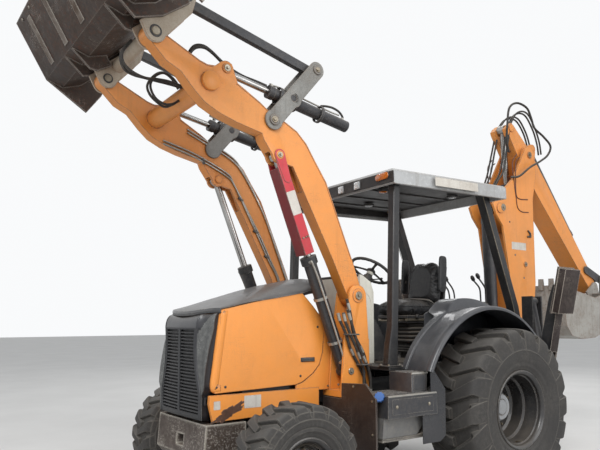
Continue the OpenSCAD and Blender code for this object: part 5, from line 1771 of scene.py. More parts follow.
@dataclass
class Hood:
    """The engine hood: panels with rolled front edges, a lofted top, the nose and the rails' plates."""

    paints: Paintbox
    half: float = 0.405
    crown: tuple = (
        (1.60, 1.800), (1.70, 1.776), (1.875, 1.742), (2.053, 1.695), (2.264, 1.628), (2.426, 1.574),
        (2.50, 1.553), (2.57, 1.532), (2.605, 1.516)
    )
    brim: tuple = (
        (1.60, 1.700), (1.70, 1.694), (1.771, 1.673), (2.022, 1.628), (2.259, 1.593), (2.489, 1.539),
        (2.55, 1.528), (2.605, 1.514)
    )

    def top(self) -> Patch:
        """The top, a bowed sheet rolled down in front.

        Its height is z = brim(x) + (crown(x) - brim(x)) * (1 - |t|^3)^0.7 over y = t * half, with its front
        bowed forward to x = 2.602 - 0.098 |t|^2.4 and rolled down, and a short wall turned down inside the
        side panels.

        Returns:
            The top's sheet.
        """
        t = np.sin(np.linspace(-np.pi / 2, np.pi / 2, 41))
        s = np.linspace(0.0, 1.0, 34)[:, None]
        x = 1.604 + s * (2.602 - 0.098 * np.abs(t) ** 2.4 - 1.604)
        crown = np.interp(x, *zip(*self.crown))
        brim = np.interp(x, *zip(*self.brim))
        z = brim + (crown - brim) * (1 - np.abs(t) ** 3) ** 0.7
        y = np.broadcast_to(t * self.half, x.shape)
        lip = np.array([(-0.004, -0.012), (-0.002, -0.022), (0.0, -0.030)])
        x = np.vstack([x, x[-1] + lip[:, :1] * -1.2])
        z = np.vstack([z, z[-1] + lip[:, 1:]])
        y = np.vstack([y, np.repeat(y[-1:], 3, 0)])
        rear = np.array([(0.0, -0.030), (-0.004, -0.012)])
        x = np.vstack([x[:1] + rear[:, :1], x])
        z = np.vstack([z[:1] + rear[:, 1:], z])
        y = np.vstack([np.repeat(y[:1], 2, 0), y])
        wall = np.array([(0.016, -0.030), (0.014, -0.006)])
        y = np.hstack([y[:, :1] + wall[:, 0], y, y[:, -1:] - wall[::-1, 0]])
        z = np.hstack([z[:, :1] + wall[:, 1], z, z[:, -1:] + wall[::-1, 1]])
        x = np.hstack([x[:, :1], x[:, :1], x, x[:, -1:], x[:, -1:]])
        pts = np.stack([x - AHEAD, y, z], -1)
        return Patch().add(pts.reshape(-1, 3), grid_faces(*x.shape))

    def rolled_edge(self) -> Patch:
        """A panel's front edge, swept down the edge and round its lower corner.

        The section is a strip and a quarter round of radius 0.024; each section lies in the plane of y and
        the edge's own normal.

        Returns:
            The left panel's edge.
        """
        line = smooth_path(
            [
                (2.502, 0, 1.527), (2.521, 0, 1.39), (2.541, 0, 1.25), (2.560, 0, 1.11), (2.573, 0, 1.02),
                (2.573, 0, 0.975), (2.562, 0, 0.949), (2.540, 0, 0.938), (2.500, 0, 0.938)
            ],
            44
        )
        along = np.gradient(line, axis=0)
        along /= np.linalg.norm(along, axis=1, keepdims=True)
        ahead = np.column_stack([-along[:, 2], along[:, 1] * 0, along[:, 0]])
        a = np.linspace(0.0, np.pi / 2, 8)
        r = 0.024
        back = np.concatenate([[0.060, 0.054], r - r * np.sin(a)])
        side = np.concatenate(
            [[self.half - 0.006, self.half + 0.0002], self.half - r + r * np.cos(a) + 0.0004]
        )
        pts = line[:, None, :] - ahead[:, None, :] * back[None, :, None]
        pts[:, :, 1] = side[None, :]
        return Patch().add(row(pts.reshape(-1, 3)), [f[::-1] for f in grid_faces(44, 10)])

    def fasteners(self) -> Patch:
        """Round-headed bolts on the side panels, and the latch's lever.

        Returns:
            The fasteners of both sides.
        """
        out = Patch()
        for x, z in ((2.533, 0.977), (2.462, 0.977), (1.80, 1.02), (1.63, 1.40)):
            out.join(
                revolve(
                    [(0.0, 0.0), (0.0, 0.010), (0.003, 0.009), (0.005, 0.005), (0.0055, 0.0)],
                    row((x, self.half, z)), (0, 1, 0), 14
                ),
                0
            )
        out.join(plate(oblong((1.672, 1.134), (1.790, 1.154), 0.006), 0.4125, 0.4155, 0.0015).in_row(), 1)
        return out.both()

    def rail_plates(self) -> Patch:
        """Bare white plates on the rails.

        Returns:
            The plates of both sides.
        """
        out = Patch()
        for x0, x1, z0, z1 in ((2.501, 2.554, 0.820, 0.881), (2.161, 2.305, 0.813, 0.904)):
            out.join(
                plate(oblong((x0, z0), (x1, z1), 0.006), self.half, self.half + 0.0016, 0.0006).in_row()
            )
        return out.both()

    def scrape(self) -> Patch:
        """Scraped patch on the left rail's nose: an ellipse whose edge three sines make ragged.

        Returns:
            The scraped patch.
        """
        a = np.linspace(0, 2 * np.pi, 90, endpoint=False)
        r = 1 + 0.16 * np.sin(5 * a + 0.6) + 0.10 * np.sin(11 * a) + 0.06 * np.sin(23 * a + 1.0)
        along, up = np.cos(a) * 0.135 * r, np.sin(a) * 0.034 * r
        turn = math.radians(-26.0)
        x = 2.428 + along * math.cos(turn) - up * math.sin(turn)
        z = 0.794 + along * math.sin(turn) + up * math.cos(turn)
        return plate(np.column_stack([x, z]), self.half, self.half + 0.0007, 0.0003).in_row()

    def face(self, y: np.ndarray) -> np.ndarray:
        """Place along X of the nose's bowed face: 2.640 - 0.012 (y / 0.35)^2."""
        return 2.640 - 0.012 * (y / 0.35) ** 2

    def face_edge(self, z: np.ndarray) -> np.ndarray:
        """Distance of the black face's edge from the middle, at each height."""
        heights = [0.748, 0.894, 0.926, 1.015, 1.106, 1.20, 1.30, 1.40]
        return np.interp(z, heights, [0.344, 0.344, 0.340, 0.308, 0.284, 0.268, 0.265, 0.277])

    def nose_shell(self) -> Patch:
        """Left half of the nose.

        Rows run up the face to z = 1.40 and over the brow by z = 1.40 + h sin(a), x = face - w (1 - cos(a));
        columns run from the middle to the black face's edge b(z), over a rounded rim, and back over the
        speckled cheek, a hollow sweep to its rear edge c(z).

        Returns:
            The left half, its faces tagged by finish.
        """
        low = np.concatenate([[0.748, 0.785, 0.789], np.linspace(0.82, 1.36, 16), [1.383, 1.387, 1.40]])
        arc = np.linspace(0, np.pi / 2, 25)[1:]
        z0 = np.concatenate([low, np.full(len(arc) + 2, 1.40)])
        a = np.concatenate([np.zeros(len(low)), arc, [np.pi / 2] * 2])
        extra = np.concatenate([np.zeros(len(low) + len(arc)), [0.03, 0.075]])
        edge = self.face_edge(z0)
        rear = np.interp(
            z0, [0.748, 0.913, 1.022, 1.112, 1.25, 1.388, 1.40],
            [2.632, 2.634, 2.630, 2.620, 2.596, 2.560, 2.557]
        )
        outer = np.interp(z0, [0.748, 0.925, 0.965], [0.366, 0.366, 0.3945])
        edge = np.minimum(edge, outer - 0.022)
        inset = [0.0, 0.016, 0.019]
        ys = [np.full_like(edge, v) for v in inset] + [edge - v for v in (0.034, 0.031, 0.016, 0.006)]
        bow = self.face(edge)
        xs = [self.face(y) for y in ys]
        open_row = ((z0 > 0.787) & (z0 < 1.385) & (a == 0)).astype(float)
        for k in (2, 3):
            xs[k] = xs[k] - 0.020 * open_row
        ring = np.linspace(0, np.pi, 7)[1:]
        for t in ring:
            ys.append(edge - 0.006 * np.cos(t))
            xs.append(bow + 0.007 * np.sin(t) - 0.004 * (1 - np.cos(t)))
        for t in np.linspace(0, 1, 25)[1:]:
            ys.append(edge + 0.006 + (outer - 0.0055 - edge) * t)
            xs.append(
                (bow - 0.008) * (1 - t) + rear * t
                - 0.030 * np.sin(np.pi * t) * (1 - t) * np.clip((z0 - 0.85) / 0.3, 0, 1)
            )
        for dx, dy in ((-0.004, 0.0), (-0.010, 0.0055), (-0.04, 0.0085)):
            ys.append(outer - dy)
            xs.append(rear + dx)
        ys.append(outer - 0.0105)
        xs.append(np.minimum(rear - 0.06, np.interp(z0, [0.748, 1.40], [2.55, 2.47])))
        y, x = np.array(ys).T, np.array(xs).T
        share = np.clip(y / 0.39, 0, 1)
        x = x - (0.070 - 0.032 * share ** 2) * (1 - np.cos(a))[:, None] - extra[:, None]
        z = z0[:, None] + (0.088 + 0.020 * share ** 2) * np.sin(a)[:, None]
        out = Patch().add(np.stack([x - AHEAD, y, z], -1).reshape(-1, 3), grid_faces(*x.shape))
        cols = x.shape[1]
        line = np.interp(y, [0.0, 0.262, 0.275, 0.31, 0.34, 0.39], [1.30, 1.30, 1.345, 1.425, 1.474, 1.50])
        for i, f in enumerate(out.faces):
            r, c = divmod(min(f), cols)
            cheek = 12 <= c <= 37 and z[r, c] < line[r, c]
            brow = z[r, c] > 1.392 or 6 <= c < 12
            out.tags[i] = 1 if cheek else (0 if c > 37 else (2 if brow else 0))
        return out

    def louvres(self) -> Patch:
        """Slats of the grille in two columns, each leaning forward at its lower edge, and the hinge ears.

        Returns:
            The slats of both columns.
        """
        out = Patch()
        for z in np.arange(0.806, 1.378, 0.0245):
            edge = float(self.face_edge(z)) - 0.0335
            y = np.linspace(0.0185, edge, 8)
            x = self.face(y)
            section = [
                (-0.020, 0.006), (-0.004, -0.001), (-0.001, -0.005), (-0.002, -0.009), (-0.005, -0.010),
                (-0.020, -0.006)
            ]
            pts = np.array([[(x[i] + dx - AHEAD, y[i], z + dz) for dx, dz in section] for i in range(8)])
            out.add(pts.reshape(-1, 3), [f[::-1] for f in closed_faces(8, 6)])
        out.join(plate(disc_outline((2.570, 0.880), 0.028), 0.352, 0.370, 0.002).in_row())
        out.join(brick((2.570, 0.352, 0.852), (2.612, 0.370, 0.908), 0.002))
        return out.both()

    def nose(self) -> None:
        """The nose in three finishes: black louvres, a glossy black brow and speckled cheeks."""
        p = self.paints
        shell = make_object(
            "nose_shell", self.nose_shell().both(),
            [p["grille_plastic"], p["speckled_plastic"], p["brow_paint"]], "hood", 40.0
        )
        thicken(shell, 0.004)
        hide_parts("grille")
        make_object("nose_louvres", self.louvres(), [p["grille_plastic"]], "hood", 35.0)

    def build(self) -> set[str]:
        """Makes the hood's pieces and names the nodes they stand for.

        Returns:
            Names of the nodes that get a piece of their own.
        """
        top = make_object(
            "hood_top_lofted", self.top(), [self.paints["hood_top_paint"]], "hood", 32.0
        )
        thicken(top, 0.007)
        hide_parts("hood_top")
        edge = make_object(
            "hood_rolled_edges", self.rolled_edge().both(), [self.paints["orange_paint"]], "hood", 60.0,
        )
        thicken(edge, 0.003)

        def latch(at: np.ndarray, facing: np.ndarray) -> np.ndarray:
            """Picks the latch, which stands proud of the panel."""
            return (np.abs(at[:, 1]) > 0.4062).astype(int)

        skin("hood_sides", [self.paints["orange_paint"], self.paints["black_plastic"]], 0.003, latch)
        rows = (
            ("hood_fasteners", self.fasteners(), "black_plastic dark_grey_paint", "hood", 35.0, "plastic"),
            ("rail_plates", self.rail_plates(), "white_plate", "chassis", 35.0, "light_grey"),
            ("rail_scrape", self.scrape(), "rusty_steel", "chassis", 35.0, "worn_steel"),
        )
        make_all(self.paints, rows)
        self.nose()
        return {"hood_top", "hood_sides", "grille"}


@dataclass
class Loader:
    """Dressing of the loader: hoses, lines, pin faces, the red safety strut and the bucket's wear parts."""

    paints: Paintbox
    arm_in: float = 0.436
    lift_pin: tuple[float, float] = (2.090, 2.702)
    lift_base: tuple[float, float] = (1.430, 1.050)
    arm_foot: tuple[float, float] = (1.350, 1.650)
    cross_tube: tuple[float, float] = (2.682, 3.141)
    rod_pin: tuple[float, float] = (2.548, 3.267)
    trunnion: tuple[float, float] = (1.968, 3.166)
    crank_foot: tuple[float, float] = (2.150, 2.960)
    crank_top: tuple[float, float] = (1.743, 3.445)
    heel: tuple[float, float] = (3.398, 3.558)
    tilt: float = 59.7

    def hoses(self) -> Patch:
        """Rubber hoses by the left arm: an arched pair, S-bends to the coupler and loops by the cross tube.

        Returns:
            The hoses.
        """
        out = Patch()
        for dy, rise in ((0.0, 0.0), (0.022, -0.024)):
            over = [
                (2.79, 0.370 + dy, 3.235), (2.785, 0.370 + dy, 3.32), (2.762, 0.370 + dy, 3.40 + rise / 2),
                (2.716, 0.370 + dy, 3.462 + rise), (2.647, 0.370 + dy, 3.478 + rise),
                (2.58, 0.370 + dy, 3.452 + rise), (2.513, 0.365 + dy, 3.412 + rise),
                (2.455, 0.360 + dy, 3.382 + rise), (2.385, 0.355 + dy, 3.357 + rise),
                (2.295, 0.355 + dy, 3.333 + rise), (2.19, 0.365 + dy, 3.315 + rise),
                (2.10, 0.375 + dy, 3.296 + rise)
            ]
            out.join(hose(row(over), 0.0105, 60, 10))
        for k, dy in enumerate((0.0, 0.03)):
            s_bend = [
                (3.150, 0.25 - dy, 3.43), (3.205, 0.25 - dy, 3.35 - 0.01 * k), (3.215, 0.25 - dy, 3.283),
                (3.185, 0.25 - dy, 3.23 - 0.01 * k), (3.12, 0.25 - dy, 3.195),
                (3.04, 0.25 - dy, 3.180 + 0.012 * k), (2.96, 0.25 - dy, 3.190),
                (2.87, 0.25 - dy, 3.195 - 0.006 * k), (2.79, 0.25 - dy, 3.186), (2.745, 0.25 - dy, 3.183)
            ]
            out.join(hose(row(s_bend), 0.0105, 60, 10))
            loop = [
                (2.74, 0.17 - dy, 3.20), (2.80, 0.17 - dy, 3.262 + 0.012 * k),
                (2.87, 0.17 - dy, 3.285 + 0.014 * k), (2.935, 0.17 - dy, 3.248 + 0.01 * k),
                (2.972 + 0.012 * k, 0.17 - dy, 3.178), (2.958 + 0.01 * k, 0.17 - dy, 3.115),
                (2.915, 0.17 - dy, 3.068), (2.85, 0.17 - dy, 3.05 - 0.01 * k), (2.79, 0.17 - dy, 3.068),
                (2.748, 0.17 - dy, 3.10)
            ]
            out.join(hose(row(loop), 0.0095, 60, 10))
        return out

    def lines(self) -> Patch:
        """Steel lines in clamps on the arms' inner faces: a low pair on both, a high pair on the right.

        Returns:
            The lines and their clamps.
        """
        out = Patch()
        for k in (0, 1):
            d = 0.028 * k
            low = [
                (2.62, 0, 2.965 - d), (2.366, 0, 2.905 - d), (2.166, 0, 2.835 - d), (1.998, 0, 2.760 - d),
                (1.945 - d * 0.3, 0, 2.688 - d * 0.6), (1.812 - d * 0.6, 0, 2.455 - d * 0.3),
                (1.676 - d * 0.8, 0, 2.211), (1.575 - d * 0.8, 0, 2.020), (1.515 - d * 0.6, 0, 1.925),
                (1.478 - d * 0.5, 0, 1.86), (1.455 - d * 0.5, 0, 1.80)
            ]
            high = [
                (2.40, 0, 3.10 - d), (2.20, 0, 3.02 - d), (2.05, 0, 2.965 - d), (1.935, 0, 2.905 - d),
                (1.862, 0, 2.825 - d * 0.6), (1.745, 0, 2.650 - d * 0.3), (1.605, 0, 2.400),
                (1.455 + d * 0.3, 0, 2.060), (1.355 + d * 0.4, 0, 1.82)
            ]
            for side, line in ((1, low), (-1, low), (-1, high)):
                pts = np.array(line)
                pts[:, 1] = side * (self.arm_in - 0.0115)
                out.join(hose(row(pts), 0.0075, 70, 8))
        for side in (-1, 1):
            for x, z, turn in (
                (2.25, 2.855, -20), (1.88, 2.555, -60), (1.72, 2.27, -62), (1.60, 2.045, -62)
            ):
                c, s = math.cos(math.radians(turn)), math.sin(math.radians(turn))
                corners = [
                    (x + c * u - s * v, z + s * u + c * v)
                    for u, v in ((-0.010, -0.040), (0.010, -0.040), (0.010, 0.012), (-0.010, 0.012))
                ]
                y0, y1 = sorted((side * (self.arm_in - 0.0205), side * (self.arm_in + 0.001)))
                out.join(plate(rounded(corners, 0.004, 3), y0, y1, 0.002, 1).in_row())
        return out

    def strut(self) -> Patch:
        """The safety strut: a channel round the left lift rod, eyed at the arm's pin, with a white band.

        Returns:
            The strut, its faces tagged by finish.
        """
        top, low = np.array(self.lift_pin), np.array([1.802, 1.968])
        d = (low - top) / np.linalg.norm(low - top)
        n = np.array([-d[1], d[0]])
        length = float(np.linalg.norm(low - top))

        def flat(pairs: list, y0: float, y1: float, tag: int = 0) -> Patch:
            """A plate whose outline is given along and across the strut."""
            pts = np.array([top + d * u + n * v for u, v in pairs])
            return plate(rounded(pts, 0.008, 4), y0, y1, 0.0015, tag).in_row()

        out = Patch()
        eye = [
            (0.045 * math.cos(a), 0.045 * math.sin(a)) for a in np.linspace(math.pi / 2, math.pi * 1.5, 14)
        ]
        flange = eye[::-1] + [(0.10, 0.055), (length, 0.055), (length, -0.036), (0.10, -0.036)]
        for y0 in (0.5485, 0.4295):
            out.join(flat([(u, v) for u, v in flange][::-1], y0, y0 + 0.005))
        # painted shade: the channel's web, facing forward and down, is drawn in a darker copy of the strut's
        # red
        out.join(flat([(0.09, 0.050), (length, 0.050), (length, 0.056), (0.09, 0.056)], 0.4295, 0.5535, 1))
        tongue = eye[::-1] + [(0.20, 0.034), (0.225, 0.0), (0.20, -0.030)]
        out.join(flat(tongue[::-1], 0.5536, 0.5576))
        out.join(flat([(0.285, 0.052), (0.47, 0.052), (0.47, -0.033), (0.285, -0.033)], 0.5536, 0.5546, 2))
        for u, v in ((0.655, 0.028), (0.655, -0.02)):
            at = top + d * u + n * v
            out.join(hex_head(row((at[0], 0.5536, at[1])), (0, 1, 0), 0.014, 0.010, 3))
        at = top + d * 0.655
        out.join(shaft((at[0], at[1]), 0.006, 0.425, 0.566, 3))
        return out

    def pins(self) -> Patch:
        """Bright faces and keeper bolts on the arms' pins, and a washer at the arm's foot.

        Returns:
            The pin faces of both sides.
        """
        out = Patch()
        for (x, z), r, y in (
            (self.rod_pin, 0.026, 0.558), (self.arm_foot, 0.034, 0.589), (self.lift_pin, 0.022, 0.5577),
            (self.lift_base, 0.028, 0.578)
        ):
            out.join(pin_face((x, z), r, y, 0.006, r * 0.8, 0.011))
        out.join(shaft(self.arm_foot, 0.058, 0.578, 0.583, 1, 0.002))
        return out.both()

    def coupler_pins(self) -> Patch:
        """Bright pin ends, each ringed by a thin black disc that paints the shade of the hole round it, on
        both sides of each coupler plate's lower end.

        Returns:
            The pin ends of both sides.
        """
        out = Patch()
        for x, z, r in ((3.100, 3.385, 0.030), (2.870, 3.700, 0.026)):
            # painted shade: a thin black disc wider than the pin stands in for the shaded hole round it,
            # outside and inside
            out.join(shaft((x, z), r + 0.014, 0.5725, 0.5750, 1, 0.0008))
            out.join(shaft((x, z), r, 0.573, 0.581, 0, 0.002))
            out.join(shaft((x, z), r + 0.010, 0.4065, 0.4092, 1, 0.0008))
            out.join(shaft((x, z), r - 0.002, 0.400, 0.408, 0, 0.002))
        return out.both()

    def seams(self) -> Patch:
        """A thin strip along each upper edge of the arms, and the cross tube's end discs.

        Returns:
            The strips of both arms.
        """
        out = Patch()
        upper = [(3.06, 3.405), (2.759, 3.268), (2.700, 3.252), (2.655, 3.257)]
        lower = [
            (2.465, 3.172), (2.264, 3.068), (2.193, 3.021), (2.047, 2.964), (1.932, 2.907), (1.843, 2.824),
            (1.751, 2.687), (1.652, 2.547), (1.392, 1.945)
        ]
        for line in (upper, lower):
            for y in (0.5465, 0.4355):
                pts = np.array([(x, y, z) for x, z in line])
                out.join(tube(row(pts), 0.0035, 6))
        out.join(shaft(self.cross_tube, 0.070, 0.546, 0.578, 0, 0.004, 48))
        return out.both()

    def crank_bolts(self) -> Patch:
        """Bolted pin faces, and on each crank plate a thin black half-round arc that paints the crescent
        shadow beside the trunnion.

        Returns:
            The bolts of both sides.
        """
        out = Patch()
        y = 0.575
        for (x, z), r in ((self.crank_foot, 0.034), (self.crank_top, 0.030), (self.trunnion, 0.0)):
            if r:
                out.join(shaft((x, z), r + 0.008, y - 0.006, y + 0.002, 1, 0.002))
                out.join(shaft((x, z), r - 0.008, y, y + 0.007, 0, 0.002))
                out.join(hex_head(row((x + 0.004, y + 0.006, z - 0.002)), (0, 1, 0), 0.026, 0.011, 0))
            else:
                # painted shadow: a thin black arc on the trunnion's rear side stands in for its crescent
                # shadow
                a = np.linspace(math.radians(100), math.radians(235), 16)
                arc = np.column_stack([x + 0.034 * np.cos(a), np.full(16, y), z + 0.034 * np.sin(a)])
                out.join(tube(row(arc), 0.003, 8, 2))
        return out.both()

    def ports(self) -> Patch:
        """Fittings on the tilt cylinders: a bright line, its bands, a hose arch and two ports.

        Returns:
            The fittings of both cylinders.
        """
        out = Patch()
        base = np.array(self.trunnion)
        axis = np.array(self.rod_pin) - base
        axis /= np.linalg.norm(axis)
        up = np.array([-axis[1], axis[0]])

        def at(u: float, v: float, y: float) -> tuple[float, float, float]:
            """A place along the cylinder from its trunnion, above its axis."""
            c = base + axis * u + up * v
            return float(c[0]), y, float(c[1])

        pipe = [
            at(0.165, 0.066, 0.47), at(0.12, 0.082, 0.468), at(0.0, 0.084, 0.468), at(-0.2, 0.082, 0.468),
            at(-0.42, 0.080, 0.468), at(-0.52, 0.085, 0.468)
        ]
        out.join(hose(row(pipe), 0.007, 40, 8, 1))
        for u in (-0.30, -0.05, 0.10):
            out.join(
                revolve(
                    [(-0.012, 0.060), (-0.012, 0.069), (0.012, 0.069), (0.012, 0.060)],
                    row(at(u, 0.0, 0.491)), (axis[0], 0, axis[1]), 36, 2
                )
            )
        arch = [
            at(-0.555, 0.050, 0.470), at(-0.560, 0.085, 0.466), at(-0.52, 0.118, 0.462),
            at(-0.45, 0.128, 0.460), at(-0.38, 0.115, 0.460), at(-0.33, 0.096, 0.462)
        ]
        out.join(hose(row(arch), 0.0095, 36, 9, 0))
        for u, v in ((-0.555, 0.058), (0.165, 0.068)):
            out.join(
                tube(np.array([row(at(u, v - 0.012, 0.470)), row(at(u, v + 0.012, 0.470))]), 0.017, 6, 1)
            )
        return out.both()

    def lift_pipes(self) -> Patch:
        """A bright line along each lift barrel, with clamps, elbows and the gland's collar.

        Returns:
            The pipes of both cylinders.
        """
        base, top = np.array(self.lift_base), np.array(self.lift_pin)
        axis = (top - base) / np.linalg.norm(top - base)
        out_dir = np.array([axis[1], -axis[0]])

        def at(u: float, v: float, y: float) -> tuple[float, float, float]:
            """A place along the cylinder from its base pin, ahead of its axis."""
            c = base + axis * u + out_dir * v
            return float(c[0]), y, float(c[1])

        out = Patch()
        pipe = [
            at(0.925, 0.030, 0.530), at(0.930, 0.030, 0.560), at(0.90, 0.026, 0.562), at(0.80, 0.018, 0.561),
            at(0.60, 0.014, 0.560), at(0.35, 0.014, 0.560), at(0.14, 0.020, 0.560), at(0.09, 0.040, 0.545)
        ]
        out.join(hose(row(pipe), 0.0085, 50, 9, 1))
        for u in (0.25, 0.62):
            out.join(
                revolve(
                    [(-0.011, 0.052), (-0.011, 0.0605), (0.011, 0.0605), (0.011, 0.052)],
                    row(at(u, 0.0, 0.491)), (axis[0], 0, axis[1]), 36, 1
                )
            )
        for u, v in ((0.925, 0.030), (0.09, 0.040)):
            out.join(tube(np.array([row(at(u, v, 0.530)), row(at(u, v, 0.556))]), 0.016, 6, 1))
        out.join(
            revolve(
                [(0.905, 0.050), (0.905, 0.066), (0.965, 0.066), (0.968, 0.060), (0.968, 0.032)],
                row((base[0], 0.491, base[1])), (axis[0], 0, axis[1]), 40, 2
            )
        )
        return out.both()

    def bucket_wear(self) -> Patch:
        """Wear strips under the bucket's floor, and a row of bolts behind its lip.

        Returns:
            The wear parts.
        """
        a = math.radians(self.tilt)
        c, s = math.cos(a), math.sin(a)

        def strip(pairs: list, y0: float, y1: float) -> Patch:
            """A plate whose outline is given from the heel, along the floor and up from it."""
            pts = np.array([(self.heel[0] + c * u - s * v, self.heel[1] + s * u + c * v) for u, v in pairs])
            return plate(pts, y0, y1, 0.002).in_row()

        bolts_at, sunk = 0.472, 0.004
        out = Patch()
        for y in (-0.86, -0.43, 0.0, 0.43, 0.86):
            out.join(
                strip([(0.04, -0.007), (0.44, -0.007), (0.44, 0.001), (0.04, 0.001)], y - 0.04, y + 0.04)
            )
        for y in np.linspace(-1.0, 1.0, 9):
            x, z = self.heel[0] + c * bolts_at + s * sunk, self.heel[1] + s * bolts_at - c * sunk
            out.join(hex_head(row((x, float(y), z)), (s, 0, -c), 0.022, 0.008))
        return out

    def build(self) -> set[str]:
        """Makes the pieces; the solids themselves get skins.

        Returns:
            An empty set, since each loader node gets a skin.
        """
        p = self.paints
        rows = (
            ("loader_hoses", self.hoses(), "hose_rubber", "loader_arms", 60.0, "plastic"),
            ("loader_lines", self.lines(), "line_steel dark_grey_paint", "loader_arms", 60.0, "rod"),
            (
                "safety_strut", self.strut(), "red_paint dark_red_paint white_plate zinc_fitting",
                "loader_arms", 35.0, "orange"
            ),
            ("loader_pin_faces", self.pins(), "zinc_fitting orange_arm_paint", "loader_arms", 35.0, "rod"),
            ("coupler_pin_faces", self.coupler_pins(), "zinc_fitting black_paint", "bucket", 35.0, "rod"),
            ("arm_seams", self.seams(), "orange_arm_paint", "loader_arms", 60.0, "orange"),
            (
                "crank_pin_faces", self.crank_bolts(), "zinc_fitting grey_paint black_paint", "bell_cranks",
                35.0, "rod"
            ),
            (
                "tilt_ports", self.ports(), "hose_rubber line_steel dark_grey_paint", "tilt_barrels", 50.0,
                "rod"
            ),
            (
                "lift_pipes", self.lift_pipes(), "hose_rubber line_steel black_paint", "lift_barrels", 50.0,
                "rod"
            ),
            ("bucket_wear_parts", self.bucket_wear(), "scraped_steel", "bucket", 35.0, "worn_steel")
        )
        make_all(p, rows)
        return set()


@dataclass
class Canopy:
    """The dressing of the roof, which leans forward a little: front board, lamps, strips and beads."""

    paints: Paintbox
    rear: float = -0.335
    front: float = 1.160
    half: float = 0.830
    top: float = 2.725
    lean: float = 1.4
    post: tuple[float, float] = (1.112, 0.710)

    def tilted(self, patch: Patch) -> Patch:
        """Carries a patch drawn level from the roof's upper rear edge (x ahead, z up) to its place.

        Args:
            patch: the shell.

        Returns:
            The moved shell.
        """
        place = Matrix.Translation(
            (self.rear - AHEAD, 0.0, self.top)
        ) @ Matrix.Rotation(math.radians(self.lean), 4, "Y")
        return patch.moved(place)

    def board_and_painted_shade(self) -> Patch:
        """Black front board, a black sheet under the roof sheet that paints the shade beneath the roof, and
        beads pressed along the sheet.

        Returns:
            The board, the sheet of painted shade and the beads.
        """
        length = self.front - self.rear
        out = Patch()
        out.join(
            plate(
                oblong((-self.half + 0.012, -0.118), (self.half - 0.012, -0.024), 0.012), length - 0.001,
                length + 0.0045, 0.002, 0, "x"
            )
        )
        # painted shade: a black sheet under nearly the whole roof, with the black beads and ribs below it,
        # stands in for the shade under the roof
        out.join(
            plate(
                oblong((0.045, -self.half + 0.036), (length - 0.045, self.half - 0.036), 0.03), -0.040,
                -0.0262, 0.003, 0, "z"
            )
        )
        for y in (-0.5, -0.17, 0.17, 0.5):
            out.join(
                plate(
                    oblong((0.12, y - 0.03), (length - 0.12, y + 0.03), 0.02), -0.052, -0.039, 0.005, 0, "z"
                )
            )
        for y in (-0.74, 0.74):
            out.join(
                plate(
                    oblong((0.06, y - 0.02), (length - 0.06, y + 0.02), 0.01), -0.100, -0.039, 0.004, 0, "z"
                )
            )
        return self.tilted(out)

    def strips(self) -> Patch:
        """A bare paler strip on each side of the sheet's edge.

        Returns:
            The strips of both sides.
        """
        out = plate(
            oblong((0.455, -0.106), (1.020, -0.030), 0.006), self.half - 0.0002, self.half + 0.0012, 0.0004
        )
        return self.tilted(out.both())

    def lamps(self) -> dict[str, Patch]:
        """Housings and lenses: an amber bar and two work lamps on each side, and small lamps beneath.

        Returns:
            The shells by kind: housing, clear and amber.
        """
        length = self.front - self.rear
        housing, clear, amber = Patch(), Patch(), Patch()
        for y in (0.151, 0.370):
            ring = oblong((y - 0.048, -0.111), (y + 0.048, -0.031), 0.012)
            housing.join(plate(ring, length + 0.002, length + 0.011, 0.003, 0, "x"))
            t = np.linspace(-1, 1, 13)
            u, v = np.meshgrid(t, t, indexing="ij")
            bulge = 0.007 * (1 - u**4) * (1 - v**4)
            pts = np.stack([length + 0.0095 + bulge, y + u * 0.041, -0.071 + v * 0.034], -1)
            clear.add(pts.reshape(-1, 3), grid_faces(13, 13))
        bar = np.vstack(
            [
                disc_outline((0.735, -0.053), 0.028, 24)[18:], disc_outline((0.735, -0.053), 0.028, 24)[:7],
                disc_outline((0.635, -0.058), 0.028, 24)[6:19]
            ]
        )
        housing.join(plate(inset_outline(bar, -0.006), length + 0.002, length + 0.0085, 0.002, 0, "x"))
        amber.join(plate(bar, length + 0.008, length + 0.0165, 0.006, 0, "x"))
        for shell in (housing, clear, amber):
            shell.join(shell.mirrored())
        for x, y, kind in ((1.10, 0.27, amber), (0.72, -0.35, clear), (0.30, 0.40, clear)):
            housing.join(
                revolve(
                    [
                        (0.0, 0.0), (0.0, 0.055), (-0.018, 0.052), (-0.020, 0.046), (-0.014, 0.044),
                        (-0.014, 0.0)
                    ][::-1],
                    (x, y, -0.052), (0, 0, 1), 28
                )
            )
            kind.join(
                revolve(
                    [(-0.013, 0.044), (-0.024, 0.036), (-0.029, 0.018), (-0.030, 0.0)], (x, y, -0.052),
                    (0, 0, 1), 28
                )
            )
        return {"housing": self.tilted(housing), "clear": self.tilted(clear), "amber": self.tilted(amber)}

    def post_feet_and_highlight(self) -> Patch:
        """Bolted foot flanges of the front posts, and a bright line along each rear post's edge that paints
        a highlight.

        Returns:
            The foot flanges and painted highlights of both sides.
        """
        out = Patch()
        x, y = self.post
        out.join(brick((x - 0.055, y - 0.06, 1.081), (x + 0.095, y + 0.06, 1.092), 0.003))
        for dx, dy in ((-0.04, -0.045), (-0.04, 0.045), (0.08, -0.045), (0.08, 0.045)):
            out.join(hex_head(row((x + dx, y + dy, 1.091)), (0, 0, 1), 0.019, 0.010, 1))
        # painted highlight: a thin bright zinc tube along the rear post's rounded edge stands in for the
        # light caught there
        edge = np.array([(-0.742, 0.647, 1.10), (-0.604, 0.647, 1.592), (-0.165, 0.647, 2.69)])
        out.join(tube(row(edge[[0, 1]]), 0.0035, 6, 1))
        out.join(tube(row(edge[[1, 2]]), 0.0035, 6, 1))
        return out.both()

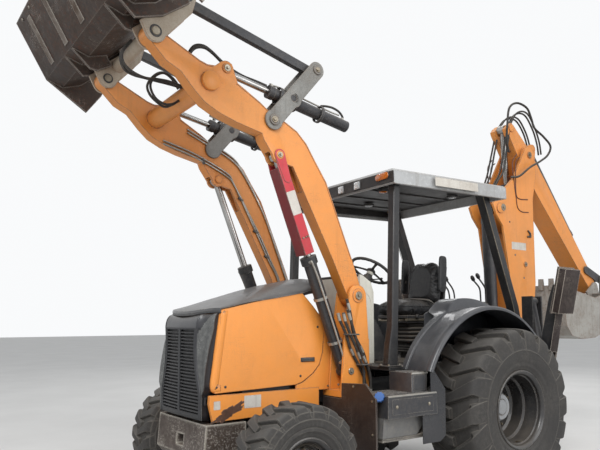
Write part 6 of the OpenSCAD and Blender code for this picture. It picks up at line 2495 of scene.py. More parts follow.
    def build(self) -> None:
        """Makes the canopy's pieces."""
        p = self.paints
        rows = (
            ("roof_board_and_painted_shade", self.board_and_painted_shade(), "black_plastic", "chassis", 35.0, "black_paint"),
            ("roof_strips", self.strips(), "white_plate", "chassis", 35.0, "light_grey"),
        )
        make_all(p, rows)
        parts = self.lamps()
        rows = (
            ("lamp_housings", parts["housing"], "black_plastic", "chassis", 40.0, "plastic"),
            ("lamp_lenses", parts["clear"], "clear_lens", "chassis", 50.0, "light_grey"),
            ("amber_lenses", parts["amber"], "amber_lens", "chassis", 50.0, "orange"),
            ("post_feet_and_highlight", self.post_feet_and_highlight(), "black_paint zinc_fitting", "chassis", 35.0, "black_paint"),
        )
        make_all(p, rows)


@dataclass
class SeatPads:
    """The operator's seat: inflated vinyl cushions, bellows, armrests, belt and slides."""

    paints: Paintbox
    x: float = 0.190
    z: float = 1.500
    cap: float = 0.024

    def block(
        self, low: tuple, high: tuple, lean: float = 0.0, steps: tuple = (14, 14, 6), taper: float = 0.0
    ) -> Patch:
        """A cushion's start: a box of points whose sides pull in towards its rim, leant back about its foot.

        A point (u, v, w) of the unit box's surface goes to the box, its two broad faces crowned by 0.2 * (1
        - u^2)(1 - v^2) of the thickness.

        Args:
            low: lowest corner.
            high: highest corner.
            lean: turn about its foot in radians.
            steps: grid steps along X, Y and Z.
            taper: share by which its top is narrower.

        Returns:
            The closed form.
        """
        low, high = np.array(low), np.array(high)
        faces: list = []
        pts: list = []
        count = 0
        for axis in range(3):
            for end in (-1.0, 1.0):
                a, b = [k for k in range(3) if k != axis]
                ga, gb = np.linspace(-1, 1, steps[a]), np.linspace(-1, 1, steps[b])
                u, v = np.meshgrid(ga, gb, indexing="ij")
                grid = np.zeros((*u.shape, 3))
                grid[..., axis], grid[..., a], grid[..., b] = end, u, v
                flip = (end < 0) == (axis in (0, 2))
                quads = grid_faces(*u.shape)
                faces.extend([tuple(i + count for i in (q[::-1] if flip else q)) for q in quads])
                pts.append(grid.reshape(-1, 3))
                count += u.size
        cube = np.vstack(pts)
        size = (high - low) / 2
        thin = int(np.argmin(size))
        others = [k for k in range(3) if k != thin]
        soft = cube.copy()
        p = 6.0
        norm = (np.abs(cube[:, others[0]]) ** p + np.abs(cube[:, others[1]]) ** p) ** (1 / p)
        scale = np.maximum(norm, 1e-6)
        for k in others:
            soft[:, k] = cube[:, k] / np.where(norm > 0, scale, 1) * np.max(np.abs(cube[:, others]), axis=1)
        crown = 1 + 0.12 * (1 - cube[:, others[0]] ** 2) * (1 - cube[:, others[1]] ** 2) - 0.35 * np.clip(
            (np.max(np.abs(cube[:, others]), axis=1) - 0.8) / 0.2, 0, 1
        ) ** 2
        soft[:, thin] = cube[:, thin] * crown
        soft[:, 1] *= 1 - taper * np.clip((cube[:, 2] + 0.2) / 1.2, 0, 1) ** 2
        world = (low + high) / 2 + soft * size
        if lean:
            foot = np.array([(low[0] + high[0]) / 2, 0.0, low[2]])
            c, s = math.cos(lean), math.sin(lean)
            rel = world - foot
            world = foot + np.column_stack(
                [rel[:, 0] * c - rel[:, 2] * s, rel[:, 1], rel[:, 0] * s + rel[:, 2] * c]
            )
        return Patch().add(row(world), faces)

    def inflate(self, name: str, shell: Patch) -> bpy.types.Object:
        """Swells a cushion with a short cloth simulation, capped, and smooths it.

        Args:
            name: the piece's name.
            shell: its starting form.

        Returns:
            The finished cushion.
        """
        obj = make_object(name, shell, [self.paints["seat_vinyl"]], "seat", 70.0)
        remesh = obj.modifiers.new("even", "REMESH")
        remesh.mode = "VOXEL"
        remesh.voxel_size = 0.0055
        remesh.use_smooth_shade = True
        self.bake(obj)
        start = np.zeros(len(obj.data.vertices) * 3)
        obj.data.vertices.foreach_get("co", start)
        cloth = obj.modifiers.new("cloth", "CLOTH")
        cloth.settings.use_pressure = True
        cloth.settings.uniform_pressure_force = 4.0
        cloth.settings.effector_weights.gravity = 0.0
        cloth.settings.quality = 5
        cloth.settings.tension_stiffness = 20.0
        cloth.settings.shear_stiffness = 10.0
        scene = bpy.context.scene
        for number in range(1, 21):
            scene.frame_set(number)
        self.bake(obj)
        scene.frame_set(1)
        end = np.zeros_like(start)
        obj.data.vertices.foreach_get("co", end)
        step = (end - start).reshape(-1, 3)
        far = np.linalg.norm(step, axis=1, keepdims=True)
        step *= np.minimum(1.0, self.cap / np.maximum(far, 1e-9))
        obj.data.vertices.foreach_set("co", (start.reshape(-1, 3) + step).ravel())
        obj.data.update()
        subdivide(obj, 1)
        obj.data.polygons.foreach_set("use_smooth", np.ones(len(obj.data.polygons), bool))
        return obj

    def bake(self, obj: bpy.types.Object) -> None:
        """Applies the modifiers to the mesh and removes them.

        Args:
            obj: the piece.
        """
        graph = bpy.context.evaluated_depsgraph_get()
        mesh = bpy.data.meshes.new_from_object(obj.evaluated_get(graph))
        old = obj.data
        obj.modifiers.clear()
        obj.data = mesh
        bpy.data.meshes.remove(old)

    def piping(self) -> Patch:
        """A piped seam round the seat cushion: a tube along the curve |x / 0.232|^6 + |y / 0.216|^6 = 1.

        Returns:
            The piping.
        """
        out = Patch()
        a = np.linspace(0, 2 * np.pi, 96, endpoint=True)
        c, s = np.cos(a), np.sin(a)
        sq = (np.abs(c) ** 6 + np.abs(s) ** 6) ** (-1 / 6)
        ring = np.column_stack(
            [self.x + 0.020 + 0.232 * c * sq, 0.216 * s * sq, np.full(96, self.z + 0.088)]
        )
        out.join(tube(row(ring), 0.004, 6))
        return out

    def bellows(self) -> Patch:
        """The suspension's bellows: a rounded rectangle carried up, wider by 0.09 |sin| at each pleat.

        Returns:
            The bellows.
        """
        z = np.linspace(1.235, 1.425, 61)
        size = 1.0 + 0.09 * np.abs(np.sin(np.linspace(0, 5 * np.pi, 61)))
        ring = oblong((-0.165, -0.155), (0.165, 0.155), 0.05, 6)
        pts = np.zeros((61, len(ring), 3))
        pts[:, :, 0] = self.x - 0.02 + ring[None, :, 0] * size[:, None]
        pts[:, :, 1] = ring[None, :, 1] * size[:, None]
        pts[:, :, 2] = z[:, None]
        return Patch().add(row(pts.reshape(-1, 3)), closed_faces(61, len(ring)))

    def fittings(self) -> Patch:
        """Pedestal, slides, knobs, the armrests' hinges and the belt's stalk.

        Returns:
            The fittings, tagged by finish.
        """
        out = Patch()
        out.join(brick((self.x - 0.14, -0.12, 1.140), (self.x + 0.12, 0.12, 1.240), 0.01, 0))
        for z in (1.155, 1.178, 1.201, 1.224):
            out.join(brick((self.x - 0.15, -0.13, z - 0.005), (self.x + 0.13, 0.13, z + 0.004), 0.003, 0))
        out.join(
            revolve(
                [(0.0, 0.0), (0.0, 0.15), (0.05, 0.15), (0.060, 0.14), (0.060, 0.0)], row((0.100, 0, 1.086)),
                (0, 0, 1), 48, 0
            )
        )
        out.join(brick((self.x - 0.19, -0.19, 1.424), (self.x + 0.21, 0.19, 1.446), 0.004, 0))
        for y in (-0.185, 0.185):
            out.join(brick((self.x - 0.17, y - 0.018, 1.446), (self.x + 0.22, y + 0.018, 1.468), 0.003, 1))
        out.join(brick((self.x - 0.205, -0.205, 1.468), (self.x + 0.225, 0.205, 1.500), 0.006, 0))
        out.join(
            tube(
                row(
                    [
                        (self.x + 0.20, -0.14, 1.458), (self.x + 0.245, -0.14, 1.452),
                        (self.x + 0.252, -0.10, 1.450), (self.x + 0.252, 0.10, 1.450),
                        (self.x + 0.245, 0.14, 1.452), (self.x + 0.20, 0.14, 1.458)
                    ]
                ),
                0.007, 8, 1
            )
        )
        out.join(
            revolve(
                [(0.0, 0.0), (0.0, 0.022), (0.018, 0.022), (0.024, 0.016), (0.024, 0.0)],
                row((self.x + 0.10, 0.205, 1.485)), (0, 1, 0), 20, 0
            )
        )
        for side in (-1, 1):
            out.join(
                shaft(
                    (self.x - 0.210, self.z + 0.345), 0.016, min(side * 0.222, side * 0.236),
                    max(side * 0.222, side * 0.236), 0
                )
            )
        stalk = [
            (self.x - 0.16, -0.238, 1.52), (self.x - 0.11, -0.246, 1.58), (self.x - 0.06, -0.246, 1.64),
            (self.x - 0.04, -0.244, 1.67)
        ]
        out.join(hose(row(stalk), 0.008, 16, 8, 0))
        out.join(brick((self.x - 0.055, -0.252, 1.665), (self.x - 0.020, -0.238, 1.715), 0.003, 2))
        return out

    def belt(self) -> Patch:
        """The belt's webbing: a flat band 48 mm wide that lies over the cushion's rear.

        Returns:
            The band.
        """
        path = smooth_path(
            [
                (self.x - 0.15, 0.236, 1.535), (self.x - 0.13, 0.233, 1.60), (self.x - 0.085, 0.20, 1.645),
                (self.x - 0.05, 0.12, 1.658), (self.x - 0.03, 0.0, 1.664), (self.x - 0.02, -0.12, 1.662),
                (self.x - 0.03, -0.20, 1.660)
            ],
            50
        )
        tangent = np.gradient(path, axis=0)
        tangent /= np.linalg.norm(tangent, axis=1, keepdims=True)
        across = np.cross(tangent, np.array([0.25, 0.15, 1.0]))
        across /= np.linalg.norm(across, axis=1, keepdims=True)
        normal = np.cross(across, tangent)
        w, t = 0.024, 0.0012
        ring = np.stack(
            [
                path - across * w - normal * t, path + across * w - normal * t,
                path + across * w + normal * t, path - across * w + normal * t
            ],
            1
        )
        return Patch().add(row(ring.reshape(-1, 3)), closed_faces(50, 4))

    def build(self) -> None:
        """Makes seat and base and lets them stand for the plain solids."""
        p = self.paints
        cushion = self.inflate(
            "seat_cushion",
            self.block(
                (self.x - 0.215, -0.214, self.z + 0.014), (self.x + 0.262, 0.214, self.z + 0.118), 0.0,
                (16, 14, 6)
            ),
        )
        self.inflate(
            "seat_backrest",
            self.block(
                (self.x - 0.262, -0.205, self.z + 0.118), (self.x - 0.176, 0.205, self.z + 0.545), 0.13,
                (6, 14, 14), 0.24
            ),
        )
        for side, word in ((1, "left"), (-1, "right")):
            low = (self.x - 0.262, min(side * 0.240, side * 0.270), self.z + 0.225)
            high = (self.x - 0.162, max(side * 0.240, side * 0.270), self.z + 0.585)
            arm = make_object(
                f"armrest_{word}", self.block(low, high, 0.06, (8, 5, 12)), [p["seat_vinyl"]], "seat", 70.0,
            )
            subdivide(arm, 2)
        board = brick((self.x - 0.315, -0.200, self.z + 0.10), (self.x - 0.285, 0.200, self.z + 0.50), 0.012)
        board = board.moved(
            Matrix.Translation(row((self.x - 0.30, 0, self.z + 0.10)))
            @ Matrix.Rotation(math.radians(-7), 4, "Y")
            @ Matrix.Translation(-Vector(row((self.x - 0.30, 0, self.z + 0.10))))
        )
        rows = (
            (
                "seat_back_board",
                board.join(
                    brick((self.x - 0.27, -0.17, self.z + 0.0), (self.x - 0.215, 0.17, self.z + 0.14), 0.01)
                ),
                "black_plastic", "seat", 35.0, "plastic"
            ),
            ("seat_piping", self.piping(), "seat_vinyl", "seat", 60.0, "seat_vinyl"),
            ("seat_belt", self.belt(), "webbing", "seat", 60.0, "seat_vinyl"),
            ("seat_bellows", self.bellows(), "hose_rubber", "seat", 60.0, "plastic")
        )
        make_all(p, rows)
        base = make_object(
            "seat_fittings", self.fittings(), [p["black_plastic"], p["zinc_fitting"], p["dark_red_paint"]],
            "seat", 35.0
        )
        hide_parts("seat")
        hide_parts("seat_base")


@dataclass
class Cab:
    """The operator's place: steering wheel, column, dash, levers, pedals, floor mat and the lever stand."""

    paints: Paintbox
    hub: tuple[float, float] = (0.690, 1.905)
    lean: float = 33.5

    def wheel(self) -> Patch:
        """Steering wheel: a rim of radius 0.2 with finger waves, three dished spokes, a boss and a knob.

        Returns:
            The wheel on its leaning column.
        """
        a = np.linspace(0, 2 * np.pi, 96, endpoint=False)
        b = np.linspace(0, 2 * np.pi, 14, endpoint=False)
        wave = 0.0145 + 0.0009 * np.sin(24 * a)[:, None] * (np.sin(b)[None, :] < 0)
        r = 0.200 + wave * np.cos(b)
        z = 0.020 + wave * np.sin(b)
        pts = np.stack([r * np.cos(a)[:, None], r * np.sin(a)[:, None], z], -1)
        out = Patch().add(pts.reshape(-1, 3), grid_faces(96, 14, True, True))
        for k in range(3):
            turn = math.radians(60 + 120 * k)
            s = np.linspace(0, 1, 14)
            mid = np.column_stack(
                [0.026 + s * 0.166, np.zeros(14), 0.018 + 0.004 * np.sin(np.pi * s) - 0.001]
            )
            half = 0.017 - 0.006 * np.sin(np.pi * s)
            ring = np.stack(
                [
                    mid + np.column_stack([np.zeros(14), sy * half, np.full(14, sz)])
                    for sy, sz in ((-1, -0.004), (1, -0.004), (1, 0.004), (-1, 0.004))
                ],
                1
            )
            spoke = Patch().add(ring.reshape(-1, 3), closed_faces(14, 4))
            out.join(spoke.moved(Matrix.Rotation(turn, 4, "Z")))
        out.join(
            revolve(
                [
                    (0.0, 0.0), (0.0, 0.032), (0.010, 0.040), (0.022, 0.042), (0.030, 0.036), (0.033, 0.022),
                    (0.034, 0.0)
                ],
                (0, 0, 0), (0, 0, 1), 36
            )
        )
        out.join(
            revolve(
                [
                    (0.018, 0.0), (0.018, 0.010), (0.045, 0.010), (0.050, 0.020), (0.075, 0.023),
                    (0.088, 0.016), (0.090, 0.0)
                ],
                (-0.2 * math.cos(1.0), 0.2 * math.sin(1.0), 0.014), (0, 0, 1), 20
            )
        )
        return out.moved(
            Matrix.Translation(row((self.hub[0], 0.0, self.hub[1])))
            @ Matrix.Rotation(math.radians(-self.lean), 4, "Y")
        )

    def column(self) -> Patch:
        """Column: a pleated boot, a shroud and stalks below the wheel.

        Returns:
            The column with both stalks.
        """
        place = Matrix.Translation(row((self.hub[0], 0.0, self.hub[1]))) @ Matrix.Rotation(
            math.radians(180 - self.lean), 4, "Y"
        )
        s = np.linspace(0.05, 0.30, 40)
        r = np.where(
            s < 0.15, 0.046 + 0.012 * (s - 0.05) / 0.1,
            0.058 + 0.006 * np.abs(np.sin((s - 0.15) / 0.15 * np.pi * 5))
        )
        prof = [(0.012, 0.0), (0.012, 0.030), (0.045, 0.034), *zip(s.tolist(), r.tolist()), (0.305, 0.0)]
        out = revolve(prof, (0, 0, 0), (0, 0, 1), 32).moved(place)
        stalk = Patch().join(
            tube(np.array([(0, 0.04, 0.085), (0.01, 0.10, 0.080), (0.02, 0.155, 0.072)]), 0.0055, 8)
        )
        stalk.join(
            tube(np.array([(0, -0.04, 0.085), (0.01, -0.10, 0.082), (0.02, -0.150, 0.078)]), 0.0055, 8)
        )
        stalk.join(
            revolve(
                [(0, 0.0), (0, 0.010), (0.03, 0.011), (0.038, 0.006), (0.038, 0.0)], (0.018, 0.150, 0.073),
                (0.1, 1, -0.1), 12
            )
        )
        return out.join(stalk.moved(place))

    def dash(self) -> Patch:
        """Dash hood and gauge faces on the console's top, side panels and the kick panel.

        Returns:
            The dash parts.
        """
        out = Patch()
        out.join(
            plate(
                rounded(
                    [
                        (0.935, 1.765), (0.985, 1.815), (1.060, 1.858), (1.090, 1.858), (1.090, 1.835),
                        (1.0, 1.80), (0.95, 1.745)
                    ],
                    0.012
                ),
                -0.285, 0.285, 0.008, 0
            ).in_row()
        )
        for y in (-0.16, 0.0, 0.16):
            out.join(
                revolve(
                    [(0.0, 0.0), (0.0, 0.046), (0.008, 0.046), (0.010, 0.040), (0.004, 0.038), (0.003, 0.0)],
                    row((0.958, y, 1.778)), (-0.9, 0, 0.45), 28, 0
                )
            )
        out.join(
            plate(
                rounded([(0.700, 1.10), (0.918, 1.10), (0.918, 1.46), (0.860, 1.46), (0.760, 1.30)], 0.02),
                -0.25, -0.235, 0.004, 0
            ).both().in_row()
        )
        out.join(brick((0.905, -0.245, 1.09), (0.925, 0.245, 1.62), 0.006, 0))
        return out

    def cover_lines(self) -> Patch:
        """Thin raised frames of the covers on the console's sides.

        Returns:
            The frames of both sides.
        """
        line = rounded(
            [(0.955, 1.16), (1.060, 1.16), (1.060, 1.62), (1.030, 1.70), (0.975, 1.66), (0.955, 1.60)], 0.03,
            6
        )
        closed = np.vstack([line, line[:1]])
        return tube(
            row(np.column_stack([closed[:, 0], np.full(len(closed), 0.3005), closed[:, 1]])), 0.0028, 6
        ).both()

    def levers(self) -> Patch:
        """Loader lever by the seat, front pedals, and the stand's curved control levers with knobs.

        Returns:
            The levers, boots and pedals.
        """
        out = Patch()
        for y, h, lean in ((-0.335, 0.62, 0.06), (-0.375, 0.52, 0.02)):
            out.join(
                hose(
                    row(
                        [
                            (0.42, y, 1.09), (0.425, y, 1.30), (0.43 + lean * 0.5, y, 1.45),
                            (0.44 + lean, y, 1.09 + h)
                        ]
                    ),
                    0.009, 20, 8, 0
                )
            )
            out.join(
                revolve(
                    [(0, 0.0), (0.0, 0.012), (0.02, 0.021), (0.05, 0.024), (0.075, 0.016), (0.082, 0.0)],
                    row((0.438 + lean, y, 1.08 + h)), (0.15, 0, 1), 20, 0
                )
            )
            out.join(
                revolve(
                    [(0, 0.0), (0.0, 0.055), (0.02, 0.050), (0.045, 0.022), (0.050, 0.0)],
                    row((0.42, y, 1.085)), (0, 0, 1), 24, 0
                )
            )
        for y in (-0.17, -0.05, 0.13, 0.21):
            arm = [(0.905, y, 1.26), (0.86, y, 1.235), (0.825, y, 1.195), (0.80, y, 1.165)]
            out.join(hose(row(arm), 0.008, 14, 8, 0))
            pad = plate(oblong((0.735, y - 0.035), (0.815, y + 0.035), 0.01), -0.005, 0.005, 0.002, 0, "z")
            out.join(
                pad.moved(
                    Matrix.Translation((0.775 - AHEAD, 0, 1.150))
                    @ Matrix.Rotation(math.radians(-38), 4, "Y") @ Matrix.Translation((-0.775, 0, 0))
                )
            )
        for k, y in enumerate((-0.245, -0.175, 0.175, 0.245)):
            tip = (-0.62 + 0.01 * k, y * 1.05, 1.860 + 0.02 * (k % 2))
            out.join(
                hose(
                    row([(-0.712, y, 1.585), (-0.710, y, 1.70), (-0.690, y * 1.02, 1.79), tip]), 0.0085, 24,
                    8, 0
                )
            )
            out.join(
                revolve(
                    [(0, 0.0), (0.0, 0.010), (0.015, 0.019), (0.045, 0.021), (0.065, 0.012), (0.070, 0.0)],
                    row(tip), (0.6, 0.0, 0.8), 18, 0
                )
            )
        for y in (-0.21, 0.21):
            out.join(
                revolve(
                    [
                        (0.0, 0.0), (0.0, 0.060), (0.02, 0.056), (0.03, 0.044), (0.045, 0.040),
                        (0.055, 0.024), (0.060, 0.0)
                    ],
                    row((-0.712, y, 1.585)), (0, 0, 1), 24, 0
                )
            )
        return out

    def stand(self) -> Patch:
        """The stand behind the seat: rounded box, lid, two lever towers and three ribs ahead.

        Returns:
            The stand.
        """
        out = Patch()
        out.join(
            plate(
                rounded(
                    [(-0.795, 1.085), (-0.645, 1.085), (-0.645, 1.36), (-0.675, 1.415), (-0.795, 1.415)],
                    0.02
                ),
                -0.295, 0.295, 0.01
            ).in_row()
        )
        out.join(
            plate(
                rounded([(-0.79, 1.405), (-0.66, 1.405), (-0.67, 1.43), (-0.78, 1.43)], 0.01), -0.27, 0.27,
                0.006
            ).in_row()
        )
        for side in (-1, 1):
            y0, y1 = sorted((side * 0.158, side * 0.262))
            out.join(
                plate(
                    rounded([(-0.765, 1.42), (-0.655, 1.42), (-0.675, 1.60), (-0.745, 1.60)], 0.015), y0, y1,
                    0.01
                ).in_row()
            )
        for z in (1.16, 1.24, 1.32):
            out.join(brick((-0.652, -0.24, z - 0.02), (-0.642, 0.24, z + 0.02), 0.004))
        return out

    def mat(self) -> Patch:
        """The rubber floor mat with its ribs, and the bright nosing along the platform's sides.

        Returns:
            The mat and the nosing, tagged by finish.
        """
        out = Patch()
        out.join(brick((-0.60, -0.50, 1.080), (0.92, 0.50, 1.0845), 0.002, 0))
        for x in np.arange(0.33, 0.90, 0.032):
            out.join(brick((float(x), -0.48, 1.0840), (float(x) + 0.014, 0.48, 1.0885), 0.002, 0))
        for side in (-1, 1):
            for z, y in ((1.079, 0.752), (1.040, 0.7605)):
                line = np.array([(0.745, side * y, z), (1.185, side * y, z)])
                out.join(tube(row(line), 0.008, 8, 1))
        return out

    def build(self) -> set[str]:
        """Makes the cab's pieces and names the nodes they stand for.

        Returns:
            Names of the nodes that get a piece of their own.
        """
        p = self.paints
        wheel = make_object(
            "steering_wheel_rim", self.wheel(), [p["black_plastic"]], "steering_wheel", 50.0
        )
        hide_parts("steering_wheel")
        rows = (
            ("steering_column", self.column(), "black_plastic", "chassis", 45.0, "plastic"),
            ("dash_parts", self.dash(), "black_plastic", "chassis", 35.0, "plastic"),
            ("console_covers", self.cover_lines(), "console_plastic", "chassis", 60.0, "console"),
            ("levers_and_pedals", self.levers(), "black_plastic", "chassis", 50.0, "plastic"),
        )
        make_all(p, rows)
        stand = make_object(
            "lever_stand", self.stand(), [p["black_plastic"]], "chassis", 35.0
        )
        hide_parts("control_stand")
        make_object("floor_mat", self.mat(), [p["hose_rubber"], p["grey_paint"]], "chassis", 35.0)
        SeatPads(p).build()
        Canopy(p).build()
        return {"steering_wheel", "seat", "seat_base", "control_stand"}


@dataclass
class Flanks:
    """Fenders, steps, guards, boxes and the hose bundles beside the engine."""

    paints: Paintbox
    centre: tuple[float, float] = (0.250, 0.700)
    radius: float = 0.872

    def rise(self, deg: np.ndarray) -> np.ndarray:
        """Height of the inner wheel box over the arch, at each angle in degrees."""
        bump = 0.073 * np.clip((deg - 70) / 14, 0, 1) * np.clip((136 - deg) / 18, 0, 1)
        return bump * bump * (3 - 2 * np.clip(bump / 0.073, 0, 1)) / 0.073

    def inner_edge(self, deg: np.ndarray) -> np.ndarray:
        """Depth of the fender's inner edge: 0.745 ahead of the wheel box and 0.560 along it."""
        t = np.clip((deg - 62) / 12, 0, 1)
        return 0.745 - 0.185 * t * t * (3 - 2 * t)

    def fender(self) -> Patch:
        """A rear fender: flat crown and drooped outer lip, carried round the wheel's arc.

        At the angle a the section's point (y, h) goes to centre + (radius + h) * (cos a, sin a) at depth y;
        h rises to the inner wheel box over the seat's side by a smooth bump between 75 and 135 degrees.

        Returns:
            The left fender.
        """
        a = np.radians(np.linspace(24.5, 137.0, 72))
        section = np.array(
            [
                (0.560, -0.004), (0.572, 0.0), (0.70, 0.0), (0.765, 0.0), (0.785, -0.004), (0.800, -0.014),
                (0.83, -0.014), (0.90, -0.012), (0.985, -0.010), (1.000, -0.004), (1.012, 0.000),
                (1.035, -0.001), (1.050, -0.006), (1.059, -0.018), (1.060, -0.034), (1.054, -0.036),
                (1.051, -0.022), (1.040, -0.012), (0.99, -0.016), (0.80, -0.022), (0.780, -0.014),
                (0.572, -0.010)
            ]
        )
        bump = self.rise(np.degrees(a))
        inner = np.clip((0.800 - section[:, 0]) / 0.028, 0, 1)
        r = self.radius + section[None, :, 1] + bump[:, None] * inner[None, :]
        start = self.inner_edge(np.degrees(a))[:, None]
        y = np.where(
            section[None, :, 0] < 0.8, start + (section[None, :, 0] - 0.56) / 0.24 * (0.8 - start),
            section[None, :, 0]
        )
        x = self.centre[0] + r * np.cos(a)[:, None]
        z = self.centre[1] + r * np.sin(a)[:, None]
        return Patch().add(row(np.stack([x, y, z], -1).reshape(-1, 3)), closed_faces(72, len(section)))

    def fender_wall(self) -> Patch:
        """The wall between fender and floor.

        Returns:
            The left wall.
        """
        a = np.radians(np.linspace(68.0, 137.0, 40))
        r = self.radius - 0.004 + self.rise(np.degrees(a))
        arc = np.column_stack([self.centre[0] + r * np.cos(a), self.centre[1] + r * np.sin(a)])
        arc = arc[arc[:, 1] > 1.082]
        outline = np.vstack([arc, [(float(arc[-1, 0]), 1.081), (float(arc[0, 0]), 1.081)]])
        return plate(outline, 0.5605, 0.572, 0.002).in_row()

    def tread(self) -> Patch:
        """Step treads: diamond holes' raised rims in staggered rows, and bright nosings.

        Returns:
            The treads of both sides.
        """
        out = Patch()
        rim = np.array(
            [
                (0.013 * math.cos(a), 0.0085 * math.sin(a))
                for a in np.linspace(0, 2 * math.pi, 8, endpoint=False)
            ]
        )
        for x0, x1, y0, y1, z in ((0.990, 1.470, 0.750, 1.035, 0.900), (1.035, 1.180, 0.775, 0.990, 1.050)):
            for i, y in enumerate(np.arange(y0 + 0.02, y1 - 0.005, 0.030)):
                for x in np.arange(x0 + (0.015 if i % 2 else 0.0) + 0.012, x1 - 0.01, 0.034):
                    ring = rim + np.array([float(x), float(y)])
                    low, top = inset_outline(ring, -0.004), inset_outline(ring, 0.001)
                    hole = inset_outline(ring, 0.003)
                    pts = np.vstack(
                        [
                            np.column_stack([low, np.full(8, z)]),
                            np.column_stack([top, np.full(8, z + 0.006)]),
                            np.column_stack([hole, np.full(8, z + 0.001)])
                        ]
                    )
                    faces = grid_faces(3, 8, loop_cols=True)
                    faces.append([16, 17, 18, 19, 20, 21, 22, 23])
                    out.join(Patch().add(row(pts), faces))
            out.join(
                brick((x0 - 0.020, y1 + 0.004, z - 0.012), (x1 + 0.012, y1 + 0.016, z + 0.003), 0.003, 1)
            )
        return out.both()

    def boxes(self) -> Patch:
        """Covers on the boxes: door panels, latches, bolts on the guard plate and the tank's straps.

        Returns:
            The covers and bolts of both sides.
        """
        out = Patch()
        out.join(plate(oblong((1.010, 0.760), (1.445, 0.875), 0.012), 1.0495, 1.0535, 0.002, 0).in_row())
        out.join(plate(oblong((1.045, 0.915), (1.172, 1.035), 0.010), 0.9995, 1.0035, 0.002, 0).in_row())
        for x, z in ((1.06, 0.818), (1.40, 0.818)):
            out.join(
                revolve(
                    [(0, 0.0), (0, 0.012), (0.006, 0.012), (0.008, 0.008), (0.008, 0.0)],
                    row((x, 1.0530, z)), (0, 1, 0), 16, 1
                )
            )
        for y, z in (
            (0.43, 0.93), (0.56, 0.95), (0.74, 0.95), (0.95, 0.86), (0.95, 0.62), (0.95, 0.45), (0.43, 0.72)
        ):
            out.join(hex_head(row((1.5445, y, z)), (1, 0, 0), 0.018, 0.009, 1))
        for x in (1.05, 1.40):
            out.join(
                plate(
                    [(0.7205, 0.52), (0.726, 0.52), (0.726, 0.842), (0.7205, 0.842)], x, x + 0.04, 0.001, 1,
                    "x"
                ).in_row()
            )
        return out.both()

    def guards(self) -> Patch:
        """Side plate ahead of each rear wheel, hung from the step box by two brackets.

        Returns:
            The plates of both sides.
        """
        outline = [
            (1.026, 1.071), (0.985, 1.064), (0.862, 0.915), (0.868, 0.560), (0.930, 0.520), (1.120, 0.520),
            (1.120, 0.735), (1.026, 0.735)
        ]
        out = plate(outline, 1.036, 1.042, 0.001, 0).in_row()
        out.join(
            plate([(0.90, 0.74), (1.0, 0.74), (1.0, 0.72), (0.90, 0.72)], 0.74, 1.037, 0.002, 0).in_row()
        )
        out.join(
            plate([(0.975, 0.80), (1.0, 0.80), (1.0, 0.62), (0.975, 0.62)], 0.72, 1.037, 0.002, 0).in_row()
        )
        return out.both()

    def lower_step(self) -> Patch:
        """Lower step: a folded pan with side cheeks, worn on its tread.

        Returns:
            The steps of both sides.
        """
        out = Patch()
        out.join(brick((1.02, 0.770, 0.560), (1.49, 0.995, 0.592), 0.006))
        for x in (1.045, 1.47):
            out.join(plate(oblong((x - 0.012, 0.575), (x + 0.012, 0.74), 0.004), 0.78, 0.99, 0.003).in_row())
        return out.both()

    def caps(self) -> Patch:
        """Blue filler cap with grip ribs on the left box, on its short neck.

        Returns:
            The cap.
        """
        out = Patch()
        at = row((1.508, 0.985, 0.893))
        ribs = 0.037 + 0.0022 * np.cos(np.linspace(0, 2 * np.pi, 60, endpoint=False) * 10)
        prof = np.array(
            [(-0.050, 0.6), (-0.028, 0.62), (-0.026, 1.0), (0.006, 1.0), (0.013, 0.86), (0.014, 0.0)]
        )
        a = np.linspace(0, 2 * np.pi, 60, endpoint=False)
        d = np.array([0.75, 0.62, 0.22])
        d /= np.linalg.norm(d)
        u = np.cross(d, [0, 0, 1.0])
        u /= np.linalg.norm(u)
        v = np.cross(d, u)
        ring = np.cos(a)[:, None] * u + np.sin(a)[:, None] * v
        pts = at + prof[None, :, :1] * d + (prof[None, :, 1:] * ribs[:, None, None]) * ring[:, None]
        return out.add(pts.reshape(-1, 3), grid_faces(60, len(prof), loop_rows=True))

    def bundle(self) -> Patch:
        """Hose bundles that come down from each arm's foot to the tank's top, with bright crimped ends.

        Returns:
            The bundles of both sides.
        """
        out = Patch()
        lines = (
            [
                (1.575, 0.600, 1.50), (1.560, 0.600, 1.455), (1.500, 0.598, 1.35), (1.455, 0.595, 1.24),
                (1.410, 0.592, 1.165), (1.340, 0.590, 1.06), (1.30, 0.590, 0.98), (1.29, 0.59, 0.90),
                (1.29, 0.59, 0.852)
            ],
            [
                (1.490, 0.605, 1.62), (1.455, 0.607, 1.50), (1.428, 0.606, 1.36), (1.370, 0.604, 1.265),
                (1.315, 0.602, 1.18), (1.290, 0.600, 1.10), (1.255, 0.600, 1.00), (1.245, 0.600, 0.90),
                (1.245, 0.600, 0.852)
            ],
            [
                (1.545, 0.628, 1.51), (1.525, 0.628, 1.44), (1.470, 0.628, 1.33), (1.410, 0.626, 1.22),
                (1.365, 0.624, 1.13), (1.335, 0.622, 1.04), (1.335, 0.620, 0.93), (1.335, 0.620, 0.852)
            ],
            [
                (1.520, 0.650, 1.535), (1.480, 0.648, 1.43), (1.430, 0.646, 1.30), (1.375, 0.645, 1.19),
                (1.320, 0.643, 1.10), (1.285, 0.642, 1.00), (1.280, 0.640, 0.90), (1.280, 0.640, 0.852)
            ]
        )
        for line in lines:
            out.join(hose(row(line), 0.0115, 60, 10, 0))
            for i, j in ((0, 1), (3, 4), (-2, -1)):
                a, b = np.array(line[i]), np.array(line[j])
                mid = (a + b) / 2
                d = (b - a) / np.linalg.norm(b - a) * 0.030
                out.join(tube(row(np.array([mid - d, mid - d * 0.3, mid + d])), 0.0140, 10, 1))
        for z, x in ((1.34, 1.462), (1.10, 1.335)):
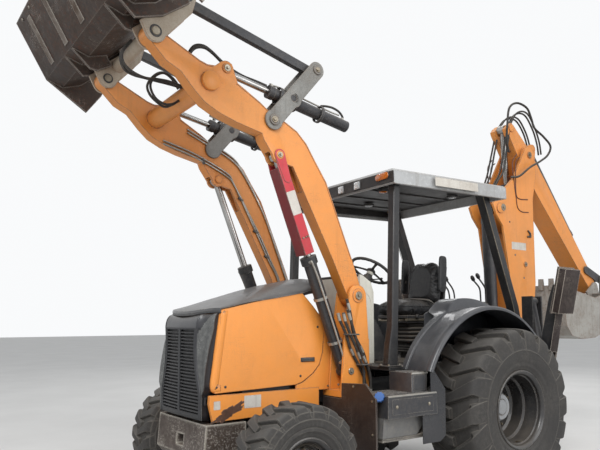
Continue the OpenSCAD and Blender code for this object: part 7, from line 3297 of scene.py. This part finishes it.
            out.join(brick((x - 0.055, 0.583, z - 0.006), (x + 0.050, 0.661, z + 0.006), 0.003, 2))
        return out.both()

    def build(self) -> set[str]:
        """Makes the flanks' pieces and names the nodes they stand for.

        Returns:
            Names of the nodes that get a piece of their own.
        """
        p = self.paints
        fender = make_object(
            "rear_fender_arcs", self.fender().both().join(self.fender_wall().both()), [p["fender_plastic"]],
            "chassis", 40.0
        )
        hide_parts("rear_fenders")
        rows = (
            ("step_treads", self.tread(), "black_paint line_steel", "chassis", 35.0, "dark_grey"),
            ("box_covers", self.boxes(), "dark_grey_paint zinc_fitting", "chassis", 35.0, "dark_grey"),
            ("side_guards", self.guards(), "brow_paint", "chassis", 35.0, "black_paint"),
            ("lower_steps", self.lower_step(), "worn_step_steel", "chassis", 35.0, "dark_grey"),
            ("filler_cap", self.caps(), "blue_cap", "chassis", 40.0, "plastic"),
            (
                "side_hose_bundles", self.bundle(), "hose_rubber line_steel dark_grey_paint", "chassis",
                50.0, "plastic"
            )
        )
        make_all(p, rows)

        def guard(at: np.ndarray, facing: np.ndarray) -> np.ndarray:
            """Picks the brown guard plates ahead of the boxes, and the dusty wedge below the step box."""
            wedge = (at[:, 2] < 0.737) & (np.abs(at[:, 1]) > 0.755)
            return np.where(at[:, 0] > 1.50, 1, np.where(wedge, 2, 0))

        skin(
            "side_boxes", [p["dark_grey_paint"], p["guard_brown_paint"], p["dusty_grey_paint"]], 0.006, guard
        )
        return {"rear_fenders", "side_boxes"}


@dataclass
class Backhoe:
    """Dressing of the backhoe: hoses, lines, pin faces, bare plates and the stabilisers' pads."""

    paints: Paintbox
    dipper_pin: tuple[float, float] = (-1.680, 3.385)
    boom_foot: tuple[float, float] = (-1.500, 1.000)

    def boom_hoses(self) -> Patch:
        """Hoses up the boom's back in clamps, and the bundle that arches over its nose to the dipper.

        Returns:
            The hoses and their clamps.
        """
        out = Patch()
        for k, y in enumerate((-0.085, -0.05, 0.05, 0.085)):
            path = [
                (-1.640, y, 1.30), (-1.735, y, 1.62), (-1.742, y, 1.90), (-1.745, y, 2.40),
                (-1.748, y, 2.84), (-1.79, y, 3.03), (-1.835, y, 3.20)
            ]
            out.join(hose(row(path), 0.011, 60, 9, 0))
            arch = [
                (-1.08, y * 1.1, 2.86 + 0.01 * k), (-1.17, y * 1.2, 2.98 + 0.015 * k),
                (-1.27, y * 1.3, 3.16), (-1.36, y * 1.3, 3.42 + 0.02 * k), (-1.45, y * 1.2, 3.68 + 0.02 * k),
                (-1.60, y * 1.1, 3.86 + 0.015 * k), (-1.80, y, 3.90 + 0.012 * k), (-1.95, y, 3.78),
                (-2.03, y, 3.62), (-2.06, y, 3.47)
            ]
            out.join(hose(row(arch), 0.0105, 70, 9, 0))
        loop = [
            (-1.31, 0.175, 3.070), (-1.40, 0.225, 3.085), (-1.57, 0.25, 3.205), (-1.777, 0.25, 3.307),
            (-1.939, 0.25, 3.409), (-2.001, 0.25, 3.528), (-1.86, 0.25, 3.620), (-1.69, 0.25, 3.69),
            (-1.63, 0.25, 3.80), (-1.55, 0.25, 3.905), (-1.368, 0.25, 3.925), (-1.221, 0.25, 3.84),
            (-1.188, 0.24, 3.656), (-1.22, 0.20, 3.48), (-1.30, 0.165, 3.36)
        ]
        out.join(hose(row(loop), 0.0125, 110, 10, 0))
        for z in (1.75, 2.15, 2.55):
            out.join(brick((-1.757, -0.105, z - 0.02), (-1.715, 0.105, z + 0.02), 0.004, 1))
        return out

    def side_lines(self) -> Patch:
        """Two bent lines on each of the boom's side plates, the locking pin's rest, and three thin black
        discs that paint the shade of pin holes.

        Returns:
            The lines, hooks and painted hole shades of both sides.
        """
        out = Patch()
        for line in (
            [
                (-1.500, 3.33), (-1.42, 3.26), (-1.400, 3.05), (-1.406, 2.872), (-1.476, 2.836),
                (-1.620, 2.846)
            ],
            [
                (-1.440, 3.36), (-1.355, 3.24), (-1.375, 3.00), (-1.400, 2.84), (-1.421, 2.735),
                (-1.491, 2.692), (-1.625, 2.695)
            ]
        ):
            out.join(hose(row([(x, 0.1715, z) for x, z in line]), 0.006, 40, 8, 0))
        hook = [
            (-1.650, 2.400), (-1.585, 2.400), (-1.585, 2.418), (-1.628, 2.418), (-1.628, 2.445),
            (-1.590, 2.475), (-1.602, 2.486), (-1.650, 2.450)
        ]
        out.join(plate(rounded(hook[::-1], 0.004), 0.168, 0.184, 0.002, 1).in_row())
        # painted shade: thin black discs on the side plate stand in for three shaded pin holes
        for x, z in ((-1.267, 2.553), (-1.349, 2.183), (-1.50, 1.93)):
            out.join(shaft((x, z), 0.012, 0.1695, 0.1712, 1, 0.0005, 20))
        return out.both()

    def pins(self) -> Patch:
        """Bright pin faces with bolts on boom and tower.

        Returns:
            The pin faces of both sides.
        """
        out = Patch()
        for x, z, r, y in (
            (-1.146, 2.705, 0.040, 0.178), (-1.530, 2.085, 0.026, 0.176), (*self.dipper_pin, 0.034, 0.178)
        ):
            out.join(pin_face((x, z), r, y, 0.008, r * 0.7, 0.010))
        x, z = self.boom_foot
        out.join(shaft((x, z), 0.050, 0.196, 0.204, 1, 0.002))
        out.join(hex_head(row((x, 0.203, z)), (0, 1, 0), 0.030, 0.012, 0))
        return out.both()

    def plates(self) -> Patch:
        """A bare pale plate on each side of the boom.

        Returns:
            The plates of both sides.
        """
        out = Patch()
        out.join(plate(oblong((-1.555, 2.245), (-1.290, 2.330), 0.005), 0.1695, 0.1710, 0.0005).in_row())
        return out.both()

    def tower_hoses(self) -> Patch:
        """Hoses that loop from the lever stand's foot round the swing tower.

        Returns:
            The hoses.
        """
        out = Patch()
        for k, y in enumerate((-0.30, -0.22, 0.22, 0.30)):
            s = 1 if y > 0 else -1
            path = [
                (-1.00, y, 1.245), (-1.06, y, 1.30 + 0.01 * k), (-1.16, y * 0.95, 1.33),
                (-1.28, y * 0.85, 1.27), (-1.36, s * 0.215, 1.16), (-1.44, s * 0.212, 1.13)
            ]
            out.join(hose(row(path), 0.0115, 40, 9))
        return out

    def build(self) -> set[str]:
        """Makes the backhoe's pieces; the solids themselves get skins.

        Returns:
            Names of the nodes that get a piece of their own.
        """
        p = self.paints
        rows = (
            ("boom_hoses", self.boom_hoses(), "hose_rubber dark_grey_paint", "boom", 60.0, "plastic"),
            ("boom_side_lines", self.side_lines(), "brown_line black_paint", "boom", 60.0, "plastic"),
            ("boom_pin_faces", self.pins(), "zinc_fitting dark_grey_paint", "boom", 35.0, "rod"),
            ("boom_plates", self.plates(), "white_plate", "boom", 35.0, "light_grey"),
        )
        make_all(p, rows)

        def pad(at: np.ndarray, facing: np.ndarray) -> np.ndarray:
            """Picks a stabiliser's pad and upper end."""
            return (at[:, 2] > 1.18).astype(int)

        for node in ("left_leg", "right_leg"):
            skin(node, [p["black_paint"], p["pad_brown_steel"]], 0.006, pad)
        make_object("tower_hoses", self.tower_hoses(), [p["hose_rubber"]], "swing_tower", 60.0)
        return {"left_leg", "right_leg"}


PARTS: tuple = (Wheels, Hood, Loader, Cab, Flanks, Backhoe)


def main() -> None:
    """Builds the machine piece by piece."""
    logging.basicConfig(level=logging.INFO, format="%(message)s")
    paints = Paintbox()
    Studio().build()
    own: set[str] = set()
    for part in PARTS:
        own |= part(paints).build()
    Skins(paints).dress(own)


if __name__ == "__main__":
    main()
